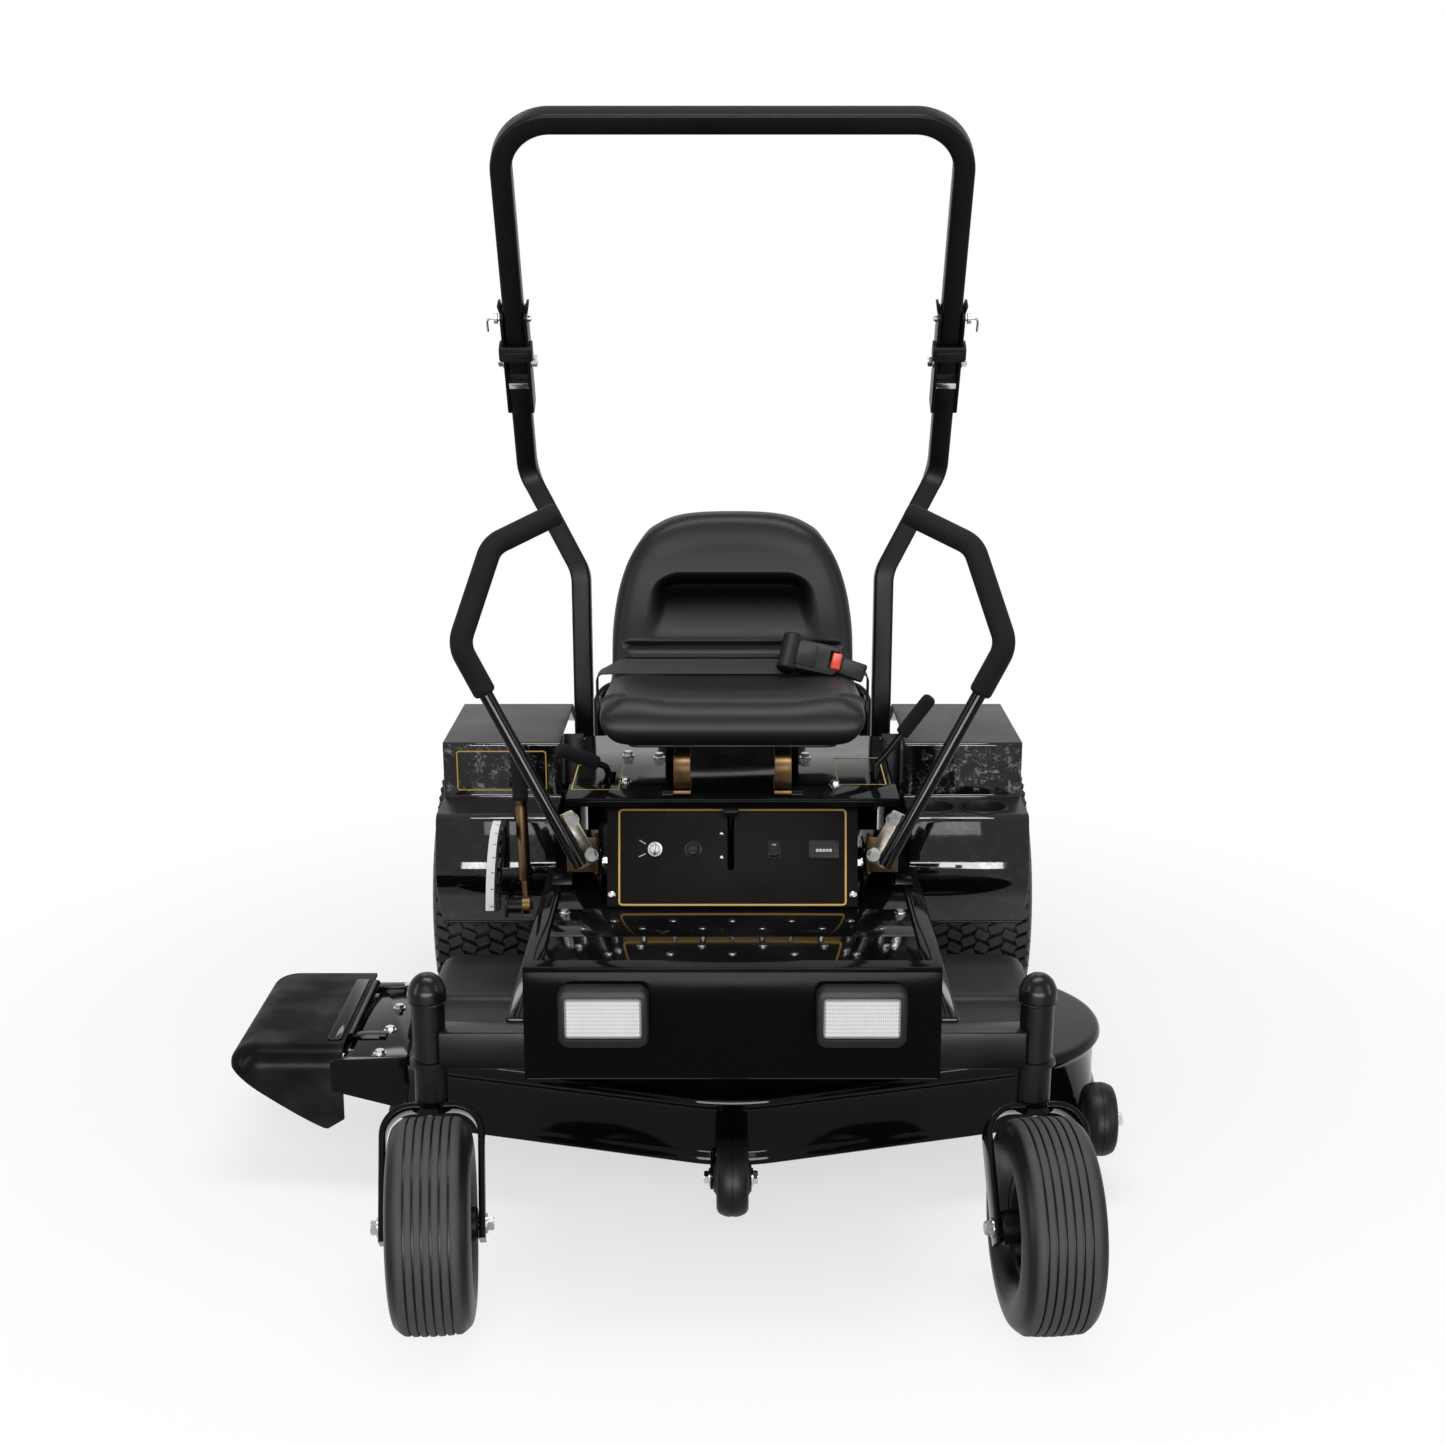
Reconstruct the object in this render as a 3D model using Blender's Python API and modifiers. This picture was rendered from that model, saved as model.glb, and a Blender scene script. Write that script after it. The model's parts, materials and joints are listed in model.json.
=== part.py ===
"""Zero-turn riding lawn mower with a folding roll-bar, built as an assembly of separate pieces.

Metres, +Z up. The mower faces -Y. The origin is on the ground under the middle of the rear axle.
Left and right are the driver's, so left is +X. Every piece is one object, and a moving piece has
its origin on its joint's axis.
"""

import math

import bmesh
import bpy
from mathutils import Matrix, Vector

# Fits
GAP = 0.0003
PIN_CLEARANCE = 0.0006
SHEET = 0.004

# Rear wheels
REAR_TYRE_RADIUS = 0.279
REAR_TYRE_WIDTH = 0.240
REAR_WHEEL_X = 0.480
REAR_RIM_RADIUS = 0.130
REAR_RIM_WIDTH = 0.200
REAR_HUB_RADIUS = 0.045
AXLE_RADIUS = 0.018

# Front casters
CASTER_TYRE_RADIUS = 0.165
CASTER_TYRE_WIDTH = 0.127
CASTER_RIM_RADIUS = 0.080
CASTER_HUB_RADIUS = 0.026
CASTER_RIBS = 5
CASTER_X = 0.465
CASTER_Y = -1.190
CASTER_TRAIL = 0.110
CASTER_YAW = math.radians(5)
CASTER_AXLE_RADIUS = 0.010
FORK_BAR = 0.010
FORK_WIDTH = 0.042
FORK_SIDE_GAP = 0.007
FORK_TOP_Z = 0.321
STEM_RADIUS = 0.0125

# Welded frame
RAIL_INNER_X = 0.315
RAIL_WIDTH = 0.035
RAIL_TOP_Z = 0.450
RAIL_HEIGHT = 0.065
RAIL_REAR_Y = 0.550
BEAM_TOP_Z = 0.445
BEAM_HEIGHT = 0.060
BEAM_DEPTH = 0.050
CASTER_TUBE_RADIUS = 0.0255
CASTER_TUBE_BOTTOM_Z = 0.328
CASTER_TUBE_TOP_Z = 0.497
CAP_RADIUS = 0.029
CAP_HEIGHT = 0.036
SEAT_PLATE_FRONT_Y = -0.660
SEAT_PLATE_REAR_Y = -0.100
ENGINE_PLATE_FRONT_Y = 0.150
HITCH_DEPTH = 0.090
HITCH_HALF = 0.055
HITCH_PLATE = 0.008
HITCH_DROP = 0.082
HITCH_PIN_RADIUS = 0.0095
HITCH_PIN_BACK = 0.070
SEAT_PLATE = 0.008
CROSS_BAR_HALF = 0.020
WELD = 0.006
ENGINE_PLATE_SINK = 0.002
GUARD_INSET = 0.020
GUARD_RADIUS = 0.0155
GUARD_BEND = 0.045
GUARD_SETBACK = 0.056
GUARD_RISE = 0.170
BRACKET_OFFSET = 0.013
BRACKET_PLATE = 0.004
BRACKET_FRONT = 0.034
BRACKET_REAR = 0.050
BRACKET_RISE = 0.036

# Front panel and lamps
PANEL_Y = -1.340
PANEL_HALF_WIDTH = 0.304
PANEL_BOTTOM_Z = 0.420
PANEL_TOP_Z = 0.590
PANEL_FLANGE = 0.035
PANEL_LEAN = 0.012
LAMP_X = 0.187
LAMP_Z = 0.523
LAMP_WIDTH = 0.132
LAMP_HEIGHT = 0.093
LAMP_DEPTH = 0.022
LENS_WIDTH = 0.112
LENS_HEIGHT = 0.062
LENS_DEPTH = 0.010

# Footplate and console
FOOT_REAR_Y = -0.630
CONSOLE_BOTTOM_Y = -0.620
CONSOLE_TOP_Y = -0.555
CONSOLE_HALF_WIDTH = 0.225
KEY_X = -0.139
CHOKE_X = -0.071
THROTTLE_X = -0.003
ROCKER_X = 0.0745
METER_X = 0.164
CONTROL_S = 0.108
THROTTLE_S = 0.120
THROTTLE_SLOT = 0.080
THROTTLE_DEPTH = 0.075
THROTTLE_ARM = 0.004
THROTTLE_PIN_RADIUS = 0.004
CHOKE_ROD_RADIUS = 0.003
LOCK_HEIGHT = 0.010
ROCKER_TILT = math.radians(8)
ROCKER_HALF_WIDTH = 0.0085
ROCKER_HALF_LENGTH = 0.0118
ROCKER_CLEARANCE = 0.0005
ROCKER_SWING = 0.0017
METER_HALF_WIDTH = 0.027
METER_HALF_HEIGHT = 0.013

# Seat box
BOX_FRONT_Y = -0.500
BOX_REAR_Y = -0.120
BOX_HALF_WIDTH = 0.297
BOX_TOP_Z = 0.645
BOX_OVERHANG = 0.100

# Short hand levers and the seat's hinge
BRAKE_INSET = 0.034
BRAKE_X = BOX_HALF_WIDTH - BRAKE_INSET
BRAKE_Y = -0.450
ENGAGE_INSET = 0.069
ENGAGE_X = ENGAGE_INSET - BOX_HALF_WIDTH
ENGAGE_Y = -0.450
LEVER_PIVOT_Z = 0.600
LEVER_SLOT_HALF = 0.012
LEVER_SLOT_REACH = 0.045
BRAKE_KNEE = (0.019, -0.002, 0.090)
BRAKE_TIP = (0.095, -0.010, 0.195)
ENGAGE_KNEE = (-0.004, -0.008, 0.068)
ENGAGE_TIP = (-0.084, -0.055, 0.112)
HAND_ROD_RADIUS = 0.006
HAND_GRIP_RADIUS = 0.0135
HAND_GRIP_LENGTH = 0.082
HAND_GRIP_END = 0.006
SEAT_HINGE_Y = -0.583
SEAT_HINGE_Z = 0.6515
SEAT_HINGE_RADIUS = 0.005
SPRING_X = 0.090
SPRING_HALF = 0.015

# Fenders
FENDER_INNER_X = 0.3365
FENDER_OUTER_X = 0.566
FENDER_TOP_Z = 0.655
FENDER_REAR_Y = 0.130
FENDER_TAIL_Y = 0.290
FENDER_TAIL_Z = 0.585
FENDER_STEP_Y = -0.220
FENDER_LEDGE_Z = 0.545
FENDER_LEDGE_Y = -0.363
FENDER_KNEE_Z = 0.440
FENDER_TOE_Y = -0.315
FENDER_TOE_Z = 0.318
CUP_X = (0.384, 0.484)
CUP_Y = -0.292
CUP_RADIUS = 0.0425
CUP_DEPTH = 0.075
CUP_WALL = 0.003

# Height lever and its toothed sector
HEIGHT_LEVER_X = -0.392
HEIGHT_PIVOT_Y = -0.400
HEIGHT_PIVOT_Z = 0.380
QUADRANT_X = -0.429
QUADRANT_RADIUS = 0.170
QUADRANT_BAND = 0.042
QUADRANT_SWEEP = math.radians(75)
QUADRANT_NOTCHES = 7

# Roll-bar
BAR_SIDE = 0.040
BAR_CORNER = 0.006
POST_X = 0.315
POST_Y = 0.150
POST_KNEE_Z = 0.930
POST_SHOULDER_Z = 1.130
HOOP_X = 0.426
HOOP_LEAN = math.radians(30)
HOOP_PIVOT_Y = 0.075
HOOP_PIVOT_Z = 1.363
HOOP_TOP_Z = 1.828
HOOP_CORNER = 0.095
HOOP_TAIL = 0.018
HINGE_SLOT = 0.012
HINGE_PLATE = 0.006
HINGE_PLATE_DEPTH = 0.052
HINGE_PLATE_CORNER = 0.012
HINGE_PLATE_TIP = 0.022
HINGE_OVERLAP = 0.080
HINGE_SLEEVE = 0.002
HINGE_BOLT_RADIUS = 0.012
HINGE_PIN_RADIUS = 0.008
POST_BEND = 0.070
LOCK_PIN_RISE = 0.096
LOCK_PIN_RADIUS = 0.006
LOCK_HEAD_RADIUS = 0.011
LOCK_HEAD_HALF = 0.004

# Control levers
DRIVE_PIVOT_X = 0.252
DRIVE_PIVOT_Y = -0.560
DRIVE_PIVOT_Z = 0.515
SWING_PIVOT_X = 0.270
SWING_PIVOT_Y = -0.632
SWING_PIVOT_Z = 0.550
LEVER_RADIUS = 0.0125
GRIP_RADIUS = 0.020
YOKE_PLATE = 0.006
LEVER_ELBOWS = ((0.470, -0.640, 0.930), (0.416, -0.570, 1.090))
LEVER_END = (0.303, -0.520, 1.140)
LEVER_BEND = 0.050
GRIP_START = 0.78
GRIP_CAP = 0.006
GRIP_BORE_CLEARANCE = 0.0014
PIVOT_PIN_RADIUS = 0.008
NUT_RADIUS = 0.013
NUT_HEIGHT = 0.007
LEVER_TAB_RADIUS = 0.019

# Deck
BLADE_X = 0.420
BLADE_SIDE_Y = -0.640
BLADE_CENTRE_Y = -0.770
BLADE_RADIUS = 0.214
BLADE_Z = 0.140
BLADE_HALF_WIDTH = 0.028
BLADE_THICK = 0.006
BLADE_LIFT = 0.020
BLADE_WING_START = 0.130
DECK_RADIUS = 0.232
DECK_WALL = 0.005
DECK_BOTTOM_Z = 0.125
DECK_TOP_Z = 0.250
SPINDLE_RADIUS = 0.0125
SPINDLE_BOSS_RADIUS = 0.040
SPINDLE_BOSS_RISE = 0.012
DECK_LIP = 0.006
DECK_LIP_HEIGHT = 0.012
DECK_LIP_DROP = 0.002
PULLEY_RADIUS = 0.062
PULLEY_Z = 0.284
PULLEY_HEIGHT = 0.018
COVER_OFFSET = 0.018
COVER_HALF_X = 0.112
COVER_HALF_Y = 0.142
COVER_HEIGHT = 0.080
COVER_CORNER = 0.045
COVER_TAPER = 0.80
COVER_ROOF = 0.010
COVER_ROOM = 0.008
SCALP_RADIUS = 0.064
SCALP_WIDTH = 0.062
BLADES = {"left": (BLADE_X, BLADE_SIDE_Y), "center": (0, BLADE_CENTRE_Y), "right": (-BLADE_X, BLADE_SIDE_Y)}
SIDE_SCALP_INSET = 0.017
SIDE_SCALP_AHEAD = 0.200
SIDE_SCALP_ARM = 0.070
SIDE_SCALP = (BLADE_X + DECK_RADIUS - SIDE_SCALP_INSET, BLADE_SIDE_Y - SIDE_SCALP_AHEAD)
FRONT_SCALP_AHEAD = 0.068
FRONT_SCALP_Y = BLADE_CENTRE_Y - DECK_RADIUS - FRONT_SCALP_AHEAD
SCALP_Z = 0.135
SCALP_AXLE_RADIUS = 0.008
SCALP_ARM = 0.005
SCALP_ARM_HALF = 0.018
CHUTE_HINGE_OFFSET = 0.016
CHUTE_HINGE_X = -BLADE_X - DECK_RADIUS - CHUTE_HINGE_OFFSET
CHUTE_HINGE_Z = 0.258
CHUTE_KNUCKLE_Y = (-0.740, -0.520)
CHUTE_KNUCKLE_RADIUS = 0.007
CHUTE_FRONT_Y = -0.822
CHUTE_REAR_Y = -0.440
CHUTE_REACH = 0.208
CHUTE_END_X = CHUTE_HINGE_X - CHUTE_REACH
CHUTE_TIP_Z = 0.112
LUG_SINK = 0.004
LUG_REACH = 0.060
LUG_LENGTH = 0.025
HANGER_Y = (-0.560, -0.840)
HANGER_PLATE = 0.006
HANGER_HALF = 0.018
HANGER_SINK = 0.003
HANGER_TOP_DROP = 0.025

# Seat
SEAT_HALF_WIDTH = 0.243
SEAT_FRONT_Y = -0.580
SEAT_BACK_Y = -0.020
SEAT_BOTTOM_Z = 0.722
SEAT_TOP_Z = 1.092
CUSHION_REAR_Y = -0.165
STRAP_Y = (-0.236, -0.190)
STRAP_Z = 0.7985
STRAP_THICK = 0.003
STRAP_DROP_X = 0.262
PAN_THICK = 0.005
PAN_HALF_WIDTH = 0.190
BUMPER_X = 0.120
BUMPER_AHEAD = 0.150
BUMPER_RADIUS = 0.012
SEAT_SIDE_PANELS = (
    (19, 0, 1, 2, 3), (18, 19, 3, 4, 5), (17, 18, 5, 6), (16, 17, 6, 7), (15, 16, 7, 8), (14, 15, 8, 9, 10),
    (13, 14, 10, 11, 12),
)
BUCKLE_X = (0.100, 0.205)
BUCKLE_TOP = 0.028
BUCKLE_MARGIN = 0.008
BUTTON_HALF_Y = 0.017
BUTTON_TRAVEL = 0.004

# Engine and drive
ENGINE_Y = 0.288
CRANKCASE_HALF = 0.105
CRANKCASE_TOP_Z = 0.620
CYLINDER_LENGTH = 0.115
CYLINDER_FINS = 5
CYLINDER_ANGLE = math.radians(45)
BLOWER_RADIUS = 0.165
BLOWER_TOP_Z = 0.765
MUFFLER_RADIUS = 0.045
MUFFLER_Y = 0.528
MUFFLER_HALF_LENGTH = 0.160
TAIL_X = 0.080
TAIL_RADIUS = 0.014

# Round pieces
STEPS = 16
FINE_STEPS = 22
ROD_STEPS = 14
PIN_STEPS = 10

PARTS = bpy.data.collections.new("riding_lawn_mower")


def clear_scene():
    for obj in list(bpy.data.objects):
        bpy.data.objects.remove(obj)
    bpy.context.scene.collection.children.link(PARTS)


def material(name, colour, roughness, metallic=0.0):
    found = bpy.data.materials.get(name)
    if found:
        return found
    made = bpy.data.materials.new(name)
    made.use_nodes = True
    shader = made.node_tree.nodes["Principled BSDF"]
    shader.inputs["Base Color"].default_value = (*colour, 1)
    shader.inputs["Roughness"].default_value = roughness
    shader.inputs["Metallic"].default_value = metallic
    return made


def gloss_black():
    return material("gloss_black_paint", (0.008, 0.008, 0.009), 0.18)


def matte_black():
    return material("matte_black", (0.018, 0.018, 0.019), 0.55)


def rubber():
    return material("rubber", (0.022, 0.022, 0.023), 0.75)


def vinyl():
    return material("seat_vinyl", (0.030, 0.034, 0.040), 0.50)


def zinc():
    return material("yellow_zinc", (0.42, 0.31, 0.17), 0.35, 1.0)


def steel():
    return material("steel", (0.56, 0.56, 0.57), 0.30, 1.0)


def aluminium():
    return material("cast_aluminium", (0.45, 0.46, 0.47), 0.45, 1.0)


def clear_lens():
    return material("lens", (0.86, 0.88, 0.90), 0.15)


def red_plastic():
    return material("red_plastic", (0.75, 0.05, 0.02), 0.35)


# Shape helpers


def object_from(bm):
    """A new object in the parts collection that takes over the bmesh."""
    bmesh.ops.recalc_face_normals(bm, faces=bm.faces)
    mesh = bpy.data.meshes.new("piece")
    bm.to_mesh(mesh)
    bm.free()
    obj = bpy.data.objects.new("piece", mesh)
    PARTS.objects.link(obj)
    return obj


def box(low, high, bevel=0.0):
    bm = bmesh.new()
    bmesh.ops.create_cube(bm, size=1)
    low = Vector(low)
    high = Vector(high)
    bmesh.ops.scale(bm, vec=high - low, verts=bm.verts)
    bmesh.ops.translate(bm, vec=(low + high) / 2, verts=bm.verts)
    if bevel:
        bmesh.ops.bevel(bm, geom=bm.edges[:], offset=bevel, segments=1, affect="EDGES")
    return object_from(bm)


def mirrored_box(side, low, high, bevel=0.0):
    """A box given for the left side, put on the side whose sign is given."""
    first, last = sorted((side * low[0], side * high[0]))
    return box((first, *low[1:]), (last, *high[1:]), bevel)


def bent(points, radius, steps=3):
    """The polyline with each inner corner rounded to the radius, as a list of vectors."""
    points = [Vector(point) for point in points]
    out = [points[0]]
    for before, corner, after in zip(points, points[1:], points[2:]):
        to_before = (before - corner).normalized()
        to_after = (after - corner).normalized()
        half = to_before.angle(to_after) / 2
        reach = radius / math.tan(half)
        centre = corner + (to_before + to_after).normalized() * radius / math.sin(half)
        start = corner + to_before * reach - centre
        end = corner + to_after * reach - centre
        turn = start.angle(end)
        for i in range(steps + 1):
            share = i / steps
            first = math.sin((1 - share) * turn) / math.sin(turn)
            second = math.sin(share * turn) / math.sin(turn)
            out.append(centre + start * first + end * second)
    out.append(points[-1])
    return out


def rounded(outline, radius, steps=3):
    """A closed flat outline with all its corners rounded to the radius."""
    middle = (Vector((*outline[0], 0)) + Vector((*outline[-1], 0))) / 2
    loop = [middle, *[(x, y, 0) for x, y in outline], middle]
    return [(point.x, point.y) for point in bent(loop, radius, steps)[1:-1]]


def prism(outline, axis, low, high):
    """A flat outline extruded along an axis. Its points are the other two coordinates in order."""
    lift = {
        "X": lambda a, b: (low, a, b),
        "Y": lambda a, b: (a, low, b),
        "Z": lambda a, b: (a, b, low),
    }[axis]
    step = {"X": (high - low, 0, 0), "Y": (0, high - low, 0), "Z": (0, 0, high - low)}[axis]
    bm = bmesh.new()
    base = bm.faces.new([bm.verts.new(lift(a, b)) for a, b in outline])
    made = bmesh.ops.extrude_face_region(bm, geom=[base], use_keep_orig=True)
    top = [item for item in made["geom"] if isinstance(item, bmesh.types.BMVert)]
    bmesh.ops.translate(bm, vec=step, verts=top)
    return object_from(bm)


def strip(path, thickness):
    """The closed outline of a folded sheet: a flat polyline given a thickness to its left side."""
    path = [Vector(point) for point in path]
    other = []
    for i, point in enumerate(path):
        along = []
        if i > 0:
            along.append((point - path[i - 1]).normalized())
        if i < len(path) - 1:
            along.append((path[i + 1] - point).normalized())
        normals = [Vector((-a.y, a.x)) for a in along]
        mean = sum(normals, Vector((0, 0))).normalized()
        other.append(point + mean * thickness / mean.dot(normals[0]))
    return [tuple(p) for p in path] + [tuple(p) for p in reversed(other)]


def turned(profile, centre, axis=(0, 0, 1), steps=STEPS, closed=False):
    """A profile of (radius, height) turned about an axis through the centre."""
    mesh = bpy.data.meshes.new("profile")
    count = len(profile)
    edges = [(i, i + 1) for i in range(count - 1)]
    if closed:
        edges.append((count - 1, 0))
    mesh.from_pydata([(radius, 0, height) for radius, height in profile], edges, [])
    obj = bpy.data.objects.new("profile", mesh)
    PARTS.objects.link(obj)
    screw = obj.modifiers.new("turn", "SCREW")
    screw.steps = steps
    screw.render_steps = steps
    screw.use_merge_vertices = True
    screw.merge_threshold = 0.00001
    applied = evaluated_mesh(obj)
    turn = Vector((0, 0, 1)).rotation_difference(Vector(axis)).to_matrix().to_4x4()
    applied.transform(Matrix.Translation(centre) @ turn)
    bm = bmesh.new()
    bm.from_mesh(applied)
    bmesh.ops.remove_doubles(bm, verts=bm.verts, dist=0.00001)
    bpy.data.objects.remove(obj)
    return object_from(bm)


def rod(start, end, radius, steps=STEPS, chamfer=0.0):
    """A round bar from one point to another."""
    start = Vector(start)
    end = Vector(end)
    length = (end - start).length
    profile = [(0, length), (radius, length), (radius, 0), (0, 0)]
    if chamfer:
        profile[1:3] = [
            (radius - chamfer, length),
            (radius, length - chamfer),
            (radius, chamfer),
            (radius - chamfer, 0),
        ]
    return turned(profile, start, end - start, steps)


def hexagon(start, end, radius):
    return rod(start, end, radius, 6)


def tube(points, radius, sides=2):
    """A round bar along a route, made as a curve with a bevel and then as a mesh."""
    curve = bpy.data.curves.new("route", "CURVE")
    curve.dimensions = "3D"
    curve.bevel_depth = radius
    curve.bevel_resolution = sides
    curve.use_fill_caps = True
    spline = curve.splines.new("POLY")
    spline.points.add(len(points) - 1)
    for spot, point in zip(spline.points, points):
        spot.co = (*point, 1)
    obj = bpy.data.objects.new("route", curve)
    PARTS.objects.link(obj)
    bm = bmesh.new()
    bm.from_mesh(evaluated_mesh(obj))
    bmesh.ops.remove_doubles(bm, verts=bm.verts, dist=0.00001)
    bpy.data.objects.remove(obj)
    return object_from(bm)


def swept(points, section, side):
    """A flat section swept along a route. Its first axis stays near the side direction."""
    points = [Vector(point) for point in points]
    side = Vector(side)
    bm = bmesh.new()
    rings = []
    for i, point in enumerate(points):
        before = (point - points[max(i - 1, 0)]).normalized()
        after = (points[min(i + 1, len(points) - 1)] - point).normalized()
        along = (before + after).normalized()
        run = after if after.length else before
        across = (side - along * side.dot(along)).normalized()
        over = along.cross(across)
        stretch = 1 / max(along.dot(run), 0.5)
        bend = (after - before) if before.length and after.length else Vector()
        bend = bend.normalized() if bend.length > 1e-6 else Vector()
        ring = []
        for a, b in section:
            offset = across * a + over * b
            offset += bend * offset.dot(bend) * (stretch - 1)
            ring.append(bm.verts.new(point + offset))
        rings.append(ring)
    count = len(section)
    for first, second in zip(rings, rings[1:]):
        for i in range(count):
            j = (i + 1) % count
            bm.faces.new([first[i], first[j], second[j], second[i]])
    bm.faces.new(rings[0])
    bm.faces.new(rings[-1])
    return object_from(bm)


def evaluated_mesh(obj):
    bpy.context.view_layer.update()
    graph = bpy.context.evaluated_depsgraph_get()
    return bpy.data.meshes.new_from_object(obj.evaluated_get(graph))


def combine(operation, base, tools):
    for tool in tools:
        step = base.modifiers.new(operation, "BOOLEAN")
        step.operation = operation
        step.solver = "EXACT"
        step.object = tool
        base.data = evaluated_mesh(base)
        base.modifiers.clear()
        bpy.data.objects.remove(tool)
    return base


def union(base, *tools):
    return combine("UNION", base, tools)


def cut(base, *tools):
    return combine("DIFFERENCE", base, tools)


def piece(obj, name, look, pivot=(0, 0, 0), smooth=30):
    """Names a finished object, gives it its material and puts its origin on the pivot."""
    obj.name = name
    obj.data.name = name
    obj.data.transform(Matrix.Translation(-Vector(pivot)))
    obj.location = pivot
    obj.data.materials.clear()
    obj.data.materials.append(look)
    obj.data.shade_smooth()
    obj.data.set_sharp_from_angle(angle=math.radians(smooth))
    return obj


def side_name(base, side):
    return base + ("_left" if side > 0 else "_right")


# Wheels


def around(radius):
    """The radius at which a tyre's flat facets still clear a round rim of the given radius."""
    return radius / math.cos(math.pi / FINE_STEPS)


def rear_tyre(side):
    half = REAR_TYRE_WIDTH / 2
    bead = around(REAR_RIM_RADIUS) + GAP
    crown = REAR_TYRE_RADIUS
    wall = (crown + bead) / 2
    groove = 0.008
    profile = [
        (bead, 0.80 * half),
        (wall, half),
        (crown - 0.035, 0.98 * half),
        (crown - 0.010, 0.86 * half),
        (crown, 0.70 * half),
        (crown, 0.07 * half),
        (crown - groove, 0.05 * half),
    ]
    profile += [(radius, -height) for radius, height in reversed(profile)]
    profile += [(bead + 0.020, -0.72 * half), (bead + 0.020, 0.72 * half)]
    centre = (side * REAR_WHEEL_X, 0, REAR_TYRE_RADIUS)
    tyre = turned(profile, centre, (1, 0, 0), FINE_STEPS, closed=True)
    piece(tyre, side_name("rear_tyre", side), rubber(), centre)


def rear_rim(side):
    half = REAR_RIM_WIDTH / 2
    wall = 0.006
    dish = 0.035
    outer = REAR_RIM_RADIUS
    profile = [
        (0, dish),
        (REAR_HUB_RADIUS, dish),
        (REAR_HUB_RADIUS + 0.012, dish + 0.012),
        (outer - 0.030, dish + 0.012),
        (outer - 0.018, half - 0.004),
        (outer - wall, half),
        (outer, half),
        (outer, 0.66 * half),
        (outer - wall, 0.60 * half),
        (outer - wall, -0.60 * half),
        (outer, -0.66 * half),
        (outer, -half),
        (outer - wall, -half),
        (outer - 2.5 * wall, -0.60 * half),
        (outer - 2.5 * wall, dish - 0.010),
        (REAR_HUB_RADIUS + 0.012, dish - 0.010),
        (REAR_HUB_RADIUS, dish - wall),
        (REAR_HUB_RADIUS, -0.012),
        (0, -0.012),
    ]
    centre = (side * REAR_WHEEL_X, 0, REAR_TYRE_RADIUS)
    rim = turned(profile, centre, (side, 0, 0), STEPS)
    piece(rim, side_name("rear_rim", side), matte_black(), centre)


def caster_frame(side):
    """The place of a caster's wheel centre and the direction of its axle."""
    forward = Vector((math.sin(CASTER_YAW), -math.cos(CASTER_YAW), 0))
    axle = Vector((math.cos(CASTER_YAW), math.sin(CASTER_YAW), 0))
    spindle = Vector((side * CASTER_X, CASTER_Y, 0))
    centre = spindle + forward * CASTER_TRAIL + Vector((0, 0, CASTER_TYRE_RADIUS))
    return spindle, centre, axle


def caster_tyre(side):
    half = CASTER_TYRE_WIDTH / 2
    bead = around(CASTER_RIM_RADIUS) + GAP
    crown = CASTER_TYRE_RADIUS
    groove = 0.005
    tread = 0.72 * half
    pitch = 2 * tread / CASTER_RIBS
    profile = [(bead, 0.62 * half), (bead + 0.025, 0.92 * half), (crown - 0.040, half)]
    profile.append((crown - 0.014, 0.90 * half))
    for rib in range(CASTER_RIBS):
        first = tread - rib * pitch
        last = first - pitch
        arc = 0.006
        drop_first = arc * (first / half) ** 2
        drop_last = arc * (last / half) ** 2
        profile.append((crown - drop_first - (groove if rib else 0), first - (0.001 if rib else 0)))
        if rib:
            profile.append((crown - drop_first, first - 0.0025))
        profile.append((crown - drop_last, last + (0.0025 if rib < CASTER_RIBS - 1 else 0)))
    profile.append((crown - 0.014, -0.90 * half))
    profile += [(crown - 0.040, -half), (bead + 0.025, -0.92 * half), (bead, -0.62 * half)]
    _, centre, axle = caster_frame(side)
    tyre = turned(profile, centre, axle, FINE_STEPS, closed=True)
    piece(tyre, side_name("caster_tyre", side), rubber(), centre)


def caster_rim(side):
    half = 0.62 * CASTER_TYRE_WIDTH / 2
    hub_half = CASTER_TYRE_WIDTH / 2 + FORK_SIDE_GAP - GAP
    bore = CASTER_AXLE_RADIUS + PIN_CLEARANCE
    outer = CASTER_RIM_RADIUS
    profile = [
        (bore, hub_half),
        (CASTER_HUB_RADIUS, hub_half),
        (CASTER_HUB_RADIUS, 0.016),
        (outer - 0.022, 0.010),
        (outer - 0.008, half),
        (outer, half),
    ]
    profile += [(radius, -height) for radius, height in reversed(profile)]
    _, centre, axle = caster_frame(side)
    rim = turned(profile, centre, axle, STEPS, closed=True)
    piece(rim, side_name("caster_rim", side), matte_black(), centre)


def flat_bar(width, thickness):
    """A rectangular section for a swept bar, with its width along the first axis."""
    a = width / 2
    b = thickness / 2
    return [(-a, -b), (a, -b), (a, b), (-a, b)]


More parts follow.
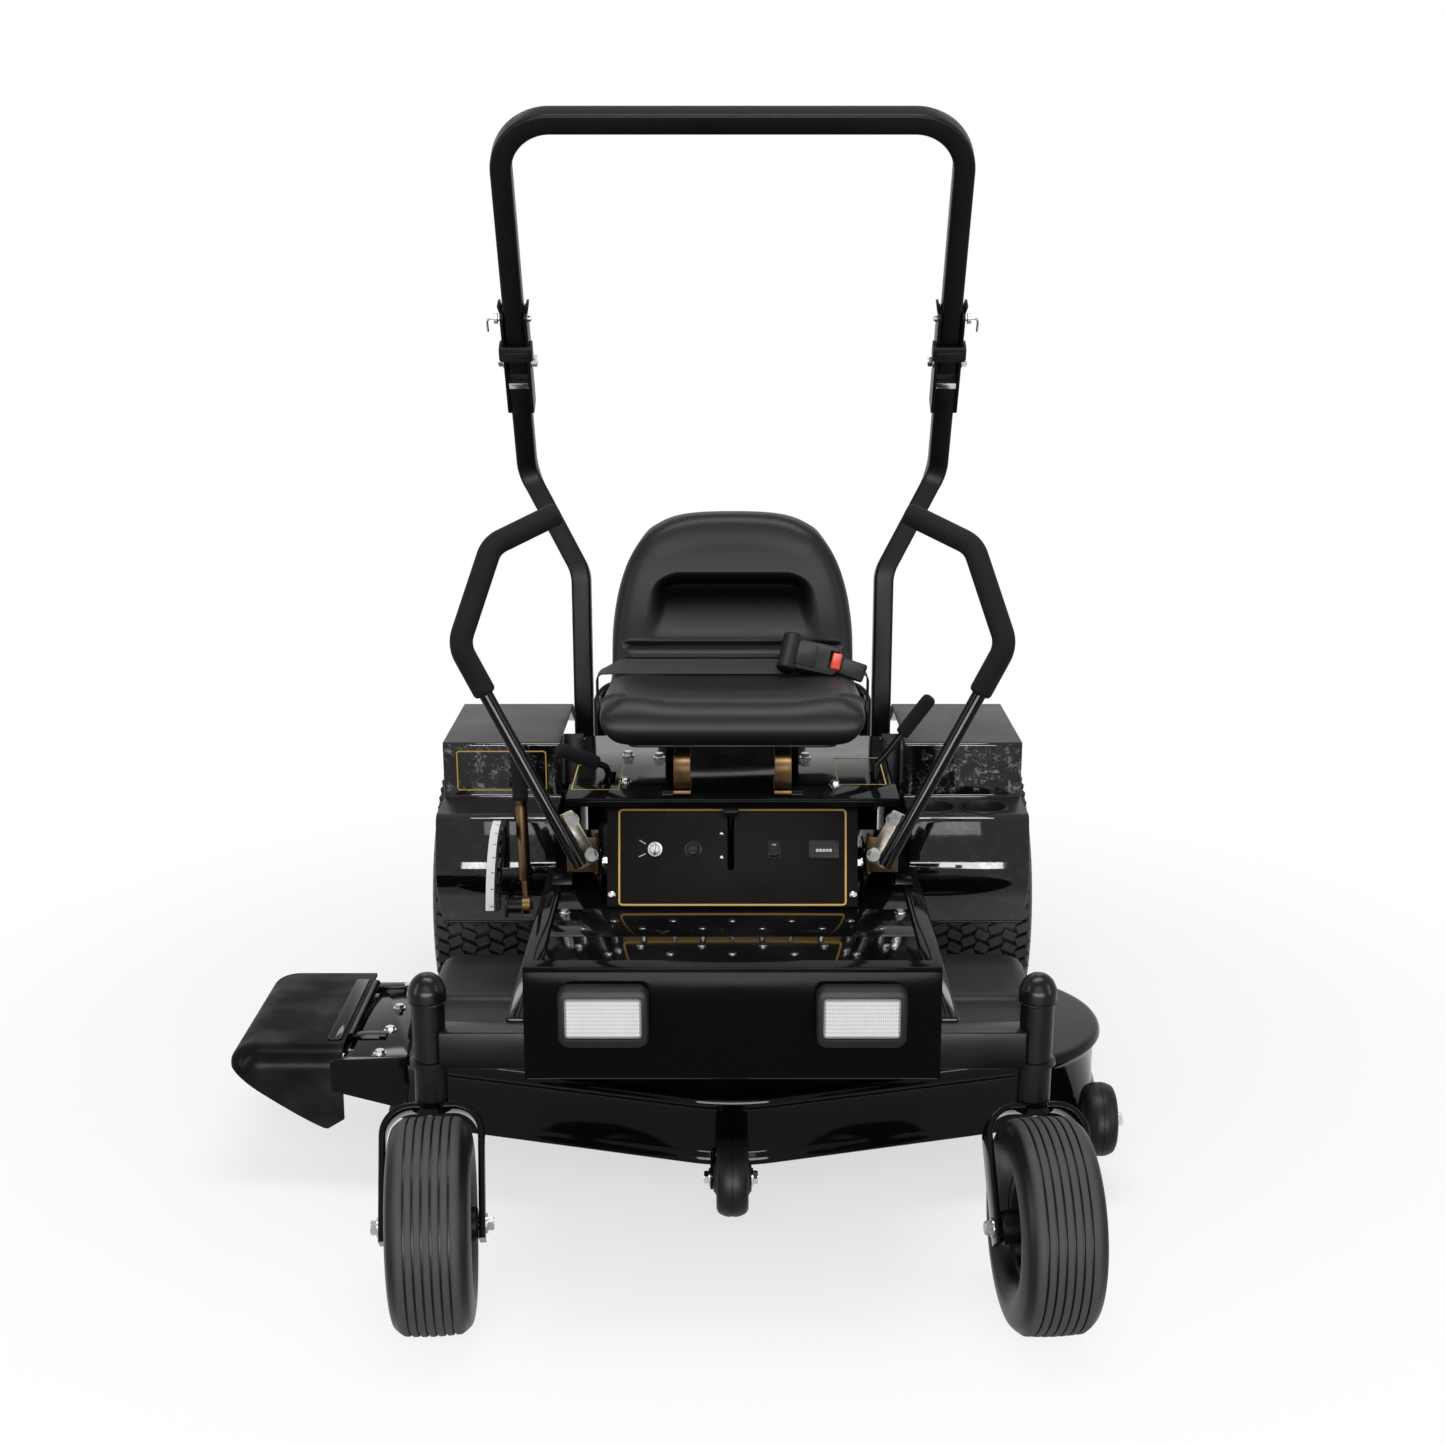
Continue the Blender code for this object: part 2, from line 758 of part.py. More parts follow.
def caster_fork(side):
    """A flat bar bent to an arch over the tyre, with its axle and the stem that turns in the frame."""
    spindle, centre, axle = caster_frame(side)
    reach = axle * (CASTER_TYRE_WIDTH / 2 + FORK_SIDE_GAP + FORK_BAR / 2)
    crown = Vector((spindle.x, spindle.y, FORK_TOP_Z - FORK_BAR))
    rake = (centre - crown).normalized()
    foot = centre + rake * 0.6 * FORK_WIDTH
    route = bent([foot + reach, crown + reach, crown - reach, foot - reach], 0.045, 5)
    fork = swept(route, flat_bar(FORK_WIDTH, FORK_BAR), axle.cross(rake))
    head_low = Vector((spindle.x, spindle.y, FORK_TOP_Z - 0.009))
    head_high = Vector((spindle.x, spindle.y, CASTER_TUBE_BOTTOM_Z - GAP))
    head = rod(head_low, head_high, CASTER_TUBE_RADIUS, ROD_STEPS)
    stem_top = Vector((spindle.x, spindle.y, CASTER_TUBE_TOP_Z - 0.012))
    stem = rod(head_low, stem_top, STEM_RADIUS, ROD_STEPS)
    end = reach + axle * (FORK_BAR / 2 + 0.006)
    pin = rod(centre - end, centre + end, CASTER_AXLE_RADIUS, ROD_STEPS)
    bolt = hexagon(centre - end - axle * 0.006, centre - end + axle * 0.005, 0.015)
    nut = hexagon(centre + end - axle * 0.005, centre + end + axle * 0.006, 0.015)
    union(fork, head, stem, pin, bolt, nut)
    piece(fork, side_name("caster_fork", side), gloss_black(), spindle)


# Frame


def bracket_inner():
    return DRIVE_PIVOT_X - BRACKET_OFFSET - BRACKET_PLATE


def lever_bracket(side):
    """An upright plate that carries one control lever, with a hole for the lever's drive pivot."""
    return mirrored_box(
        side,
        (bracket_inner(), DRIVE_PIVOT_Y - BRACKET_FRONT, BEAM_TOP_Z - 0.003),
        (DRIVE_PIVOT_X - BRACKET_OFFSET, DRIVE_PIVOT_Y + BRACKET_REAR, DRIVE_PIVOT_Z + BRACKET_RISE),
    )


def lever_pivot_hole(side):
    start = (side * (DRIVE_PIVOT_X - 0.030), DRIVE_PIVOT_Y, DRIVE_PIVOT_Z)
    end = (side * (DRIVE_PIVOT_X + 0.010), DRIVE_PIVOT_Y, DRIVE_PIVOT_Z)
    return rod(start, end, PIVOT_PIN_RADIUS + PIN_CLEARANCE, PIN_STEPS)


def main_frame():
    outer = RAIL_INNER_X + RAIL_WIDTH
    low = RAIL_TOP_Z - RAIL_HEIGHT
    front = CASTER_Y + BEAM_DEPTH / 2 + GAP
    into = RAIL_INNER_X + WELD
    rear = RAIL_REAR_Y - WELD
    frame = mirrored_box(1, (RAIL_INNER_X, front, low), (outer, RAIL_REAR_Y, RAIL_TOP_Z))
    plate_low = BEAM_TOP_Z - SEAT_PLATE
    union(frame, box((-into, SEAT_PLATE_FRONT_Y, plate_low), (into, SEAT_PLATE_REAR_Y, BEAM_TOP_Z)))
    union(frame, mirrored_box(-1, (RAIL_INNER_X, front, low), (outer, RAIL_REAR_Y, RAIL_TOP_Z)))
    cross_y = (front + FOOT_REAR_Y) / 2
    cross_low = (-into, cross_y - CROSS_BAR_HALF, low + CROSS_BAR_HALF)
    union(frame, box(cross_low, (into, cross_y + CROSS_BAR_HALF, BEAM_TOP_Z)))
    engine_top = RAIL_TOP_Z - ENGINE_PLATE_SINK
    engine_low = (-into, ENGINE_PLATE_FRONT_Y, engine_top - SEAT_PLATE)
    union(frame, box(engine_low, (into, RAIL_REAR_Y - 0.010, engine_top)))
    bar_low = (-into, rear - 2 * CROSS_BAR_HALF, low + 0.004)
    union(frame, box(bar_low, (into, rear, engine_top - 0.002)))
    guard_x = RAIL_INNER_X + RAIL_WIDTH / 2 - GUARD_INSET
    guard_y = RAIL_REAR_Y + GUARD_SETBACK
    guard_root = RAIL_REAR_Y - 2 * GUARD_RADIUS
    guard_low = RAIL_TOP_Z - RAIL_HEIGHT / 2
    guard_high = guard_low + GUARD_RISE
    route = [
        (-guard_x, guard_root, guard_low),
        (-guard_x, guard_y, guard_low),
        (-guard_x, guard_y, guard_high),
        (guard_x, guard_y, guard_high),
        (guard_x, guard_y, guard_low),
        (guard_x, guard_root, guard_low),
    ]
    union(frame, tube(bent(route, GUARD_BEND), GUARD_RADIUS))
    tongue_y = RAIL_REAR_Y - 2 * GUARD_RADIUS
    tongue_low = low - HITCH_DROP
    tongue_top = tongue_low + HITCH_PLATE
    pin_y = tongue_y + HITCH_PIN_BACK
    tongue = box((-HITCH_HALF, tongue_y, tongue_low), (HITCH_HALF, tongue_y + HITCH_DEPTH, tongue_top))
    cut(tongue, rod((0, pin_y, tongue_low - 0.02), (0, pin_y, low), HITCH_PIN_RADIUS, PIN_STEPS))
    drop_low = (-HITCH_HALF, tongue_y, tongue_low + 0.002)
    union(tongue, box(drop_low, (HITCH_HALF, tongue_y + HITCH_PLATE, low + CROSS_BAR_HALF)))
    union(frame, tongue)
    for side in (1, -1):
        union(frame, lever_bracket(side))
        cut(frame, lever_pivot_hole(side))
    piece(frame, "main_frame", gloss_black())


def caster_beam():
    low = BEAM_TOP_Z - BEAM_HEIGHT
    reach = CASTER_X - 0.6 * CASTER_TUBE_RADIUS
    beam = box(
        (-reach, CASTER_Y - BEAM_DEPTH / 2, low),
        (reach, CASTER_Y + BEAM_DEPTH / 2, BEAM_TOP_Z),
    )
    for side in (1, -1):
        x = side * CASTER_X
        cap = CASTER_TUBE_TOP_Z
        sleeve = turned(
            [
                (0, cap + CAP_HEIGHT),
                (0.55 * CAP_RADIUS, cap + 0.90 * CAP_HEIGHT),
                (0.87 * CAP_RADIUS, cap + 0.62 * CAP_HEIGHT),
                (CAP_RADIUS, cap + 0.25 * CAP_HEIGHT),
                (CAP_RADIUS, cap - 0.010),
                (CASTER_TUBE_RADIUS, cap - 0.010),
                (CASTER_TUBE_RADIUS, CASTER_TUBE_BOTTOM_Z),
                (0, CASTER_TUBE_BOTTOM_Z),
            ],
            (x, CASTER_Y, 0),
            steps=ROD_STEPS,
        )
        union(beam, sleeve)
        bore = STEM_RADIUS + PIN_CLEARANCE
        cut(beam, rod((x, CASTER_Y, low - 0.1), (x, CASTER_Y, cap - 0.006), bore, ROD_STEPS))
    piece(beam, "caster_beam", gloss_black())


def front_panel():
    top = (PANEL_Y + PANEL_LEAN, PANEL_TOP_Z)
    path = [
        (PANEL_Y + 0.020, PANEL_BOTTOM_Z),
        (PANEL_Y, PANEL_BOTTOM_Z),
        top,
        (top[0] + PANEL_FLANGE, PANEL_TOP_Z),
    ]
    panel = prism(strip(path[::-1], SHEET), "X", -PANEL_HALF_WIDTH, PANEL_HALF_WIDTH)
    back = CASTER_Y - BEAM_DEPTH / 2 - GAP
    web = [
        (PANEL_Y + 0.002, PANEL_BOTTOM_Z + 0.001),
        (back, PANEL_BOTTOM_Z + 0.001),
        (back, RAIL_TOP_Z + 0.010),
        (top[0] + PANEL_FLANGE, PANEL_TOP_Z - 0.001),
        (top[0] + 0.002, PANEL_TOP_Z - 0.001),
    ]
    for side in (1, -1):
        first, last = sorted((side * (PANEL_HALF_WIDTH - SHEET), side * PANEL_HALF_WIDTH))
        union(panel, prism(web, "X", first, last))
    piece(panel, "front_panel", gloss_black())


def lamp_face_y(z):
    """The panel's front face leans back, and the lamps sit against it at this depth."""
    share = (z - PANEL_BOTTOM_Z) / (PANEL_TOP_Z - PANEL_BOTTOM_Z)
    return PANEL_Y + PANEL_LEAN * share


def headlight(side):
    half_w = LAMP_WIDTH / 2
    half_h = LAMP_HEIGHT / 2
    back = lamp_face_y(LAMP_Z - half_h) - GAP
    x = side * LAMP_X
    outline = rounded(
        [(x - half_w, LAMP_Z - half_h), (x + half_w, LAMP_Z - half_h),
         (x + half_w, LAMP_Z + half_h), (x - half_w, LAMP_Z + half_h)],
        0.016,
    )
    shell = prism(outline, "Y", back - LAMP_DEPTH, back)
    pocket_w = LENS_WIDTH / 2 + GAP
    pocket_h = LENS_HEIGHT / 2 + GAP
    front = back - LAMP_DEPTH
    pocket_low = (x - pocket_w, front - 0.01, LAMP_Z - pocket_h)
    cut(shell, box(pocket_low, (x + pocket_w, front + LENS_DEPTH, LAMP_Z + pocket_h)))
    piece(shell, side_name("headlight", side), matte_black())
    lens = box(
        (x - LENS_WIDTH / 2, front + 0.001, LAMP_Z - LENS_HEIGHT / 2),
        (x + LENS_WIDTH / 2, front + LENS_DEPTH - GAP, LAMP_Z + LENS_HEIGHT / 2),
        0.0015,
    )
    piece(lens, side_name("headlight_lens", side), clear_lens())


def footplate():
    wide = RAIL_INNER_X - GAP
    narrow = PANEL_HALF_WIDTH - SHEET - GAP
    over_beam = CASTER_Y - BEAM_DEPTH / 2 + 0.002
    front = PANEL_Y + 0.022
    outline = [
        (-wide, FOOT_REAR_Y), (-wide, over_beam), (-narrow, over_beam), (-narrow, front),
        (narrow, front), (narrow, over_beam), (wide, over_beam), (wide, FOOT_REAR_Y),
    ]
    low = BEAM_TOP_Z + GAP
    plate = prism(outline, "Z", low, low + SHEET)
    piece(plate, "footplate", gloss_black())


# Console and its controls


def console_matrix():
    """Local axes on the console's face: across it, up along it, and out from it."""
    bottom = Vector((0, CONSOLE_BOTTOM_Y, BEAM_TOP_Z + GAP))
    top = Vector((0, CONSOLE_TOP_Y, BOX_TOP_Z - SHEET - GAP))
    up = (top - bottom).normalized()
    across = Vector((1, 0, 0))
    out = across.cross(up)
    turn = Matrix((across, up, out)).transposed().to_4x4()
    return Matrix.Translation(bottom) @ turn


def on_console(obj):
    obj.data.transform(console_matrix())
    return obj


def console_panel():
    bottom = (CONSOLE_BOTTOM_Y, BEAM_TOP_Z + GAP)
    top = (CONSOLE_TOP_Y, BOX_TOP_Z - SHEET - GAP)
    path = [(top[0] + 0.030, top[1]), top, bottom, (bottom[0] + 0.035, bottom[1])]
    panel = prism(strip(path, 0.003), "X", -CONSOLE_HALF_WIDTH, CONSOLE_HALF_WIDTH)
    slot_half = THROTTLE_SLOT / 2 + 0.008
    ear_x = THROTTLE_X + THROTTLE_ARM / 2 + GAP
    pivot = (THROTTLE_S, -THROTTLE_DEPTH)
    ear = box(
        (ear_x, pivot[0] - 0.011, pivot[1] - 0.011),
        (ear_x + 0.004, pivot[0] + 0.011, -0.001),
    )
    pin_hole = THROTTLE_PIN_RADIUS + PIN_CLEARANCE
    cut(ear, rod((ear_x - 0.01, *pivot), (ear_x + 0.01, *pivot), pin_hole, PIN_STEPS))
    lock = rod((KEY_X, CONTROL_S, -0.002), (KEY_X, CONTROL_S, LOCK_HEIGHT), 0.013, ROD_STEPS, 0.001)
    meter = box(
        (METER_X - METER_HALF_WIDTH, CONTROL_S - METER_HALF_HEIGHT, -0.002),
        (METER_X + METER_HALF_WIDTH, CONTROL_S + METER_HALF_HEIGHT, 0.004),
    )
    slot = box(
        (THROTTLE_X - THROTTLE_ARM / 2 - 0.0015, THROTTLE_S - slot_half, -0.02),
        (ear_x - 0.0001, THROTTLE_S + slot_half, 0.02),
    )
    choke_hole = CHOKE_ROD_RADIUS + PIN_CLEARANCE
    choke = rod((CHOKE_X, CONTROL_S, -0.02), (CHOKE_X, CONTROL_S, 0.02), choke_hole, PIN_STEPS)
    rocker_half = ROCKER_HALF_WIDTH + ROCKER_CLEARANCE
    rocker_reach = ROCKER_HALF_LENGTH + ROCKER_SWING
    rocker = box(
        (ROCKER_X - rocker_half, CONTROL_S - rocker_reach, -0.02),
        (ROCKER_X + rocker_half, CONTROL_S + rocker_reach, 0.02),
    )
    union(panel, *[on_console(obj) for obj in (lock, meter, ear)])
    cut(panel, *[on_console(obj) for obj in (slot, choke, rocker)])
    piece(panel, "console_panel", gloss_black())


def throttle_lever():
    """A flat arm through the slot, at rest at the top of its travel."""
    half = THROTTLE_ARM / 2
    pivot = Vector((THROTTLE_X, THROTTLE_S, -THROTTLE_DEPTH))
    tilt = math.atan(THROTTLE_SLOT / 2 / THROTTLE_DEPTH)
    length = THROTTLE_DEPTH / math.cos(tilt) + 0.022
    arm = box((-half, -0.005, -0.009), (half, 0.005, length))
    union(arm, rod((0, 0, 0), (half + GAP + 0.0035, 0, 0), THROTTLE_PIN_RADIUS, PIN_STEPS))
    union(arm, box((-0.009, -0.006, length - 0.006), (0.009, 0.006, length + 0.016), 0.003))
    arm.data.transform(Matrix.Translation(pivot) @ Matrix.Rotation(-tilt, 4, "X"))
    on_console(arm)
    piece(arm, "throttle_lever", matte_black(), console_matrix() @ pivot)


def choke_knob():
    spot = Vector((CHOKE_X, CONTROL_S, 0))
    knob = turned(
        [(0, 0.022), (0.009, 0.021), (0.011, 0.017), (0.010, 0.008), (0.007, GAP), (CHOKE_ROD_RADIUS, GAP),
         (CHOKE_ROD_RADIUS, -0.045), (0, -0.045)],
        spot,
        steps=PIN_STEPS,
    )
    piece(on_console(knob), "choke_knob", matte_black(), console_matrix() @ spot)


def ignition_key():
    spot = Vector((KEY_X, CONTROL_S, LOCK_HEIGHT + GAP))
    key = rod(spot, spot + Vector((0, 0, 0.006)), 0.007, PIN_STEPS)
    bow = rounded([(-0.011, 0.004), (0.011, 0.004), (0.011, 0.026), (-0.011, 0.026)], 0.006, 2)
    head = prism([(spot.y + a, spot.z + b) for a, b in bow], "X", KEY_X - 0.0013, KEY_X + 0.0013)
    union(key, head)
    piece(on_console(key), "ignition_key", steel(), console_matrix() @ spot)


def light_switch():
    spot = Vector((ROCKER_X, CONTROL_S, -0.001))
    low = (-ROCKER_HALF_WIDTH, -ROCKER_HALF_LENGTH, -0.006)
    rocker = box(low, (ROCKER_HALF_WIDTH, ROCKER_HALF_LENGTH, 0.005), 0.001)
    rocker.data.transform(Matrix.Translation(spot) @ Matrix.Rotation(-ROCKER_TILT, 4, "X"))
    piece(on_console(rocker), "light_switch", matte_black(), console_matrix() @ spot)


# Seat box and fenders


def seat_box():
    z0 = RAIL_TOP_Z + GAP
    inner = BOX_HALF_WIDTH - SHEET
    foot = FENDER_INNER_X - 0.0025
    path = [
        (-foot, z0), (-inner, z0), (-inner, BOX_TOP_Z - SHEET),
        (inner, BOX_TOP_Z - SHEET), (inner, z0), (foot, z0),
    ]
    hat = prism(strip(path, SHEET), "Y", BOX_FRONT_Y, BOX_REAR_Y)
    front = BOX_FRONT_Y - BOX_OVERHANG
    shelf = [(front, BOX_TOP_Z - 0.014), (front, BOX_TOP_Z), (BOX_FRONT_Y + 0.003, BOX_TOP_Z)]
    union(hat, prism(strip(shelf[::-1], SHEET), "X", -BOX_HALF_WIDTH, BOX_HALF_WIDTH))
    for x, y in ((BRAKE_X, BRAKE_Y), (ENGAGE_X, ENGAGE_Y)):
        ear_x = x - LEVER_SLOT_HALF + 0.004
        ear = box((ear_x - 0.005, y - 0.012, LEVER_PIVOT_Z - 0.012), (ear_x, y + 0.012, BOX_TOP_Z - 0.002))
        union(hat, ear)
        bore = HAND_ROD_RADIUS + PIN_CLEARANCE
        cut(hat, rod((ear_x - 0.02, y, LEVER_PIVOT_Z), (ear_x + 0.002, y, LEVER_PIVOT_Z), bore, PIN_STEPS))
        slot = box(
            (ear_x, y - LEVER_SLOT_REACH, BOX_TOP_Z - 0.02),
            (x + LEVER_SLOT_HALF, y + LEVER_SLOT_REACH, BOX_TOP_Z + 0.02),
        )
        cut(hat, slot)
    for side in (1, -1):
        knuckle_x = SPRING_X + SPRING_HALF + GAP
        start = (side * knuckle_x, SEAT_HINGE_Y, SEAT_HINGE_Z)
        end = (side * (knuckle_x + 0.020), SEAT_HINGE_Y, SEAT_HINGE_Z)
        lug = rod(start, end, SEAT_HINGE_RADIUS, 12)
        pad = mirrored_box(
            side,
            (knuckle_x, SEAT_HINGE_Y - 0.005, BOX_TOP_Z - 0.002),
            (knuckle_x + 0.020, SEAT_HINGE_Y + 0.005, SEAT_HINGE_Z),
        )
        union(hat, union(lug, pad))
    piece(hat, "seat_box", gloss_black())


def height_quadrant():
    """A toothed sector whose notches hold the height lever, with an arm back to the fender."""
    outer = []
    teeth = 2 * QUADRANT_NOTCHES
    for i in range(teeth + 1):
        angle = QUADRANT_SWEEP * i / teeth
        radius = QUADRANT_RADIUS - (0.008 if i % 2 else 0)
        outer.append((HEIGHT_PIVOT_Y - radius * math.sin(angle), HEIGHT_PIVOT_Z + radius * math.cos(angle)))
    inner = []
    for i in range(6):
        angle = QUADRANT_SWEEP * i / 5
        radius = QUADRANT_RADIUS - QUADRANT_BAND
        inner.append((HEIGHT_PIVOT_Y - radius * math.sin(angle), HEIGHT_PIVOT_Z + radius * math.cos(angle)))
    sector = prism(outer + inner[::-1], "X", QUADRANT_X - 0.003, QUADRANT_X + 0.003)
    arm_top = HEIGHT_PIVOT_Z + QUADRANT_RADIUS - 0.012
    arm_low = HEIGHT_PIVOT_Z + QUADRANT_RADIUS - QUADRANT_BAND
    arm = box(
        (QUADRANT_X - 0.003, HEIGHT_PIVOT_Y - 0.020, arm_low),
        (QUADRANT_X + 0.003, FENDER_LEDGE_Y + 0.003, arm_top),
    )
    post = box(
        (QUADRANT_X - 0.003, HEIGHT_PIVOT_Y - 0.018, HEIGHT_PIVOT_Z - 0.018),
        (QUADRANT_X + 0.003, FENDER_TOE_Y - 0.012, HEIGHT_PIVOT_Z + 0.018),
    )
    boss = rod(
        (QUADRANT_X, HEIGHT_PIVOT_Y, HEIGHT_PIVOT_Z),
        (HEIGHT_LEVER_X - 0.008 - GAP, HEIGHT_PIVOT_Y, HEIGHT_PIVOT_Z),
        0.016,
        PIN_STEPS,
    )
    pin = rod(
        (QUADRANT_X, HEIGHT_PIVOT_Y, HEIGHT_PIVOT_Z),
        (HEIGHT_LEVER_X + 0.012, HEIGHT_PIVOT_Y, HEIGHT_PIVOT_Z),
        0.008,
        PIN_STEPS,
    )
    return union(sector, arm, post, boss, pin)


def fender(side):
    path = [
        (FENDER_TAIL_Y, FENDER_TAIL_Z),
        (FENDER_REAR_Y, FENDER_TOP_Z),
        (FENDER_STEP_Y, FENDER_TOP_Z),
        (FENDER_STEP_Y, FENDER_LEDGE_Z),
        (FENDER_LEDGE_Y, FENDER_LEDGE_Z),
        (FENDER_LEDGE_Y + 0.003, FENDER_KNEE_Z),
        (FENDER_TOE_Y, FENDER_TOE_Z),
    ]
    first, last = sorted((side * FENDER_INNER_X, side * FENDER_OUTER_X))
    skin = prism(strip(path, SHEET), "X", first, last)
    rail_top = RAIL_TOP_Z + GAP
    wall = [
        (FENDER_LEDGE_Y + 0.004, rail_top),
        (FENDER_LEDGE_Y + 0.002, FENDER_LEDGE_Z - 0.002),
        (FENDER_STEP_Y + 0.002, FENDER_LEDGE_Z - 0.002),
        (FENDER_STEP_Y + 0.002, FENDER_TOP_Z - 0.002),
        (BOX_REAR_Y, FENDER_TOP_Z - 0.002),
        (BOX_REAR_Y, rail_top),
    ]
    first, last = sorted((side * FENDER_INNER_X, side * (FENDER_INNER_X + SHEET)))
    union(skin, prism(wall, "X", first, last))
    rail_outer = RAIL_INNER_X + RAIL_WIDTH
    notch = mirrored_box(
        side,
        (FENDER_INNER_X - 0.02, FENDER_LEDGE_Y - 0.05, FENDER_TOE_Z - 0.05),
        (rail_outer + 0.002, FENDER_TOE_Y + 0.05, rail_top),
    )
    cut(skin, notch)
    if side > 0:
        for x in CUP_X:
            low = FENDER_LEDGE_Z - CUP_DEPTH
            rim = (x, CUP_Y, FENDER_LEDGE_Z - 0.001)
            union(skin, rod((x, CUP_Y, low - CUP_WALL), rim, CUP_RADIUS + CUP_WALL, ROD_STEPS))
            cut(skin, rod((x, CUP_Y, low), (x, CUP_Y, FENDER_LEDGE_Z + 0.02), CUP_RADIUS, ROD_STEPS))
    else:
        union(skin, height_quadrant())
    piece(skin, side_name("fender", side), gloss_black())


# Roll-bar


def lean_matrix():
    """Local axes at the hoop's pivot, with the hoop upright in them."""
    return Matrix.Translation((0, HOOP_PIVOT_Y, HOOP_PIVOT_Z)) @ Matrix.Rotation(HOOP_LEAN, 4, "X")


def leaning(obj):
    obj.data.transform(lean_matrix())
    return obj


def bar_section():
    half = BAR_SIDE / 2
    return rounded([(-half, -half), (half, -half), (half, half), (-half, half)], BAR_CORNER, 1)


def hoop_hole(x, rise, radius, sides=ROD_STEPS):
    return rod((x - 0.06, 0, rise), (x + 0.06, 0, rise), radius, sides)


def lock_notch(reach):
    """A slot from the lock pin's rest to the plate's rear edge, which drops as the pin does in the fold."""
    half = LOCK_PIN_RADIUS + PIN_CLEARANCE
    drop = LOCK_PIN_RISE - math.sqrt(LOCK_PIN_RISE**2 - reach**2)
    return [
        (-half, LOCK_PIN_RISE - half),
        (0, LOCK_PIN_RISE - half),
        (reach, LOCK_PIN_RISE - half - drop),
        (reach, LOCK_PIN_RISE + half),
        (-half, LOCK_PIN_RISE + half),
    ]


def rops_post(side):
    foot_top = RAIL_TOP_Z + GAP + 0.008
    top_local = Vector((side * HOOP_X, 0, -HOOP_TAIL - HINGE_SLOT))
    top = lean_matrix() @ top_local
    drop = (top.z - POST_SHOULDER_Z) / math.cos(HOOP_LEAN)
    shoulder = lean_matrix() @ (top_local - Vector((0, 0, drop)))
    route = [
        (side * POST_X, POST_Y, foot_top - 0.004),
        (side * POST_X, POST_Y, POST_KNEE_Z),
        shoulder,
        top,
    ]
    post = swept(bent(route, POST_BEND), bar_section(), (1, 0, 0))
    foot = mirrored_box(
        side,
        (POST_X - 0.022, POST_Y - 0.045, RAIL_TOP_Z + GAP),
        (RAIL_INNER_X + RAIL_WIDTH - 0.001, POST_Y + 0.045, foot_top),
    )
    union(post, foot)
    x = side * HOOP_X
    half = BAR_SIDE / 2
    depth = HINGE_PLATE_DEPTH / 2
    low = -HOOP_TAIL - HINGE_SLOT - HINGE_OVERLAP
    high = LOCK_PIN_RISE + HINGE_PLATE_TIP
    wide = half + HINGE_SLEEVE
    sleeve_top = -HOOP_TAIL - HINGE_SLOT - HINGE_SLEEVE
    sleeve = box((x - wide, -wide, low), (x + wide, wide, sleeve_top))
    union(post, leaning(sleeve))
    for cheek in (1, -1):
        near = x + cheek * (half + GAP)
        far = near + cheek * HINGE_PLATE
        first, last = sorted((near, far))
        corners = [(-depth, low), (depth, low), (depth, high), (-depth, high)]
        outline = rounded(corners, HINGE_PLATE_CORNER, 2)
        plate = prism(outline, "X", first, last)
        cut(plate, prism(lock_notch(depth + HINGE_PLATE), "X", first - HINGE_PLATE, last + HINGE_PLATE))
        head = hexagon((far - cheek * 0.002, 0, 0), (far + cheek * NUT_HEIGHT, 0, 0), HINGE_BOLT_RADIUS)
        union(post, leaning(plate))
        union(post, leaning(head))
    across = half + HINGE_PLATE / 2
    union(post, leaning(rod((x - across, 0, 0), (x + across, 0, 0), HINGE_PIN_RADIUS, ROD_STEPS)))
    piece(post, side_name("rops_post", side), matte_black())


def rops_hoop():
    rise = (HOOP_TOP_Z - HOOP_PIVOT_Z - BAR_SIDE / 2 * (math.cos(HOOP_LEAN) + math.sin(HOOP_LEAN)))
    rise = rise / math.cos(HOOP_LEAN)
    route = [
        (-HOOP_X, 0, -HOOP_TAIL), (-HOOP_X, 0, rise), (HOOP_X, 0, rise), (HOOP_X, 0, -HOOP_TAIL),
    ]
    hoop = swept(bent(route, HOOP_CORNER, 6), bar_section(), (0, 1, 0))
    for side in (1, -1):
        cut(hoop, hoop_hole(side * HOOP_X, 0, HINGE_PIN_RADIUS + PIN_CLEARANCE))
        cut(hoop, hoop_hole(side * HOOP_X, LOCK_PIN_RISE, LOCK_PIN_RADIUS + PIN_CLEARANCE, PIN_STEPS))
    leaning(hoop)
    piece(hoop, "rops_hoop", matte_black(), (0, HOOP_PIVOT_Y, HOOP_PIVOT_Z))


def rops_pin(side):
    """A headed pin through the hoop's leg and the notches of its bracket, with a ring to pull it."""
    x = side * HOOP_X
    near = x - side * (BAR_SIDE / 2 + 0.014)
    far = x + side * (BAR_SIDE / 2 + HINGE_PLATE + 0.010)
    pin = rod((near, 0, LOCK_PIN_RISE), (far, 0, LOCK_PIN_RISE), LOCK_PIN_RADIUS, PIN_STEPS)
    half = side * LOCK_HEAD_HALF
    head_start = (far - half, 0, LOCK_PIN_RISE)
    head = rod(head_start, (far + half, 0, LOCK_PIN_RISE), LOCK_HEAD_RADIUS, PIN_STEPS)
    ring = tube(bent([(far, 0, LOCK_PIN_RISE), (far + side * 0.018, 0, LOCK_PIN_RISE),
                      (far + side * 0.018, 0, LOCK_PIN_RISE - 0.030)], 0.008, 3), 0.0025)
    union(pin, head, ring)
    pivot = lean_matrix() @ Vector((x, 0, LOCK_PIN_RISE))
    piece(leaning(pin), side_name("rops_pin", side), steel(), pivot)


# Levers


def on_side(side, point):
    return Vector((side * point[0], point[1], point[2]))


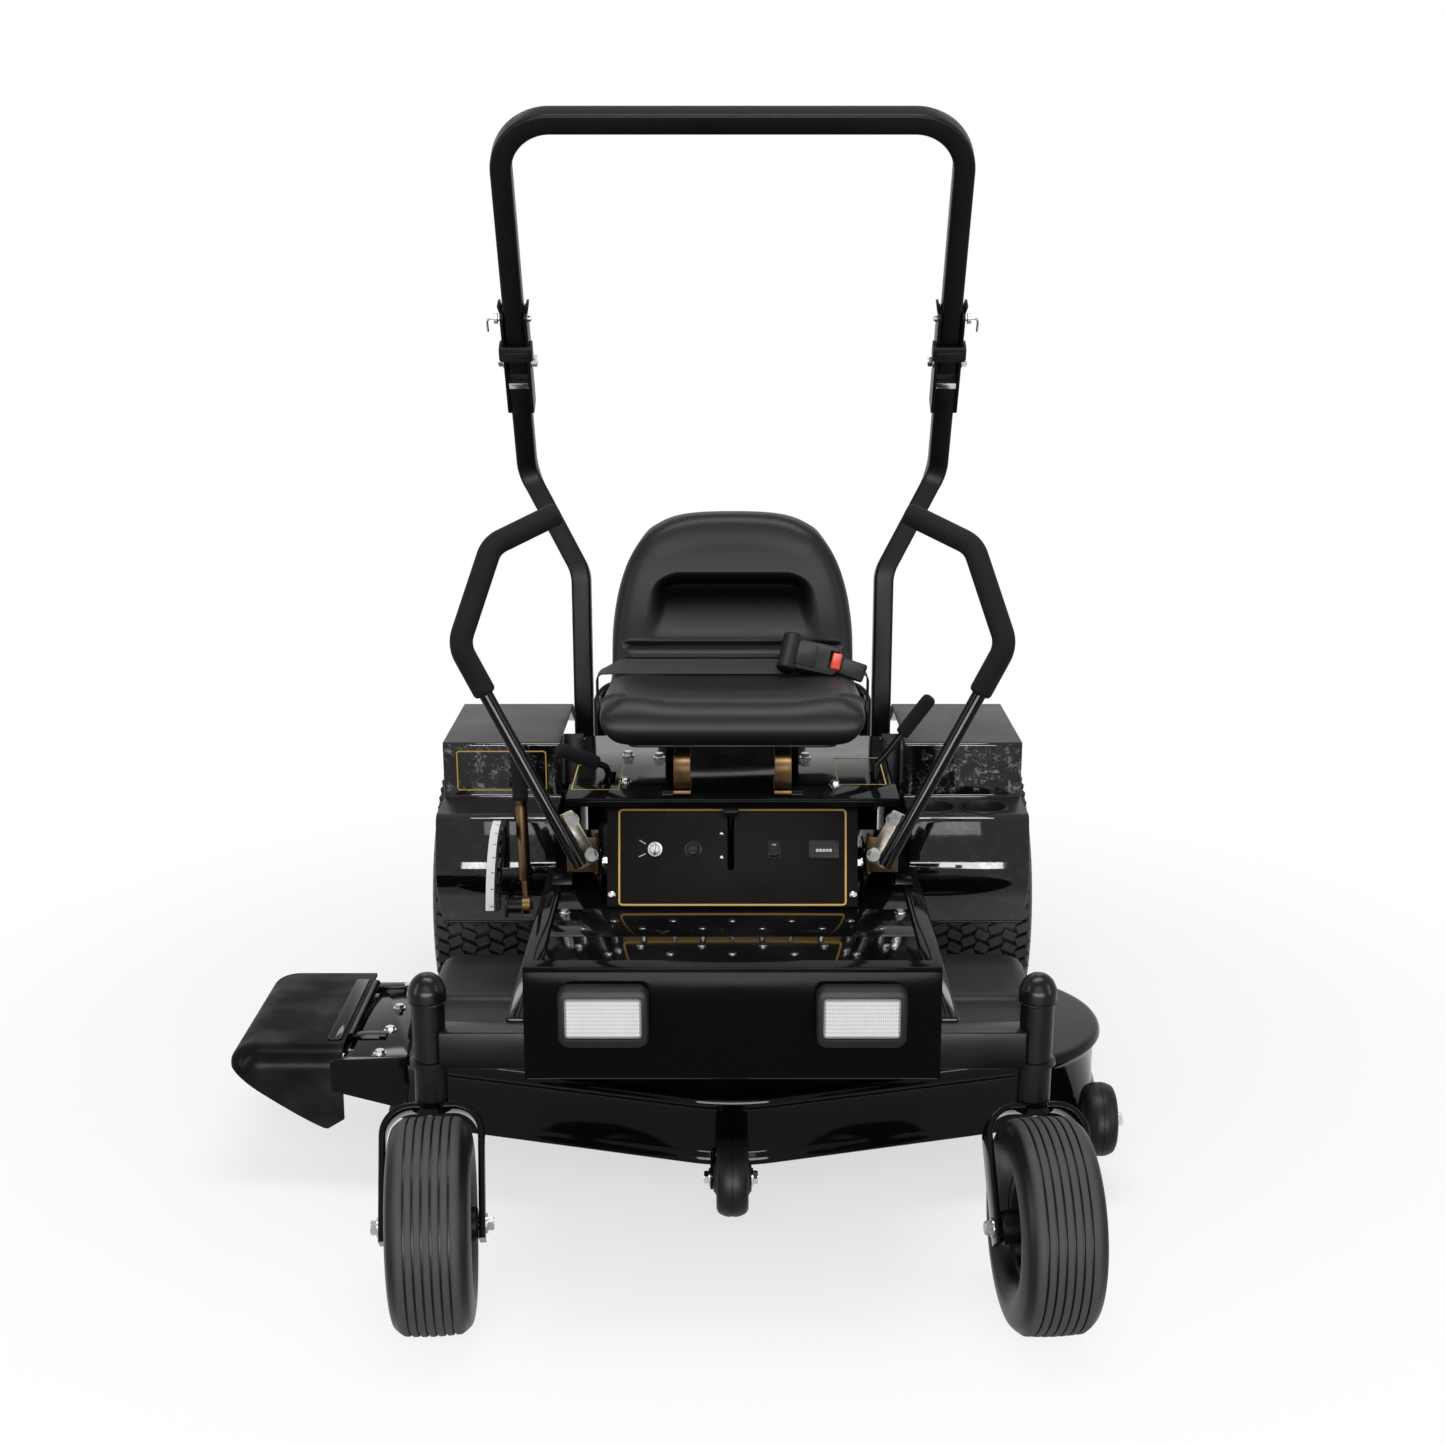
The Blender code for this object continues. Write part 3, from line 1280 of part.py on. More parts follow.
def lever_yoke(side):
    """The plate that turns on the frame's bracket to drive, with an ear on which the lever swings."""
    inner = DRIVE_PIVOT_X - BRACKET_OFFSET + GAP
    ear_back = SWING_PIVOT_Y + YOKE_PLATE
    low = DRIVE_PIVOT_Z - 0.024
    high = SWING_PIVOT_Z + 0.034
    web = [
        (SWING_PIVOT_Y, low + 0.026),
        (DRIVE_PIVOT_Y - 0.010, low),
        (DRIVE_PIVOT_Y + 0.020, low + 0.006),
        (DRIVE_PIVOT_Y + 0.022, DRIVE_PIVOT_Z + 0.016),
        (SWING_PIVOT_Y + 0.026, high),
        (SWING_PIVOT_Y, high),
    ]
    first, last = sorted((side * inner, side * (inner + YOKE_PLATE)))
    yoke = prism(web, "X", first, last)
    ear = mirrored_box(
        side,
        (inner + 0.002, SWING_PIVOT_Y, low + 0.028),
        (SWING_PIVOT_X + 0.024, ear_back, high - 0.001),
    )
    union(yoke, ear)
    swing_y = (SWING_PIVOT_Y - 0.01, ear_back + 0.01)
    x = side * SWING_PIVOT_X
    bore = PIVOT_PIN_RADIUS + PIN_CLEARANCE
    cut(yoke, rod((x, swing_y[0], SWING_PIVOT_Z), (x, swing_y[1], SWING_PIVOT_Z), bore, PIN_STEPS))
    bracket = bracket_inner()
    pivot = (DRIVE_PIVOT_Y, DRIVE_PIVOT_Z)
    pin_start = (side * (inner + YOKE_PLATE / 2), *pivot)
    pin = rod(pin_start, (side * (bracket - 0.004), *pivot), PIVOT_PIN_RADIUS, PIN_STEPS)
    nut = hexagon((side * (bracket - GAP), *pivot), (side * (bracket - 0.006), *pivot), NUT_RADIUS)
    union(yoke, pin, nut)
    piece(yoke, side_name("lever_yoke", side), zinc(), (side * DRIVE_PIVOT_X, *pivot))


def lever_foot(side):
    y = SWING_PIVOT_Y - GAP - YOKE_PLATE - LEVER_RADIUS + 0.003
    return Vector((side * SWING_PIVOT_X, y, SWING_PIVOT_Z - 0.014))


def control_lever(side):
    foot = lever_foot(side)
    corners = [on_side(side, point) for point in LEVER_ELBOWS]
    end = on_side(side, LEVER_END)
    last = (end - corners[-1]).normalized()
    route = bent([foot, *corners, end - last * (GRIP_CAP + 0.001)], LEVER_BEND)
    lever = tube(route, LEVER_RADIUS)
    x = side * SWING_PIVOT_X
    tab_back = SWING_PIVOT_Y - GAP
    through = SWING_PIVOT_Y + YOKE_PLATE
    tab_front = (x, tab_back - YOKE_PLATE, SWING_PIVOT_Z)
    tab = rod(tab_front, (x, tab_back, SWING_PIVOT_Z), LEVER_TAB_RADIUS, PIN_STEPS)
    pin_end = (x, through + NUT_HEIGHT - 0.001, SWING_PIVOT_Z)
    pin = rod((x, tab_back - YOKE_PLATE / 2, SWING_PIVOT_Z), pin_end, PIVOT_PIN_RADIUS, PIN_STEPS)
    nut = hexagon((x, through + GAP, SWING_PIVOT_Z), (x, through + NUT_HEIGHT, SWING_PIVOT_Z), NUT_RADIUS)
    union(lever, tab, pin, nut)
    piece(lever, side_name("control_lever", side), matte_black(), (x, SWING_PIVOT_Y, SWING_PIVOT_Z))


def lever_grip(side):
    """A foam sleeve over the lever's upper part, closed at its end."""
    foot = lever_foot(side)
    corners = [on_side(side, point) for point in LEVER_ELBOWS]
    end = on_side(side, LEVER_END)
    start = foot.lerp(corners[0], GRIP_START)
    last = (end - corners[-1]).normalized()
    first = (corners[0] - start).normalized()
    grip = tube(bent([start, *corners, end], LEVER_BEND), GRIP_RADIUS)
    bore_route = bent([start - first * 0.01, *corners, end - last * GRIP_CAP], LEVER_BEND)
    cut(grip, tube(bore_route, LEVER_RADIUS + GRIP_BORE_CLEARANCE))
    piece(grip, side_name("lever_grip", side), rubber(), (side * SWING_PIVOT_X, SWING_PIVOT_Y, SWING_PIVOT_Z))


def hand_lever(name, pivot, knee, tip):
    """A short rod lever on a pin under the seat box's top, up through its slot to a plastic grip.

    The knee and the tip are given from the pivot.
    """
    knee = pivot + Vector(knee)
    tip = pivot + Vector(tip)
    shank = pivot + Vector((0.001, 0, 0))
    foot = shank - Vector((0, 0, 0.014))
    bend = Vector((shank.x, shank.y, knee.z - 0.020))
    lever = tube(bent([foot, bend, knee, tip], 0.015, 3), HAND_ROD_RADIUS)
    along = (tip - knee).normalized()
    grip_end = tip + along * HAND_GRIP_END
    grip = rod(tip - along * HAND_GRIP_LENGTH, grip_end, HAND_GRIP_RADIUS, PIN_STEPS, 0.004)
    pin_end = pivot - Vector((LEVER_SLOT_HALF + 0.003, 0, 0))
    union(lever, grip, rod(shank, pin_end, HAND_ROD_RADIUS, PIN_STEPS))
    piece(lever, name, matte_black(), pivot)


def parking_brake_lever():
    hand_lever("parking_brake_lever", Vector((BRAKE_X, BRAKE_Y, LEVER_PIVOT_Z)), BRAKE_KNEE, BRAKE_TIP)


def blade_engage_lever():
    hand_lever("blade_engage_lever", Vector((ENGAGE_X, ENGAGE_Y, LEVER_PIVOT_Z)), ENGAGE_KNEE, ENGAGE_TIP)


def height_lever():
    top = Vector((-0.405, -0.360, 0.685))
    pivot = Vector((HEIGHT_LEVER_X, HEIGHT_PIVOT_Y, HEIGHT_PIVOT_Z))
    along = (top - pivot).normalized()
    lever = rod(pivot, top - along * 0.01, 0.0075, PIN_STEPS)
    union(lever, rod(pivot + along * 0.050, top - along * 0.100, 0.0115, PIN_STEPS))
    union(lever, rod(top - along * 0.105, top, 0.0145, PIN_STEPS, 0.004))
    across = Vector((0.008, 0, 0))
    union(lever, rod(pivot - across, pivot + across, 0.020, ROD_STEPS))
    cut(lever, rod(pivot - across * 2, pivot + across * 2, PIVOT_PIN_RADIUS + PIN_CLEARANCE, PIN_STEPS))
    piece(lever, "height_lever", zinc(), pivot)


# Mowing deck


def arc(centre, radius, start, end, steps):
    points = []
    for i in range(steps + 1):
        angle = start + (end - start) * i / steps
        points.append((centre[0] + radius * math.cos(angle), centre[1] + radius * math.sin(angle)))
    return points


def deck_outline(radius):
    """Three equal circles round the blades, joined by their outer tangents."""
    tangent = math.atan2(-BLADE_X, BLADE_SIDE_Y - BLADE_CENTRE_Y)
    left = arc(BLADES["left"], radius, tangent, math.pi / 2, 8)
    right = arc(BLADES["right"], radius, math.pi / 2, math.pi - tangent, 8)
    front = arc(BLADES["center"], radius, -math.pi - tangent, tangent, 3)
    return left + right + front


def scalp_arm(x, y, rear_y):
    """A flat arm forward from the deck, with the axle of an anti-scalp wheel and its end nut."""
    inner = x - SCALP_WIDTH / 2 - GAP
    low = (inner - SCALP_ARM, y - SCALP_ARM_HALF, SCALP_Z - SCALP_ARM_HALF)
    arm = box(low, (inner, rear_y, SCALP_Z + SCALP_ARM_HALF))
    end = x + SCALP_WIDTH / 2 + GAP
    outer = inner - SCALP_ARM
    axle = rod((outer - 0.006, y, SCALP_Z), (end + 0.004, y, SCALP_Z), SCALP_AXLE_RADIUS, PIN_STEPS)
    head = hexagon((outer - NUT_HEIGHT, y, SCALP_Z), (outer + 0.003, y, SCALP_Z), NUT_RADIUS)
    nut = hexagon((end, y, SCALP_Z), (end + NUT_HEIGHT, y, SCALP_Z), NUT_RADIUS)
    return union(arm, axle, head, nut)


def deck_shell():
    shell = prism(deck_outline(DECK_RADIUS), "Z", DECK_BOTTOM_Z, DECK_TOP_Z)
    lip_top = DECK_TOP_Z - DECK_LIP_DROP
    union(shell, prism(deck_outline(DECK_RADIUS + DECK_LIP), "Z", lip_top - DECK_LIP_HEIGHT, lip_top))
    hollow = deck_outline(DECK_RADIUS - DECK_WALL)
    cut(shell, prism(hollow, "Z", DECK_BOTTOM_Z - 0.01, DECK_TOP_Z - DECK_WALL))
    for x, y in BLADES.values():
        boss_low = (x, y, DECK_TOP_Z - DECK_WALL / 2)
        union(shell, rod(boss_low, (x, y, DECK_TOP_Z + SPINDLE_BOSS_RISE), SPINDLE_BOSS_RADIUS, ROD_STEPS))
    far = -BLADE_X - DECK_RADIUS - 0.05
    mouth = box(
        (far, CHUTE_FRONT_Y + 0.030, DECK_BOTTOM_Z - 0.01),
        (-BLADE_X - 0.130, CHUTE_REAR_Y - 0.060, DECK_TOP_Z - 0.020),
    )
    cut(shell, mouth)
    for y in CHUTE_KNUCKLE_Y:
        outward = -1 if y == CHUTE_KNUCKLE_Y[0] else 1
        first, last = sorted((y + outward * GAP, y + outward * LUG_LENGTH))
        start = (CHUTE_HINGE_X, first, CHUTE_HINGE_Z)
        lug = rod(start, (CHUTE_HINGE_X, last, CHUTE_HINGE_Z), CHUTE_KNUCKLE_RADIUS, PIN_STEPS)
        foot = box(
            (CHUTE_HINGE_X, first, DECK_TOP_Z - LUG_SINK),
            (CHUTE_HINGE_X + LUG_REACH, last, CHUTE_HINGE_Z + 0.002),
        )
        union(lug, foot)
        union(shell, lug)
    for side in (1, -1):
        for y in HANGER_Y:
            outer = RAIL_INNER_X - GAP
            strap = mirrored_box(
                side,
                (outer - HANGER_PLATE, y - HANGER_HALF, DECK_TOP_Z - HANGER_SINK),
                (outer, y + HANGER_HALF, RAIL_TOP_Z - HANGER_TOP_DROP),
            )
            union(shell, strap)
    union(shell, scalp_arm(0, FRONT_SCALP_Y, BLADE_CENTRE_Y - DECK_RADIUS + 0.003))
    union(shell, scalp_arm(*SIDE_SCALP, SIDE_SCALP[1] + SIDE_SCALP_ARM))
    for x, y in BLADES.values():
        hole = SPINDLE_RADIUS + PIN_CLEARANCE
        cut(shell, rod((x, y, DECK_BOTTOM_Z), (x, y, DECK_TOP_Z + 2 * SPINDLE_BOSS_RISE), hole, ROD_STEPS))
    piece(shell, "deck_shell", gloss_black(), (0, BLADE_SIDE_Y, DECK_TOP_Z))


def tapered(outline, low, high, share):
    """A prism whose top is drawn in towards the middle of its outline."""
    block = prism(outline, "Z", low, high)
    middle_x = sum(x for x, _ in outline) / len(outline)
    middle_y = sum(y for _, y in outline) / len(outline)
    for vertex in block.data.vertices:
        if vertex.co.z > (low + high) / 2:
            vertex.co.x = middle_x + (vertex.co.x - middle_x) * share
            vertex.co.y = middle_y + (vertex.co.y - middle_y) * share
    return block


def belt_cover(side):
    low = DECK_TOP_Z + GAP
    x = side * (BLADE_X + COVER_OFFSET)
    y = BLADE_SIDE_Y
    corners = [
        (x - COVER_HALF_X, y - COVER_HALF_Y),
        (x + COVER_HALF_X, y - COVER_HALF_Y),
        (x + COVER_HALF_X, y + COVER_HALF_Y),
        (x - COVER_HALF_X, y + COVER_HALF_Y),
    ]
    cover = tapered(rounded(corners, COVER_CORNER, 3), low, low + COVER_HEIGHT, COVER_TAPER)
    pocket_top = (side * BLADE_X, y, low + COVER_HEIGHT - COVER_ROOF)
    pocket = PULLEY_RADIUS + COVER_ROOM
    cut(cover, rod((side * BLADE_X, y, low - 0.01), pocket_top, pocket, ROD_STEPS))
    piece(cover, side_name("belt_cover", side), matte_black())


def discharge_chute():
    """A moulded deflector: a flat top that rolls over at the front into a flap with a slanting edge."""
    hinge = CHUTE_HINGE_X - CHUTE_KNUCKLE_RADIUS - 0.0015
    top = CHUTE_HINGE_Z
    wall = 0.006
    route = [(CHUTE_REAR_Y, top, 0), (CHUTE_FRONT_Y, top, 0), (CHUTE_FRONT_Y - 0.010, CHUTE_TIP_Z, 0)]
    path = [(point.x, point.y) for point in bent(route, 0.040, 4)]
    sheet = prism(strip(path, wall), "X", CHUTE_END_X, hinge)
    below = CHUTE_TIP_Z - 0.05
    waste = [
        (hinge + 0.05, below), (hinge + 0.05, CHUTE_TIP_Z + 0.030), (hinge, CHUTE_TIP_Z + 0.018),
        (hinge - 0.030, CHUTE_TIP_Z), (CHUTE_END_X - 0.01, top - 0.040), (CHUTE_END_X - 0.01, below),
    ]
    cut(sheet, prism(waste, "Y", CHUTE_FRONT_Y - 0.05, CHUTE_REAR_Y))
    start = (CHUTE_HINGE_X, CHUTE_KNUCKLE_Y[0], CHUTE_HINGE_Z)
    end = (CHUTE_HINGE_X, CHUTE_KNUCKLE_Y[1], CHUTE_HINGE_Z)
    union(sheet, rod(start, end, CHUTE_KNUCKLE_RADIUS, PIN_STEPS))
    union(sheet, box((hinge - 0.012, start[1], top - wall + 0.001), (CHUTE_HINGE_X, end[1], top - 0.001)))
    piece(sheet, "discharge_chute", rubber(), (CHUTE_HINGE_X, 0, CHUTE_HINGE_Z))


def blade(name, x, y, turn):
    """A mowing blade with lifted trailing ends, on its spindle with the belt pulley."""
    half = PULLEY_HEIGHT / 2
    spindle = turned(
        [
            (0, PULLEY_Z + half + 0.006),
            (SPINDLE_RADIUS, PULLEY_Z + half + 0.006),
            (SPINDLE_RADIUS, PULLEY_Z + half),
            (PULLEY_RADIUS, PULLEY_Z + half),
            (PULLEY_RADIUS, PULLEY_Z + half - 0.003),
            (PULLEY_RADIUS - 0.010, PULLEY_Z),
            (PULLEY_RADIUS, PULLEY_Z - half + 0.003),
            (PULLEY_RADIUS, PULLEY_Z - half),
            (SPINDLE_RADIUS, PULLEY_Z - half),
            (SPINDLE_RADIUS, BLADE_Z + 0.018),
            (0.030, BLADE_Z + 0.014),
            (0.030, BLADE_Z - 0.008),
            (0, BLADE_Z - 0.008),
        ],
        (x, y, 0),
        steps=PIN_STEPS,
    )
    reach = BLADE_RADIUS - 0.002
    low = (-reach, -BLADE_HALF_WIDTH, BLADE_Z - BLADE_THICK / 2)
    bar = box(low, (reach, BLADE_HALF_WIDTH, BLADE_Z + BLADE_THICK / 2))
    wing_top = BLADE_Z + BLADE_LIFT
    for end in (1, -1):
        wing = [
            (BLADE_HALF_WIDTH - 0.018, BLADE_Z + 0.001),
            (BLADE_HALF_WIDTH - 0.002, BLADE_Z + 0.001),
            (BLADE_HALF_WIDTH, wing_top),
            (BLADE_HALF_WIDTH - 0.005, wing_top),
        ]
        first, last = sorted((end * BLADE_WING_START, end * (BLADE_RADIUS - 0.014)))
        union(bar, prism([(-end * a, b) for a, b in wing], "X", first, last))
    bar.data.transform(Matrix.Translation((x, y, 0)) @ Matrix.Rotation(turn, 4, "Z"))
    union(spindle, bar)
    piece(spindle, "blade_" + name, steel(), (x, y, 0))


def anti_scalp_wheel(name, x, y):
    half = SCALP_WIDTH / 2
    bore = SCALP_AXLE_RADIUS + PIN_CLEARANCE
    profile = [
        (bore, half), (0.024, half), (0.034, half - 0.006), (SCALP_RADIUS - 0.014, half - 0.006),
        (SCALP_RADIUS - 0.003, half - 0.012), (SCALP_RADIUS, half - 0.020),
    ]
    profile += [(radius, -height) for radius, height in reversed(profile)]
    wheel = turned(profile, (x, y, SCALP_Z), (1, 0, 0), STEPS, closed=True)
    piece(wheel, "anti_scalp_wheel_" + name, matte_black(), (x, y, SCALP_Z))


# Seat and belt


def seat_half_width(z):
    """The back narrows from the cushion's width to its rounded top."""
    share = max(0.0, (z - 0.80) / (SEAT_TOP_Z - 0.80))
    return SEAT_HALF_WIDTH - 0.105 * share**2.8


def seat_profile():
    """The seat's side outline, from the cushion's front edge over the back and under again."""
    back = SEAT_BACK_Y
    crown = SEAT_BOTTOM_Z
    return [
        (SEAT_FRONT_Y + 0.012, crown + 0.012, "rim"),
        (SEAT_FRONT_Y, crown + 0.045, "rim"),
        (SEAT_FRONT_Y + 0.018, crown + 0.082, "top"),
        (SEAT_FRONT_Y + 0.075, crown + 0.091, "top"),
        (SEAT_FRONT_Y + 0.200, crown + 0.080, "top"),
        (CUSHION_REAR_Y - 0.080, crown + 0.070, "top"),
        (CUSHION_REAR_Y - 0.012, crown + 0.068, "crease"),
        (CUSHION_REAR_Y - 0.004, crown + 0.110, "back"),
        (CUSHION_REAR_Y + 0.012, crown + 0.160, "pocket"),
        (CUSHION_REAR_Y + 0.026, crown + 0.220, "pocket"),
        (CUSHION_REAR_Y + 0.034, crown + 0.272, "back"),
        (CUSHION_REAR_Y + 0.046, crown + 0.335, "back"),
        (CUSHION_REAR_Y + 0.068, SEAT_TOP_Z, "rim"),
        (back - 0.012, SEAT_TOP_Z - 0.010, "rim"),
        (back, crown + 0.250, "rear"),
        (back - 0.004, crown + 0.120, "rear"),
        (back - 0.030, crown + 0.020, "rear"),
        (back - 0.070, crown, "under"),
        (SEAT_FRONT_Y + 0.300, crown, "under"),
        (SEAT_FRONT_Y + 0.060, crown, "under"),
    ]


def seat():
    """A coarse cage of side outlines across the seat, smoothed, with raised bolsters and a lumbar hollow.

    Each side is closed by panels between the outline's upper and lower points, so that it stays open in
    front of the back.
    """
    columns = (-1.0, -0.93, -0.74, -0.50, -0.2, 0.2, 0.50, 0.74, 0.93, 1.0)
    bolster = {0.74: 0.006, 0.93: 0.002}
    hollow = {0.2: 0.014, 0.50: 0.011}
    bm = bmesh.new()
    rings = []
    for column in columns:
        place = abs(column)
        ring = []
        for y, z, zone in seat_profile():
            x = column * seat_half_width(z)
            if zone in ("top", "back"):
                z += bolster.get(place, 0) if zone == "top" else 0
                y -= bolster.get(place, 0) if zone == "back" else 0
            if zone == "pocket":
                y += hollow.get(place, -bolster.get(place, 0))
            if place == 1.0:
                z += {"top": -0.022, "crease": -0.010, "rim": 0, "under": 0.016}.get(zone, 0)
                y += {"back": 0.024, "pocket": 0.024, "rear": -0.020, "rim": 0.010}.get(zone, 0)
            ring.append(bm.verts.new((x, y, z)))
        rings.append(ring)
    count = len(rings[0])
    for first, second in zip(rings, rings[1:]):
        for i in range(count):
            j = (i + 1) % count
            bm.faces.new([first[i], first[j], second[j], second[i]])
    for ring in (rings[0], rings[-1]):
        for panel in SEAT_SIDE_PANELS:
            bm.faces.new([ring[i] for i in panel])
    cushion = object_from(bm)
    smooth = cushion.modifiers.new("smooth", "SUBSURF")
    smooth.levels = 1
    smooth.render_levels = 1
    piece(cushion, "seat", vinyl(), (0, SEAT_HINGE_Y, SEAT_HINGE_Z), 60)


def seat_frame():
    """The seat's steel pan on two C-shaped leaf springs, hinged at the front to the seat box."""
    pan_top = SEAT_BOTTOM_Z - GAP
    pan_low = pan_top - PAN_THICK
    leaf = 0.005
    box_top = BOX_TOP_Z + GAP
    pan_front = (-PAN_HALF_WIDTH, SEAT_FRONT_Y + 0.070, pan_low)
    frame = box(pan_front, (PAN_HALF_WIDTH, SEAT_BACK_Y - 0.100, pan_top))
    ear_x = STRAP_DROP_X - GAP
    bar = box((-ear_x, STRAP_Y[0] - 0.004, pan_low - 0.004), (ear_x, STRAP_Y[1] + 0.004, pan_low + 0.002))
    union(frame, bar)
    front = SEAT_HINGE_Y - 0.001
    shape = [
        (front + 0.150, pan_low + 0.001, 0), (front, pan_low + 0.001, 0),
        (front, box_top, 0), (front + 0.120, box_top, 0),
    ]
    path = [(point.x, point.y) for point in bent(shape, 0.028, 5)]
    for side in (1, -1):
        x = side * SPRING_X
        ear = mirrored_box(
            side,
            (ear_x - 0.005, STRAP_Y[0] - 0.004, pan_low - 0.004),
            (ear_x, STRAP_Y[1] + 0.004, SEAT_BOTTOM_Z + 0.020),
        )
        spring = prism(strip(path, leaf), "X", x - SPRING_HALF, x + SPRING_HALF)
        hinge_end = (x + SPRING_HALF, SEAT_HINGE_Y, SEAT_HINGE_Z)
        barrel = rod((x - SPRING_HALF, SEAT_HINGE_Y, SEAT_HINGE_Z), hinge_end, SEAT_HINGE_RADIUS, 12)
        web_low = (x - SPRING_HALF, SEAT_HINGE_Y, box_top + 0.0015)
        web = box(web_low, (x + SPRING_HALF, front + 0.050, box_top + 0.0045))
        stop = (side * BUMPER_X, SEAT_BACK_Y - BUMPER_AHEAD)
        bumper = rod((*stop, box_top), (*stop, pan_low + 0.002), BUMPER_RADIUS, PIN_STEPS)
        union(frame, ear, spring, barrel, web, bumper)
    piece(frame, "seat_frame", zinc(), (0, SEAT_HINGE_Y, SEAT_HINGE_Z))


def lap_belt():
    """A webbing strap across the cushion, with the tongue that plugs into the buckle."""
    low = SEAT_BOTTOM_Z - 0.006
    drop = STRAP_DROP_X
    path = [(-drop, low), (-drop, STRAP_Z - 0.030), (-drop + 0.030, STRAP_Z), (drop - 0.030, STRAP_Z),
            (drop, STRAP_Z - 0.030), (drop, low)]
    strap = prism(strip(path, STRAP_THICK), "Y", *STRAP_Y)
    top = STRAP_Z + STRAP_THICK
    tongue_low = (BUCKLE_X[1] + 0.012, STRAP_Y[0] + 0.004, top - 0.001)
    union(strap, box(tongue_low, (drop - 0.034, STRAP_Y[1] - 0.004, top + 0.014), 0.003))
    piece(strap, "lap_belt", rubber(), (0, SEAT_HINGE_Y, SEAT_HINGE_Z))


def belt_buckle():
    low = STRAP_Z + STRAP_THICK + GAP
    corner = (BUCKLE_X[1], STRAP_Y[1] + BUCKLE_MARGIN, low + BUCKLE_TOP)
    body = box((BUCKLE_X[0], STRAP_Y[0] - BUCKLE_MARGIN, low), corner, 0.004)
    middle = (STRAP_Y[0] + STRAP_Y[1]) / 2
    clear = 0.0006
    pocket = box(
        (BUCKLE_X[1] - 0.012 - BUTTON_TRAVEL, middle - BUTTON_HALF_Y - clear, low + 0.006 - clear),
        (BUCKLE_X[1] + 0.01, middle + BUTTON_HALF_Y + clear, low + 0.021 + clear),
    )
    cut(body, pocket)
    piece(body, "belt_buckle", matte_black(), (0, SEAT_HINGE_Y, SEAT_HINGE_Z))
    button = box(
        (BUCKLE_X[1] - 0.010, middle - BUTTON_HALF_Y, low + 0.006),
        (BUCKLE_X[1] + 0.006, middle + BUTTON_HALF_Y, low + 0.021),
        0.001,
    )
    piece(button, "buckle_button", red_plastic(), (BUCKLE_X[1], middle, low + 0.0135))


# Power train


def engine_block():
    low = RAIL_TOP_Z - 0.002 + GAP
    block = box(
        (-CRANKCASE_HALF, ENGINE_Y - CRANKCASE_HALF, low),
        (CRANKCASE_HALF, ENGINE_Y + CRANKCASE_HALF, CRANKCASE_TOP_Z),
        0.012,
    )
    for side in (1, -1):
        swing = Matrix.Rotation(math.pi / 2 - side * CYLINDER_ANGLE, 4, "Z")
        turn = Matrix.Translation((0, ENGINE_Y, 0)) @ swing
        cylinder = box((0.050, -0.042, low + 0.060), (0.100 + CYLINDER_LENGTH, 0.042, low + 0.140))
        for fin in range(CYLINDER_FINS):
            start = 0.122 + fin * 0.018
            union(cylinder, box((start, -0.056, low + 0.046), (start + 0.007, 0.056, low + 0.154)))
        cylinder.data.transform(turn)
        union(block, cylinder)
    piece(block, "engine_block", aluminium())


def blower_housing():
    low = CRANKCASE_TOP_Z + GAP
    housing = turned(
        [
            (0, BLOWER_TOP_Z),
            (0.062, BLOWER_TOP_Z),
            (0.070, BLOWER_TOP_Z - 0.008),
            (0.112, BLOWER_TOP_Z - 0.008),
            (0.118, BLOWER_TOP_Z - 0.020),
            (0.140, BLOWER_TOP_Z - 0.024),
            (BLOWER_RADIUS, BLOWER_TOP_Z - 0.052),
            (BLOWER_RADIUS, low),
            (0, low),
        ],
        (0, ENGINE_Y, 0),
        steps=STEPS,
    )
    piece(housing, "blower_housing", matte_black())


def muffler():
    z = RAIL_TOP_Z - 0.002 + GAP + MUFFLER_RADIUS
    ends = [(x, MUFFLER_Y, z) for x in (-MUFFLER_HALF_LENGTH, MUFFLER_HALF_LENGTH)]
    can = rod(*ends, MUFFLER_RADIUS, STEPS, 0.008)
    route = [
        (-TAIL_X, MUFFLER_Y, z),
        (-TAIL_X, MUFFLER_Y + 0.045, z + 0.030),
        (-TAIL_X, MUFFLER_Y + 0.056, z + 0.070),
    ]
    tail = tube(bent(route, 0.02, 3), TAIL_RADIUS)
    piece(union(can, tail), "muffler", steel())


def fuel_tank():
    low = BEAM_TOP_Z + GAP
    tank = box((-0.250, BOX_FRONT_Y + 0.030, low), (0.225, BOX_REAR_Y - 0.030, LEVER_PIVOT_Z - 0.030), 0.022)
    piece(tank, "fuel_tank", matte_black())


def transaxle(side):
    flange_x = RAIL_INNER_X - GAP
    z = REAR_TYRE_RADIUS
    body = mirrored_box(side, (0.130, -0.085, z - 0.075), (flange_x - 0.004, 0.085, z + 0.090), 0.014)
    flange_low = (flange_x - 0.010, -0.090, z - 0.060)
    union(body, mirrored_box(side, flange_low, (flange_x, 0.090, RAIL_TOP_Z - 0.012)))
    hub_face = REAR_WHEEL_X - 0.012 - GAP
    union(body, rod((side * (flange_x - 0.012), 0, z), (side * hub_face, 0, z), AXLE_RADIUS, ROD_STEPS))
    union(body, rod((side * (hub_face - 0.012), 0, z), (side * hub_face, 0, z), REAR_HUB_RADIUS, ROD_STEPS))
    x = side * 0.215
    union(body, rod((x, 0, z + 0.080), (x, 0, z + 0.112), 0.016, PIN_STEPS))
    union(body, rod((x, 0, z + 0.104), (x, 0, z + 0.120), 0.062, ROD_STEPS))
    piece(body, side_name("transaxle", side), aluminium())


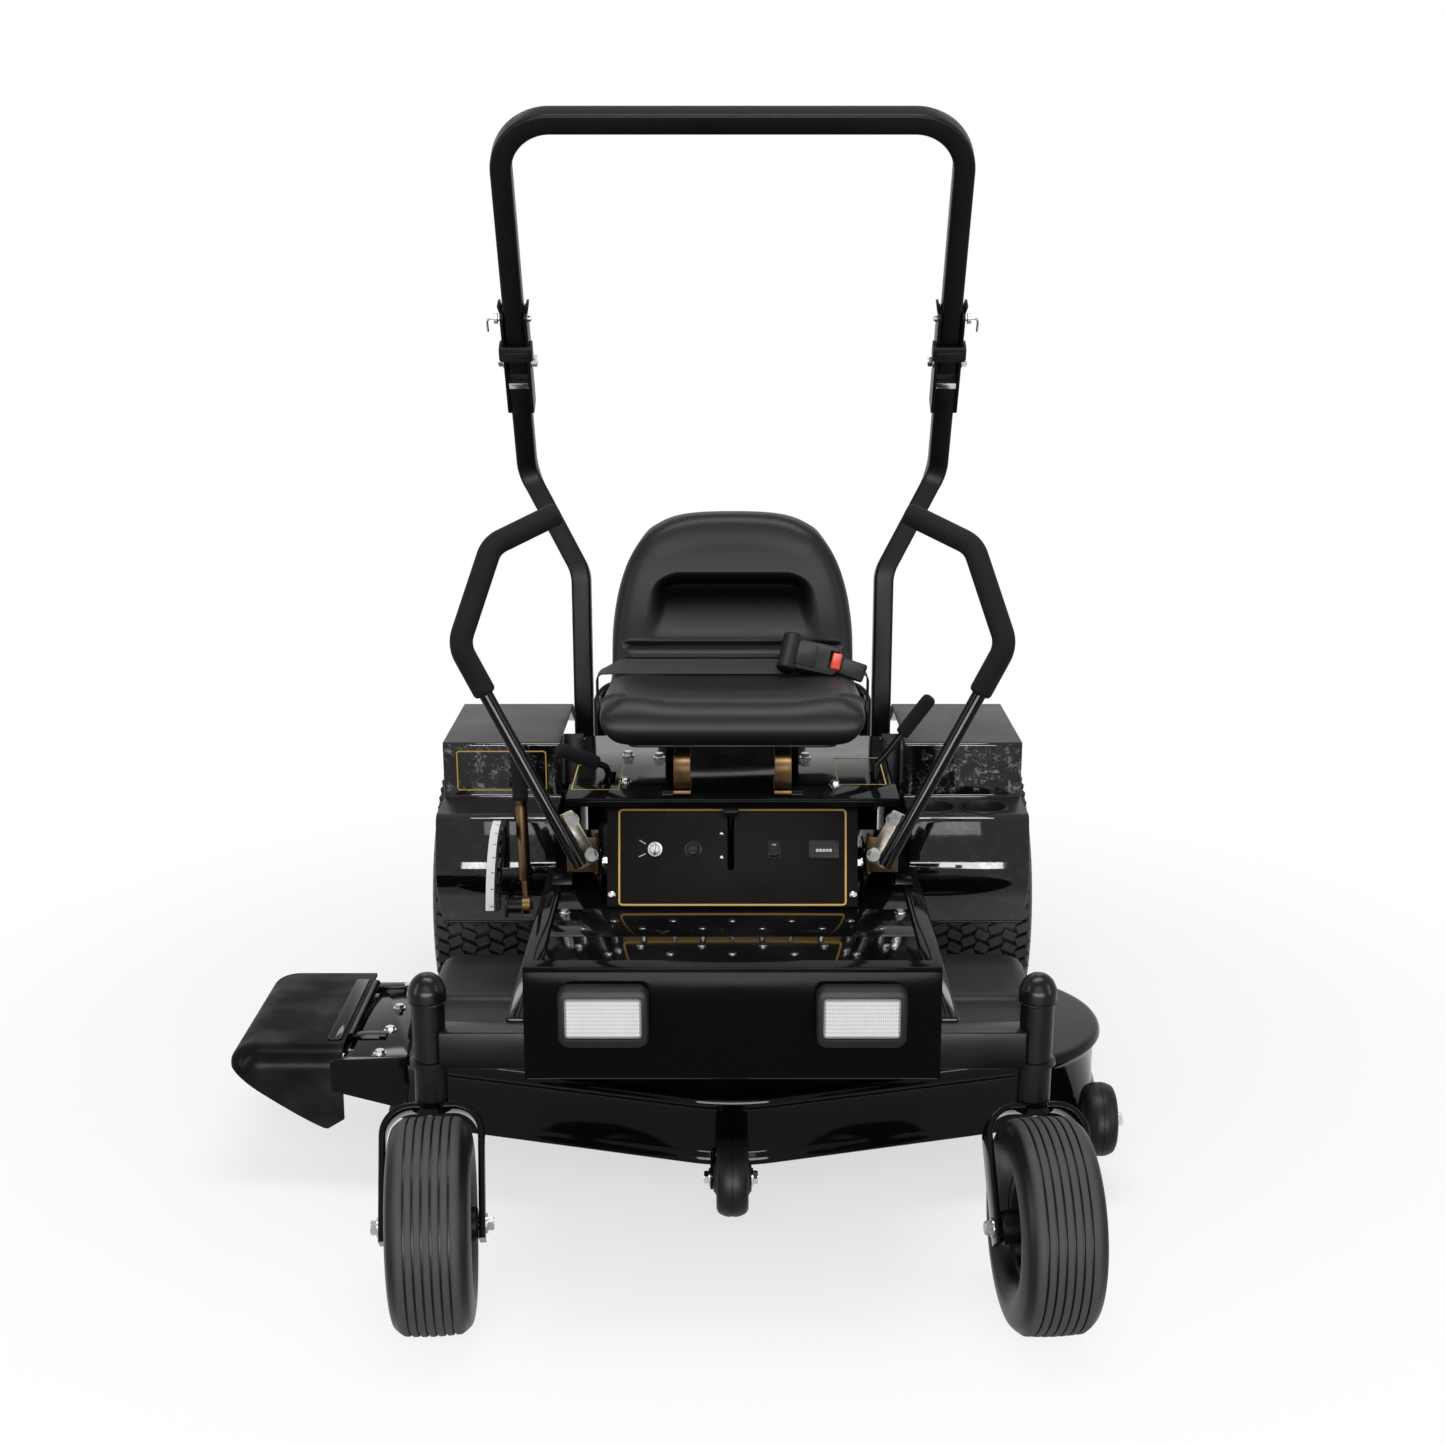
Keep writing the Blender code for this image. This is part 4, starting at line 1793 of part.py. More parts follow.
def main():
    clear_scene()
    main_frame()
    caster_beam()
    front_panel()
    footplate()
    console_panel()
    throttle_lever()
    choke_knob()
    ignition_key()
    light_switch()
    seat_box()
    parking_brake_lever()
    blade_engage_lever()
    height_lever()
    rops_hoop()
    for side in (1, -1):
        rear_tyre(side)
        rear_rim(side)
        caster_tyre(side)
        caster_rim(side)
        caster_fork(side)
        headlight(side)
        fender(side)
        rops_post(side)
        rops_pin(side)
        lever_yoke(side)
        control_lever(side)
        lever_grip(side)
        belt_cover(side)
        transaxle(side)
    deck_shell()
    discharge_chute()
    for turn, (name, (x, y)) in enumerate(BLADES.items()):
        blade(name, x, y, math.radians(20 + 35 * turn))
    anti_scalp_wheel("front", 0, FRONT_SCALP_Y)
    anti_scalp_wheel("side", *SIDE_SCALP)
    seat()
    seat_frame()
    lap_belt()
    belt_buckle()
    engine_block()
    blower_housing()
    muffler()
    fuel_tank()


main()
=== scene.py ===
"""Looks of a zero-turn riding lawn mower, laid out as an add-on and run as a script.

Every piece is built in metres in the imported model's frame: +Z up, the mower faces -Y, and the driver's left
is +X. A piece rides on one of the model's bodies, so it moves with that body's joint.
"""

import json
import math

import bmesh
import bpy
from mathutils import Matrix, Vector


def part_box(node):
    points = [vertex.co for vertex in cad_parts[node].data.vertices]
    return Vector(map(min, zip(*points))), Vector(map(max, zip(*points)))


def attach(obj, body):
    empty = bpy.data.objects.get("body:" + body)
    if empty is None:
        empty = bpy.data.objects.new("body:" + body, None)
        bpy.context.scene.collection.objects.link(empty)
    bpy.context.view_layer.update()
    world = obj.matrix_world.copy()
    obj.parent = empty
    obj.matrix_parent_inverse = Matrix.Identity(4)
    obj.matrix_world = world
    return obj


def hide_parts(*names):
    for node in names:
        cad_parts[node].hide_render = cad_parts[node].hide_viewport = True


bl_info = {
    "name": "Riding Mower Looks",
    "version": (1, 0, 0),
    "blender": (4, 5, 0),
    "location": "View3D > Sidebar > Mower",
    "description": "Builds the finished surfaces of a zero-turn riding lawn mower round its packed model",
    "category": "Object",
}

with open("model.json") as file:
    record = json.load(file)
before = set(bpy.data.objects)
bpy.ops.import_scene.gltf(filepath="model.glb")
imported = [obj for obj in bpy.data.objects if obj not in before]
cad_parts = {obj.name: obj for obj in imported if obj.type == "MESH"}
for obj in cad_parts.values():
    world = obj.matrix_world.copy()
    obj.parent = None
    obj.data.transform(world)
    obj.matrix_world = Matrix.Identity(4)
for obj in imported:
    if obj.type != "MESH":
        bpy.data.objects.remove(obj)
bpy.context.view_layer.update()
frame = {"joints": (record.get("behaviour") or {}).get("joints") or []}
JOINTS = {joint["name"]: joint for joint in frame["joints"]}
SIDES = {"left": 1, "right": -1}
GAP = 0.0003
WELD = 0.000005
UP = Vector((0, 0, 1))
LEFT = Vector((1, 0, 0))
AHEAD = Vector((0, -1, 0))


def spun(degrees, axis):
    """A turn about one of the main axes."""
    return Matrix.Rotation(math.radians(degrees), 4, axis)


def middle(node):
    """The middle of a node's box."""
    low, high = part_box(node)
    return (low + high) / 2


# Shader maths


class Value:
    """A shader socket that takes Python's arithmetic, and adds the Math nodes for it."""

    def __init__(self, finish, socket):
        self.finish = finish
        self.socket = socket

    def math(self, operation, *others):
        return self.finish.node("ShaderNodeMath", {"operation": operation}, self, *others)

    def __add__(self, other):
        return self.math("ADD", other)

    def __mul__(self, other):
        return self.math("MULTIPLY", other)

    def __sub__(self, other):
        return self.math("SUBTRACT", other)

    def __rsub__(self, other):
        return self.finish.node("ShaderNodeMath", {"operation": "SUBTRACT"}, other, self)

    __radd__ = __add__
    __rmul__ = __mul__

    def between(self, low, high):
        """0 below low, 1 above high, and a smooth step from one to the other."""
        settings = {"interpolation_type": "SMOOTHSTEP"}
        return self.finish.node("ShaderNodeMapRange", settings, self, low, high, 0.0, 1.0)


class Finish:
    """A material's node tree while it is being wired."""

    def __init__(self, name):
        self.material = bpy.data.materials.new(name)
        self.material.use_nodes = True
        self.tree = self.material.node_tree
        self.shader = self.tree.nodes["Principled BSDF"]

    def put(self, socket, value):
        if isinstance(value, Value):
            self.tree.links.new(value.socket, socket)
        elif isinstance(value, (tuple, list)) and len(value) == 3 and socket.type == "RGBA":
            socket.default_value = (*value, 1)
        else:
            socket.default_value = value

    def node(self, kind, settings=None, *values, out=0, **named):
        """A node of the given type. Its settings are set first, then its sockets by place or by name."""
        node = self.tree.nodes.new(kind)
        for key, value in (settings or {}).items():
            setattr(node, key, value)
        for socket, value in zip([s for s in node.inputs if s.enabled], values):
            self.put(socket, value)
        for key, value in named.items():
            self.put(node.inputs[key.replace("_", " ")], value)
        return Value(self, node.outputs[out])

    def place(self):
        return self.node("ShaderNodeTexCoord", out="Object")

    def noise(self, scale, detail=3.0, roughness=0.5):
        return self.node("ShaderNodeTexNoise", None, Vector=self.place(), Scale=scale, Detail=detail,
                         Roughness=roughness)

    def cells(self, scale, feature="F1"):
        return self.node("ShaderNodeTexVoronoi", {"feature": feature}, Vector=self.place(), Scale=scale)

    def attribute(self, name):
        return self.node("ShaderNodeAttribute", {"attribute_name": name}, out="Fac")

    def axis(self, index):
        return self.node("ShaderNodeSeparateXYZ", None, self.place(), out=index)

    def facing(self, index):
        """One coordinate of the surface's facing."""
        normal = self.node("ShaderNodeNewGeometry", out="Normal")
        return self.node("ShaderNodeSeparateXYZ", None, normal, out=index)

    def facing_up(self):
        return self.facing(2)

    def mix(self, share, first, second):
        """A colour between two colours."""
        return self.node("ShaderNodeMix", {"data_type": "RGBA"}, share, first, second, out=2)

    def bump(self, height, depth, strength=1.0, under=None):
        named = {"Height": height, "Distance": depth, "Strength": strength}
        if under is not None:
            named["Normal"] = under
        return self.node("ShaderNodeBump", None, **named)

    def surface(self, **named):
        """Sets the shader's sockets by name, with underscores for spaces, and gives the material."""
        for key, value in named.items():
            self.put(self.shader.inputs[key.replace("_", " ")], value)
        return self.material

    def covered(self, share, cover):
        """Lays another shader over the surface by a share, and gives the material."""
        body = Value(self, self.shader.outputs[0])
        mixed = self.node("ShaderNodeMixShader", None, share, body, cover)
        self.tree.links.new(mixed.socket, self.tree.nodes["Material Output"].inputs["Surface"])
        return self.material


def shade(colour, factor):
    """A colour made darker or lighter by a factor."""
    return tuple(channel * factor for channel in colour)


# Finishes

FINISHES = {}


def finish(name):
    """The named finish, made on its first use."""
    if name not in FINISHES:
        FINISHES[name] = MAKERS[name](name)
    return FINISHES[name]


def picked(name):
    """One of the colours that a user can change."""
    return tuple(getattr(bpy.context.scene.mower_colours, name))


def clouded(name, noise, first, second, rough, spread, grain=None, **constants):
    """A finish whose colour and roughness drift together, with a raised grain if one is given."""
    make = Finish(name)
    cloud = make.noise(*noise)
    if grain:
        scale, depth, strength = grain
        constants["Normal"] = make.bump(make.cells(scale), depth, strength)
    return make.surface(Base_Color=make.mix(cloud, first, second), Roughness=rough + cloud * spread,
                        **constants)


def enamel(name, shine):
    """Wet-looking black enamel with a faint orange peel, and a trace of dust where it faces up."""
    colour = picked("paint")
    make = Finish(name)
    peel = make.noise(420, 1.0)
    cloud = make.noise(7, 4.0)
    dust = make.facing_up().between(0.75, 1.0) * cloud.between(0.42, 0.75)
    speck = make.noise(1500, 0.0).between(0.70, 0.80) * dust
    base = make.mix(dust * 0.03 + speck * 0.20, colour, (0.16, 0.15, 0.14))
    return make.surface(Base_Color=base, Roughness=0.04 + cloud * 0.07 + speck * 0.3,
                        Specular_IOR_Level=shine, Normal=make.bump(peel, 0.0002, 0.06))


def gloss_paint(name):
    return enamel(name, 0.10)


def shelf_paint(name):
    return enamel(name, 0.022)


def sleeve_paint(name):
    """The enamel on the caster sleeves, a little duller, so that its shine spreads."""
    colour = picked("paint")
    make = Finish(name)
    cloud = make.noise(14, 4.0)
    return make.surface(Base_Color=make.mix(cloud, colour, shade(colour, 2.0)), Roughness=0.24 + cloud * 0.10,
                        Specular_IOR_Level=0.12, Normal=make.bump(make.noise(700, 2.0), 0.0002, 0.10))


def dimple_paint(name):
    """The enamel on the pressed dimples, whose rubbed tops catch the light."""
    colour = picked("paint")
    make = Finish(name)
    cloud = make.noise(90, 3.0)
    return make.surface(Base_Color=make.mix(cloud, colour, shade(colour, 3.0)), Roughness=0.10 + cloud * 0.12,
                        Specular_IOR_Level=0.9, Coat_Weight=cloud.between(0.3, 0.6))


def dusty_paint(name):
    """The fenders' black enamel, which a film of dust has dulled on top."""
    colour = picked("paint")
    make = Finish(name)
    cloud = make.noise(9, 5.0)
    fine = make.noise(1300, 1.0)
    top = make.facing_up().between(0.80, 0.97)
    film = top * (0.55 + cloud * 0.45)
    base = make.mix(film * 0.05 + film * fine.between(0.55, 0.75) * 0.06, colour, (0.24, 0.22, 0.20))
    ripple = make.bump(make.noise(24, 3.0), 0.004, 0.10)
    blotch = make.noise(38, 4.0, 0.7).between(0.50, 0.70)
    # Painted reflection: pale flecks on the upper faces that look forward, gathered in patches towards the
    # outer ends.
    upper = (0.0 - make.facing(1)).between(0.80, 0.95) * make.axis(2).between(0.550, 0.560)
    outer = make.axis(0).math("ABSOLUTE").between(0.36, 0.56)
    glint_patch = (make.noise(9, 3.0) + outer * 0.16).between(0.50, 0.68)
    speck = make.noise(75, 9.0, 0.85).between(0.53, 0.60) * glint_patch * upper
    # The painted reflection flecks are mixed in as pale grey.
    base = make.mix(speck * 0.55, base, (0.62, 0.62, 0.62))
    return make.surface(Base_Color=base, Roughness=0.05 + cloud * 0.05 + film * 0.36, Specular_IOR_Level=0.10,
                        Coat_Weight=(0.40 + blotch * 0.25) * (1 - top),
                        Normal=make.bump(make.noise(420, 1.0), 0.0002, 0.08, ripple))


def dusty_panel(name):
    """The switch panel's satin coat, brownish with wear and finely scratched."""
    make = Finish(name)
    cloud = make.noise(16, 5.0)
    stretch = make.node("ShaderNodeMapping", None, make.place(), Scale=(60, 900, 900))
    scratch = make.node("ShaderNodeTexNoise", None, Vector=stretch, Scale=1.0, Detail=3.0).between(0.60, 0.75)
    base = make.mix(cloud * 0.7 + scratch * 0.5, (0.0055, 0.0050, 0.0045), (0.020, 0.017, 0.014))
    return make.surface(Base_Color=base, Roughness=0.30 + cloud * 0.16, Specular_IOR_Level=0.06,
                        Normal=make.bump(scratch, 0.0002, 0.10))


def satin_paint(name):
    """Powder coat with a low sheen and a fine grain."""
    colour = picked("paint")
    make = Finish(name)
    grain = make.noise(900, 2.0)
    cloud = make.noise(11, 4.0)
    return make.surface(Base_Color=make.mix(cloud * 0.5, colour, shade(colour, 2.0)),
                        Roughness=0.30 + cloud * 0.14, Specular_IOR_Level=0.08,
                        Normal=make.bump(grain, 0.0003, 0.16))


def moulded_plastic(name):
    """Black moulded plastic with a spark-eroded grain."""
    return clouded(name, (14, 3.0), (0.008, 0.008, 0.009), (0.016, 0.016, 0.017), 0.36, 0.15,
                   (1100, 0.0003, 0.20), Specular_IOR_Level=0.10)


def tyre_rubber(name):
    """Tyre rubber: dark shiny walls, and tread tops rubbed to a dusty grey."""
    make = Finish(name)
    worn = make.attribute("tread")
    cloud = make.noise(22, 5.0)
    scuff = make.noise(160, 4.0)
    grey = worn * (0.50 + cloud * 0.35 + scuff * 0.15)
    base = make.mix(grey, (0.005, 0.005, 0.0055), (0.078, 0.076, 0.074))
    return make.surface(Base_Color=base, Roughness=0.36 + grey * 0.40 + cloud * 0.06,
                        Specular_IOR_Level=0.14, Normal=make.bump(scuff, 0.0004, 0.30))


def grip_foam(name):
    """Closed-cell foam sleeve."""
    return clouded(name, (18, 3.0), (0.010, 0.010, 0.011), (0.019, 0.019, 0.020), 0.74, 0.12,
                   (1300, 0.0005, 0.35), Specular_IOR_Level=0.10)


def chute_rubber(name):
    """Semi-gloss moulded rubber with a light bloom."""
    make = Finish(name)
    cloud = make.noise(10, 5.0)
    bloom = cloud.between(0.35, 0.8)
    make.surface(Base_Color=make.mix(bloom, (0.005, 0.005, 0.005), (0.011, 0.0105, 0.0105)),
                 Roughness=0.20 + cloud * 0.20, Specular_IOR_Level=0.16,
                 Normal=make.bump(make.noise(260, 3.0), 0.0004, 0.22))
    dull = make.node("ShaderNodeBsdfDiffuse", None, (0.006, 0.006, 0.006))
    return make.covered(0.80 - bloom * 0.45, dull)


def seat_vinyl(name):
    """Grained vinyl in a cold dark grey, a little smoother where it is sat on."""
    colour = picked("vinyl")
    make = Finish(name)
    pebble = make.cells(620, "SMOOTH_F1")
    fine = make.noise(1900, 2.0)
    cloud = make.noise(9, 4.0)
    grain = pebble * 0.7 + fine * 0.3
    base = make.mix(cloud * 0.6 + pebble * 0.3, colour, shade(colour, 1.35))
    # Painted shade: the upper part of the lumbar hollow is darkened in the base colour, where the overhang
    # would shade it.
    base = make.mix(make.attribute("hollow") * 0.85, base, shade(colour, 0.15))
    make.surface(Base_Color=base, Roughness=0.35 + cloud * 0.08 + pebble * 0.06, Specular_IOR_Level=0.09,
                 Normal=make.bump(grain, 0.0005, 0.22))
    # Painted shade: a dull dark diffuse is laid over the same part of the hollow, which also takes away its
    # shine.
    dull = make.node("ShaderNodeBsdfDiffuse", None, shade(colour, 0.20))
    return make.covered(make.attribute("hollow") * 0.92, dull)


def plated(name, colour, far, rough):
    """Plated steel whose tint wanders a little over each piece."""
    make = Finish(name)
    cloud = make.noise(26, 4.0)
    fine = make.noise(420, 2.0)
    return make.surface(Base_Color=make.mix(cloud.between(0.3, 0.7), colour, far), Metallic=1.0,
                        Roughness=rough + cloud * 0.14, Normal=make.bump(fine, 0.0002, 0.10))


def yellow_zinc(name):
    colour = picked("plating")
    return plated(name, colour, (0.085, 0.048, 0.024), 0.30)


def bright_zinc(name):
    return plated(name, (0.66, 0.66, 0.67), (0.48, 0.48, 0.50), 0.14)


def pale_zinc(name):
    return plated(name, (0.46, 0.42, 0.34), (0.26, 0.24, 0.20), 0.18)


def plain_steel(name):
    return plated(name, (0.42, 0.42, 0.43), (0.30, 0.29, 0.28), 0.26)


def cast_alloy(name):
    """Sand-cast aluminium with an open grain."""
    make = Finish(name)
    grain = make.noise(520, 5.0)
    cloud = make.noise(16, 4.0)
    return make.surface(Base_Color=make.mix(cloud, (0.36, 0.37, 0.38), (0.50, 0.51, 0.52)), Metallic=1.0,
                        Roughness=0.42 + grain * 0.18, Normal=make.bump(grain, 0.0006, 0.30))


def lamp_lens(name):
    """Pressed clear ribs, painted near white as a painted highlight of the lamp's bright inside."""
    return clouded(name, (45, 3.0), (0.88, 0.89, 0.90), (0.97, 0.97, 0.97), 0.12, 0.12, Coat_Weight=0.4)


def lamp_reflector(name):
    """Painted shade: the grey that stands for the shaded depth between a lamp's lens ribs."""
    return clouded(name, (60, 3.0), (0.30, 0.30, 0.31), (0.48, 0.48, 0.49), 0.20, 0.12)


def webbing(name):
    """Woven belt: fine ribs across the strap and a weave along it."""
    make = Finish(name)
    along = make.node("ShaderNodeTexWave", {"bands_direction": "X"}, Vector=make.place(), Scale=180.0,
                      Distortion=0.4)
    across = make.node("ShaderNodeTexWave", {"bands_direction": "Y"}, Vector=make.place(), Scale=130.0,
                       Distortion=0.3)
    weave = along * 0.6 + across * 0.4
    return make.surface(Base_Color=make.mix(weave, (0.006, 0.006, 0.007), (0.020, 0.020, 0.021)),
                        Roughness=0.62 + weave * 0.18, Normal=make.bump(weave, 0.0006, 0.5))


def red_plastic(name):
    return clouded(name, (80, 2.0), (0.62, 0.035, 0.012), (0.78, 0.07, 0.02), 0.28, 0.1)


def print_ink(name, colour):
    """A screen-printed line, slightly uneven in its cover."""
    make = Finish(name)
    cover = make.noise(700, 2.0)
    return make.surface(Base_Color=make.mix(cover.between(0.3, 0.6), shade(colour, 0.82), colour),
                        Roughness=0.36 + cover * 0.12)


def gold_ink(name):
    return print_ink(name, picked("ink"))


def white_ink(name):
    return print_ink(name, (0.78, 0.78, 0.77))


def black_hole(name):
    """Near black: painted shade that stands for the dark inside of the blower's slots, and the ink of printed
    ticks.
    """
    make = Finish(name)
    cloud = make.noise(30, 2.0)
    return make.surface(Base_Color=make.mix(cloud, (0.002, 0.002, 0.002), (0.006, 0.006, 0.006)),
                        Roughness=0.8)


GLOSS_LOOKS = (gloss_paint, shelf_paint, sleeve_paint, dimple_paint, dusty_paint, dusty_panel, gold_ink)
SLOT_LOOKS = {
    "gloss_black_paint": GLOSS_LOOKS,
    "matte_black_paint": (satin_paint,),
    "black_plastic": (moulded_plastic, black_hole),
    "tyre_rubber": (tyre_rubber,),
    "soft_rubber": (grip_foam, chute_rubber),
    "seat_vinyl": (seat_vinyl,),
    "yellow_zinc": (yellow_zinc,),
    "steel": (bright_zinc, pale_zinc, plain_steel),
    "cast_aluminium": (cast_alloy,),
    "lens": (lamp_lens, lamp_reflector, white_ink),
    "webbing": (webbing,),
    "red_plastic": (red_plastic,),
}
MAKERS = {maker.__name__: maker for makers in SLOT_LOOKS.values() for maker in makers}


# Outlines


def bent(points, radius, steps=10):
    """The polyline with each inner corner rounded to the radius, as a list of vectors."""
    points = [Vector(point) for point in points]
    out = [points[0]]
    for before, corner, after in zip(points, points[1:], points[2:]):
        to_before = (before - corner).normalized()
        to_after = (after - corner).normalized()
        half = to_before.angle(to_after) / 2
        reach = radius / math.tan(half)
        centre = corner + (to_before + to_after).normalized() * radius / math.sin(half)
        start = corner + to_before * reach - centre
        end = corner + to_after * reach - centre
        turn = start.angle(end)
        for i in range(steps + 1):
            share = i / steps
            first = math.sin((1 - share) * turn) / math.sin(turn)
            second = math.sin(share * turn) / math.sin(turn)
            out.append(centre + start * first + end * second)
    out.append(points[-1])
    return out


def flat_bent(points, radius, steps=6):
    return [(p.x, p.y) for p in bent([(*point, 0) for point in points], radius, steps)]


def rounded(outline, radius, steps=5):
    """A closed flat outline with all its corners rounded to the radius."""
    start = (Vector((*outline[0], 0)) + Vector((*outline[-1], 0))) / 2
    loop = [start, *[(x, y, 0) for x, y in outline], start]
    return [(point.x, point.y) for point in bent(loop, radius, steps)[1:-1]]


def rectangle(x, y, half_x, half_y, radius=0.0, steps=5):
    """A rectangle round a point, with rounded corners if a radius is given."""
    corners = [(x - half_x, y - half_y), (x + half_x, y - half_y), (x + half_x, y + half_y),
               (x - half_x, y + half_y)]
    return rounded(corners, radius, steps) if radius else corners


def strip(path, thickness):
    """The closed outline of a folded sheet: a flat polyline given a thickness to its left side."""
    path = [Vector(point) for point in path]
    other = []
    for i, point in enumerate(path):
        along = []
        if i > 0:
            along.append((point - path[i - 1]).normalized())
        if i < len(path) - 1:
            along.append((path[i + 1] - point).normalized())
        normals = [Vector((-a.y, a.x)) for a in along]
        mean = sum(normals, Vector((0, 0))).normalized()
        other.append(point + mean * thickness / mean.dot(normals[0]))
    return [tuple(p) for p in path] + [tuple(p) for p in reversed(other)]


def arc(centre, radius, start, end, steps):
    """Points along part of a circle."""
    points = []
    for i in range(steps + 1):
        angle = start + (end - start) * i / steps
        points.append((centre[0] + radius * math.cos(angle), centre[1] + radius * math.sin(angle)))
    return points


def square_bar(side, corner, steps=5):
    half = side / 2
    return rectangle(0, 0, half, half, corner, steps)


def headings(points):
    """The direction of a route at each of its points."""
    out = []
    for i, point in enumerate(points):
        before = (point - points[max(i - 1, 0)]).normalized()
        after = (points[min(i + 1, len(points) - 1)] - point).normalized()
        out.append((before + after).normalized())
    return out


def domed_ends(points, radius, soft):
    """A route with extra points near its ends, and the radius at each, so that a tube on it ends in domes."""
    steps = 6
    turns = [math.pi / 2 * i / steps for i in range(steps)]
    shares = [(soft * (1 - math.cos(turn)), radius - soft * (1 - math.sin(turn))) for turn in turns]
    start = (points[1] - points[0]).normalized()
    end = (points[-2] - points[-1]).normalized()
    first = [(points[0] + start * along, size) for along, size in shares]
    last = [(points[-1] + end * along, size) for along, size in reversed(shares)]
    inner = [(points[0] + start * soft, radius)]
    inner += [(point, radius) for point in points[1:-1]]
    inner.append((points[-1] + end * soft, radius))
    both = first + inner + last
    return [point for point, _ in both], [size for _, size in both]


# Meshes


def skin(made, rings):
    """Adds four-sided faces between each ring of points and the next."""
    count = len(rings[0])
    for first, second in zip(rings, rings[1:]):
        for i in range(count):
            j = (i + 1) % count
            made.faces.new([first[i], first[j], second[j], second[i]])


def added(name, data):
    """A new object in the scene."""
    obj = bpy.data.objects.new(name, data)
    bpy.context.scene.collection.objects.link(obj)
    return obj


class Shape:
    """One piece's mesh while it is being built from closed forms."""

    def __init__(self):
        self.bm = bmesh.new()

    def take(self, made, matrix=None):
        """Adds a finished form, turned and moved by the matrix."""
        bmesh.ops.remove_doubles(made, verts=made.verts, dist=WELD)
        bmesh.ops.recalc_face_normals(made, faces=made.faces)
        if matrix is not None:
            made.transform(matrix)
        mesh = bpy.data.meshes.new("form")
        made.to_mesh(mesh)
        made.free()
        self.bm.from_mesh(mesh)
        bpy.data.meshes.remove(mesh)
        return self

    def box(self, low, high, bevel=0.001, segments=2, matrix=None):
        low, high = Vector(map(min, low, high)), Vector(map(max, low, high))
        made = bmesh.new()
        bmesh.ops.create_cube(made, size=1)
        bmesh.ops.scale(made, vec=high - low, verts=made.verts)
        bmesh.ops.translate(made, vec=(low + high) / 2, verts=made.verts)
        if bevel:
            bmesh.ops.bevel(made, geom=made.edges[:], offset=bevel, segments=segments, affect="EDGES",
                            profile=0.5)
        return self.take(made, matrix)

    def prism(self, outline, axis, low, high, bevel=0.0, matrix=None):
        """A flat outline extruded along an axis. Its points are the other two coordinates in order."""
        lift = {
            "X": lambda a, b, c: (c, a, b),
            "Y": lambda a, b, c: (a, c, b),
            "Z": lambda a, b, c: (a, b, c),
        }[axis]
        low, high = sorted((low, high))
        made = bmesh.new()
        base = made.faces.new([made.verts.new(lift(a, b, low)) for a, b in outline])
        grown = bmesh.ops.extrude_face_region(made, geom=[base], use_keep_orig=True)["geom"]
        step = Vector(lift(0, 0, high - low))
        bmesh.ops.translate(made, vec=step, verts=[v for v in grown if isinstance(v, bmesh.types.BMVert)])
        if bevel:
            caps = [face for face in made.faces if len(face.verts) == len(outline)]
            rims = {edge for face in caps for edge in face.edges}
            bmesh.ops.recalc_face_normals(made, faces=made.faces)
            bmesh.ops.bevel(made, geom=list(rims), offset=bevel, segments=2, affect="EDGES", profile=0.5)
        return self.take(made, matrix)

    def turned(self, profile, centre, axis=(0, 0, 1), steps=64, closed=False):
        """A profile of (radius, height) turned about an axis through the centre."""
        made = bmesh.new()
        verts = [made.verts.new((radius, 0, height)) for radius, height in profile]
        edges = [made.edges.new(pair) for pair in zip(verts, verts[1:])]
        if closed:
            edges.append(made.edges.new((verts[-1], verts[0])))
        bmesh.ops.spin(made, geom=verts + edges, cent=(0, 0, 0), axis=(0, 0, 1), angle=2 * math.pi,
                       steps=steps, use_merge=True)
        turn = UP.rotation_difference(Vector(axis)).to_matrix().to_4x4()
        return self.take(made, Matrix.Translation(centre) @ turn)

    def rod(self, start, end, radius, steps=32, chamfer=0.0):
        """A round bar from one point to another."""
        start = Vector(start)
        along = Vector(end) - start
        length = along.length
        profile = [(0, length), (radius, length), (radius, 0), (0, 0)]
        if chamfer:
            profile[1:3] = [(radius - chamfer, length), (radius, length - chamfer), (radius, chamfer),
                            (radius - chamfer, 0)]
        return self.turned(profile, start, along, steps)

    def swept(self, points, section, side):
        """A flat section swept along a route. Its first axis stays near the side, or near each of a list."""
        points = [Vector(point) for point in points]
        sides = side if isinstance(side, list) else [Vector(side)] * len(points)
        rings = []
        for point, along, near in zip(points, headings(points), sides):
            across = (near - along * near.dot(along)).normalized()
            over = along.cross(across)
            rings.append([point + across * a + over * b for a, b in section])
        return self.loft(rings)

    def tube(self, points, radius, sides=24, soft=0.0):
        """A round bar along a route, whose section keeps its turn from ring to ring. Soft ends are domed."""
        points = [Vector(point) for point in points]
        radii = [radius] * len(points)
        if soft:
            points, radii = domed_ends(points, radius, soft)
        turns = [2 * math.pi * side / sides for side in range(sides)]
        rings = []
        across = None
        for point, along, size in zip(points, headings(points), radii):
            across = along.orthogonal() if across is None else across - along * across.dot(along)
            across.normalize()
            over = along.cross(across)
            rings.append([point + (across * math.cos(turn) + over * math.sin(turn)) * size for turn in turns])
        return self.loft(rings)

    def cut(self, tool):
        """Takes another shape away from this one."""
        base = self.object("base")
        cutter = tool.object("cutter")
        step = base.modifiers.new("cut", "BOOLEAN")
        step.operation = "DIFFERENCE"
        step.solver = "EXACT"
        step.use_self = True
        step.object = cutter
        plain_mesh(base)
        self.bm = bmesh.new()
        self.bm.from_mesh(base.data)
        bmesh.ops.remove_doubles(self.bm, verts=self.bm.verts, dist=WELD)
        for obj in (base, cutter):
            bpy.data.objects.remove(obj)
        return self

    def loft(self, rings, matrix=None):
        """A closed skin over rings of points, with flat ends."""
        made = bmesh.new()
        rows = [[made.verts.new(point) for point in ring] for ring in rings]
        skin(made, rows)
        made.faces.new(rows[0])
        made.faces.new(rows[-1])
        return self.take(made, matrix)

    def moved(self, matrix):
        self.bm.transform(matrix)
        return self

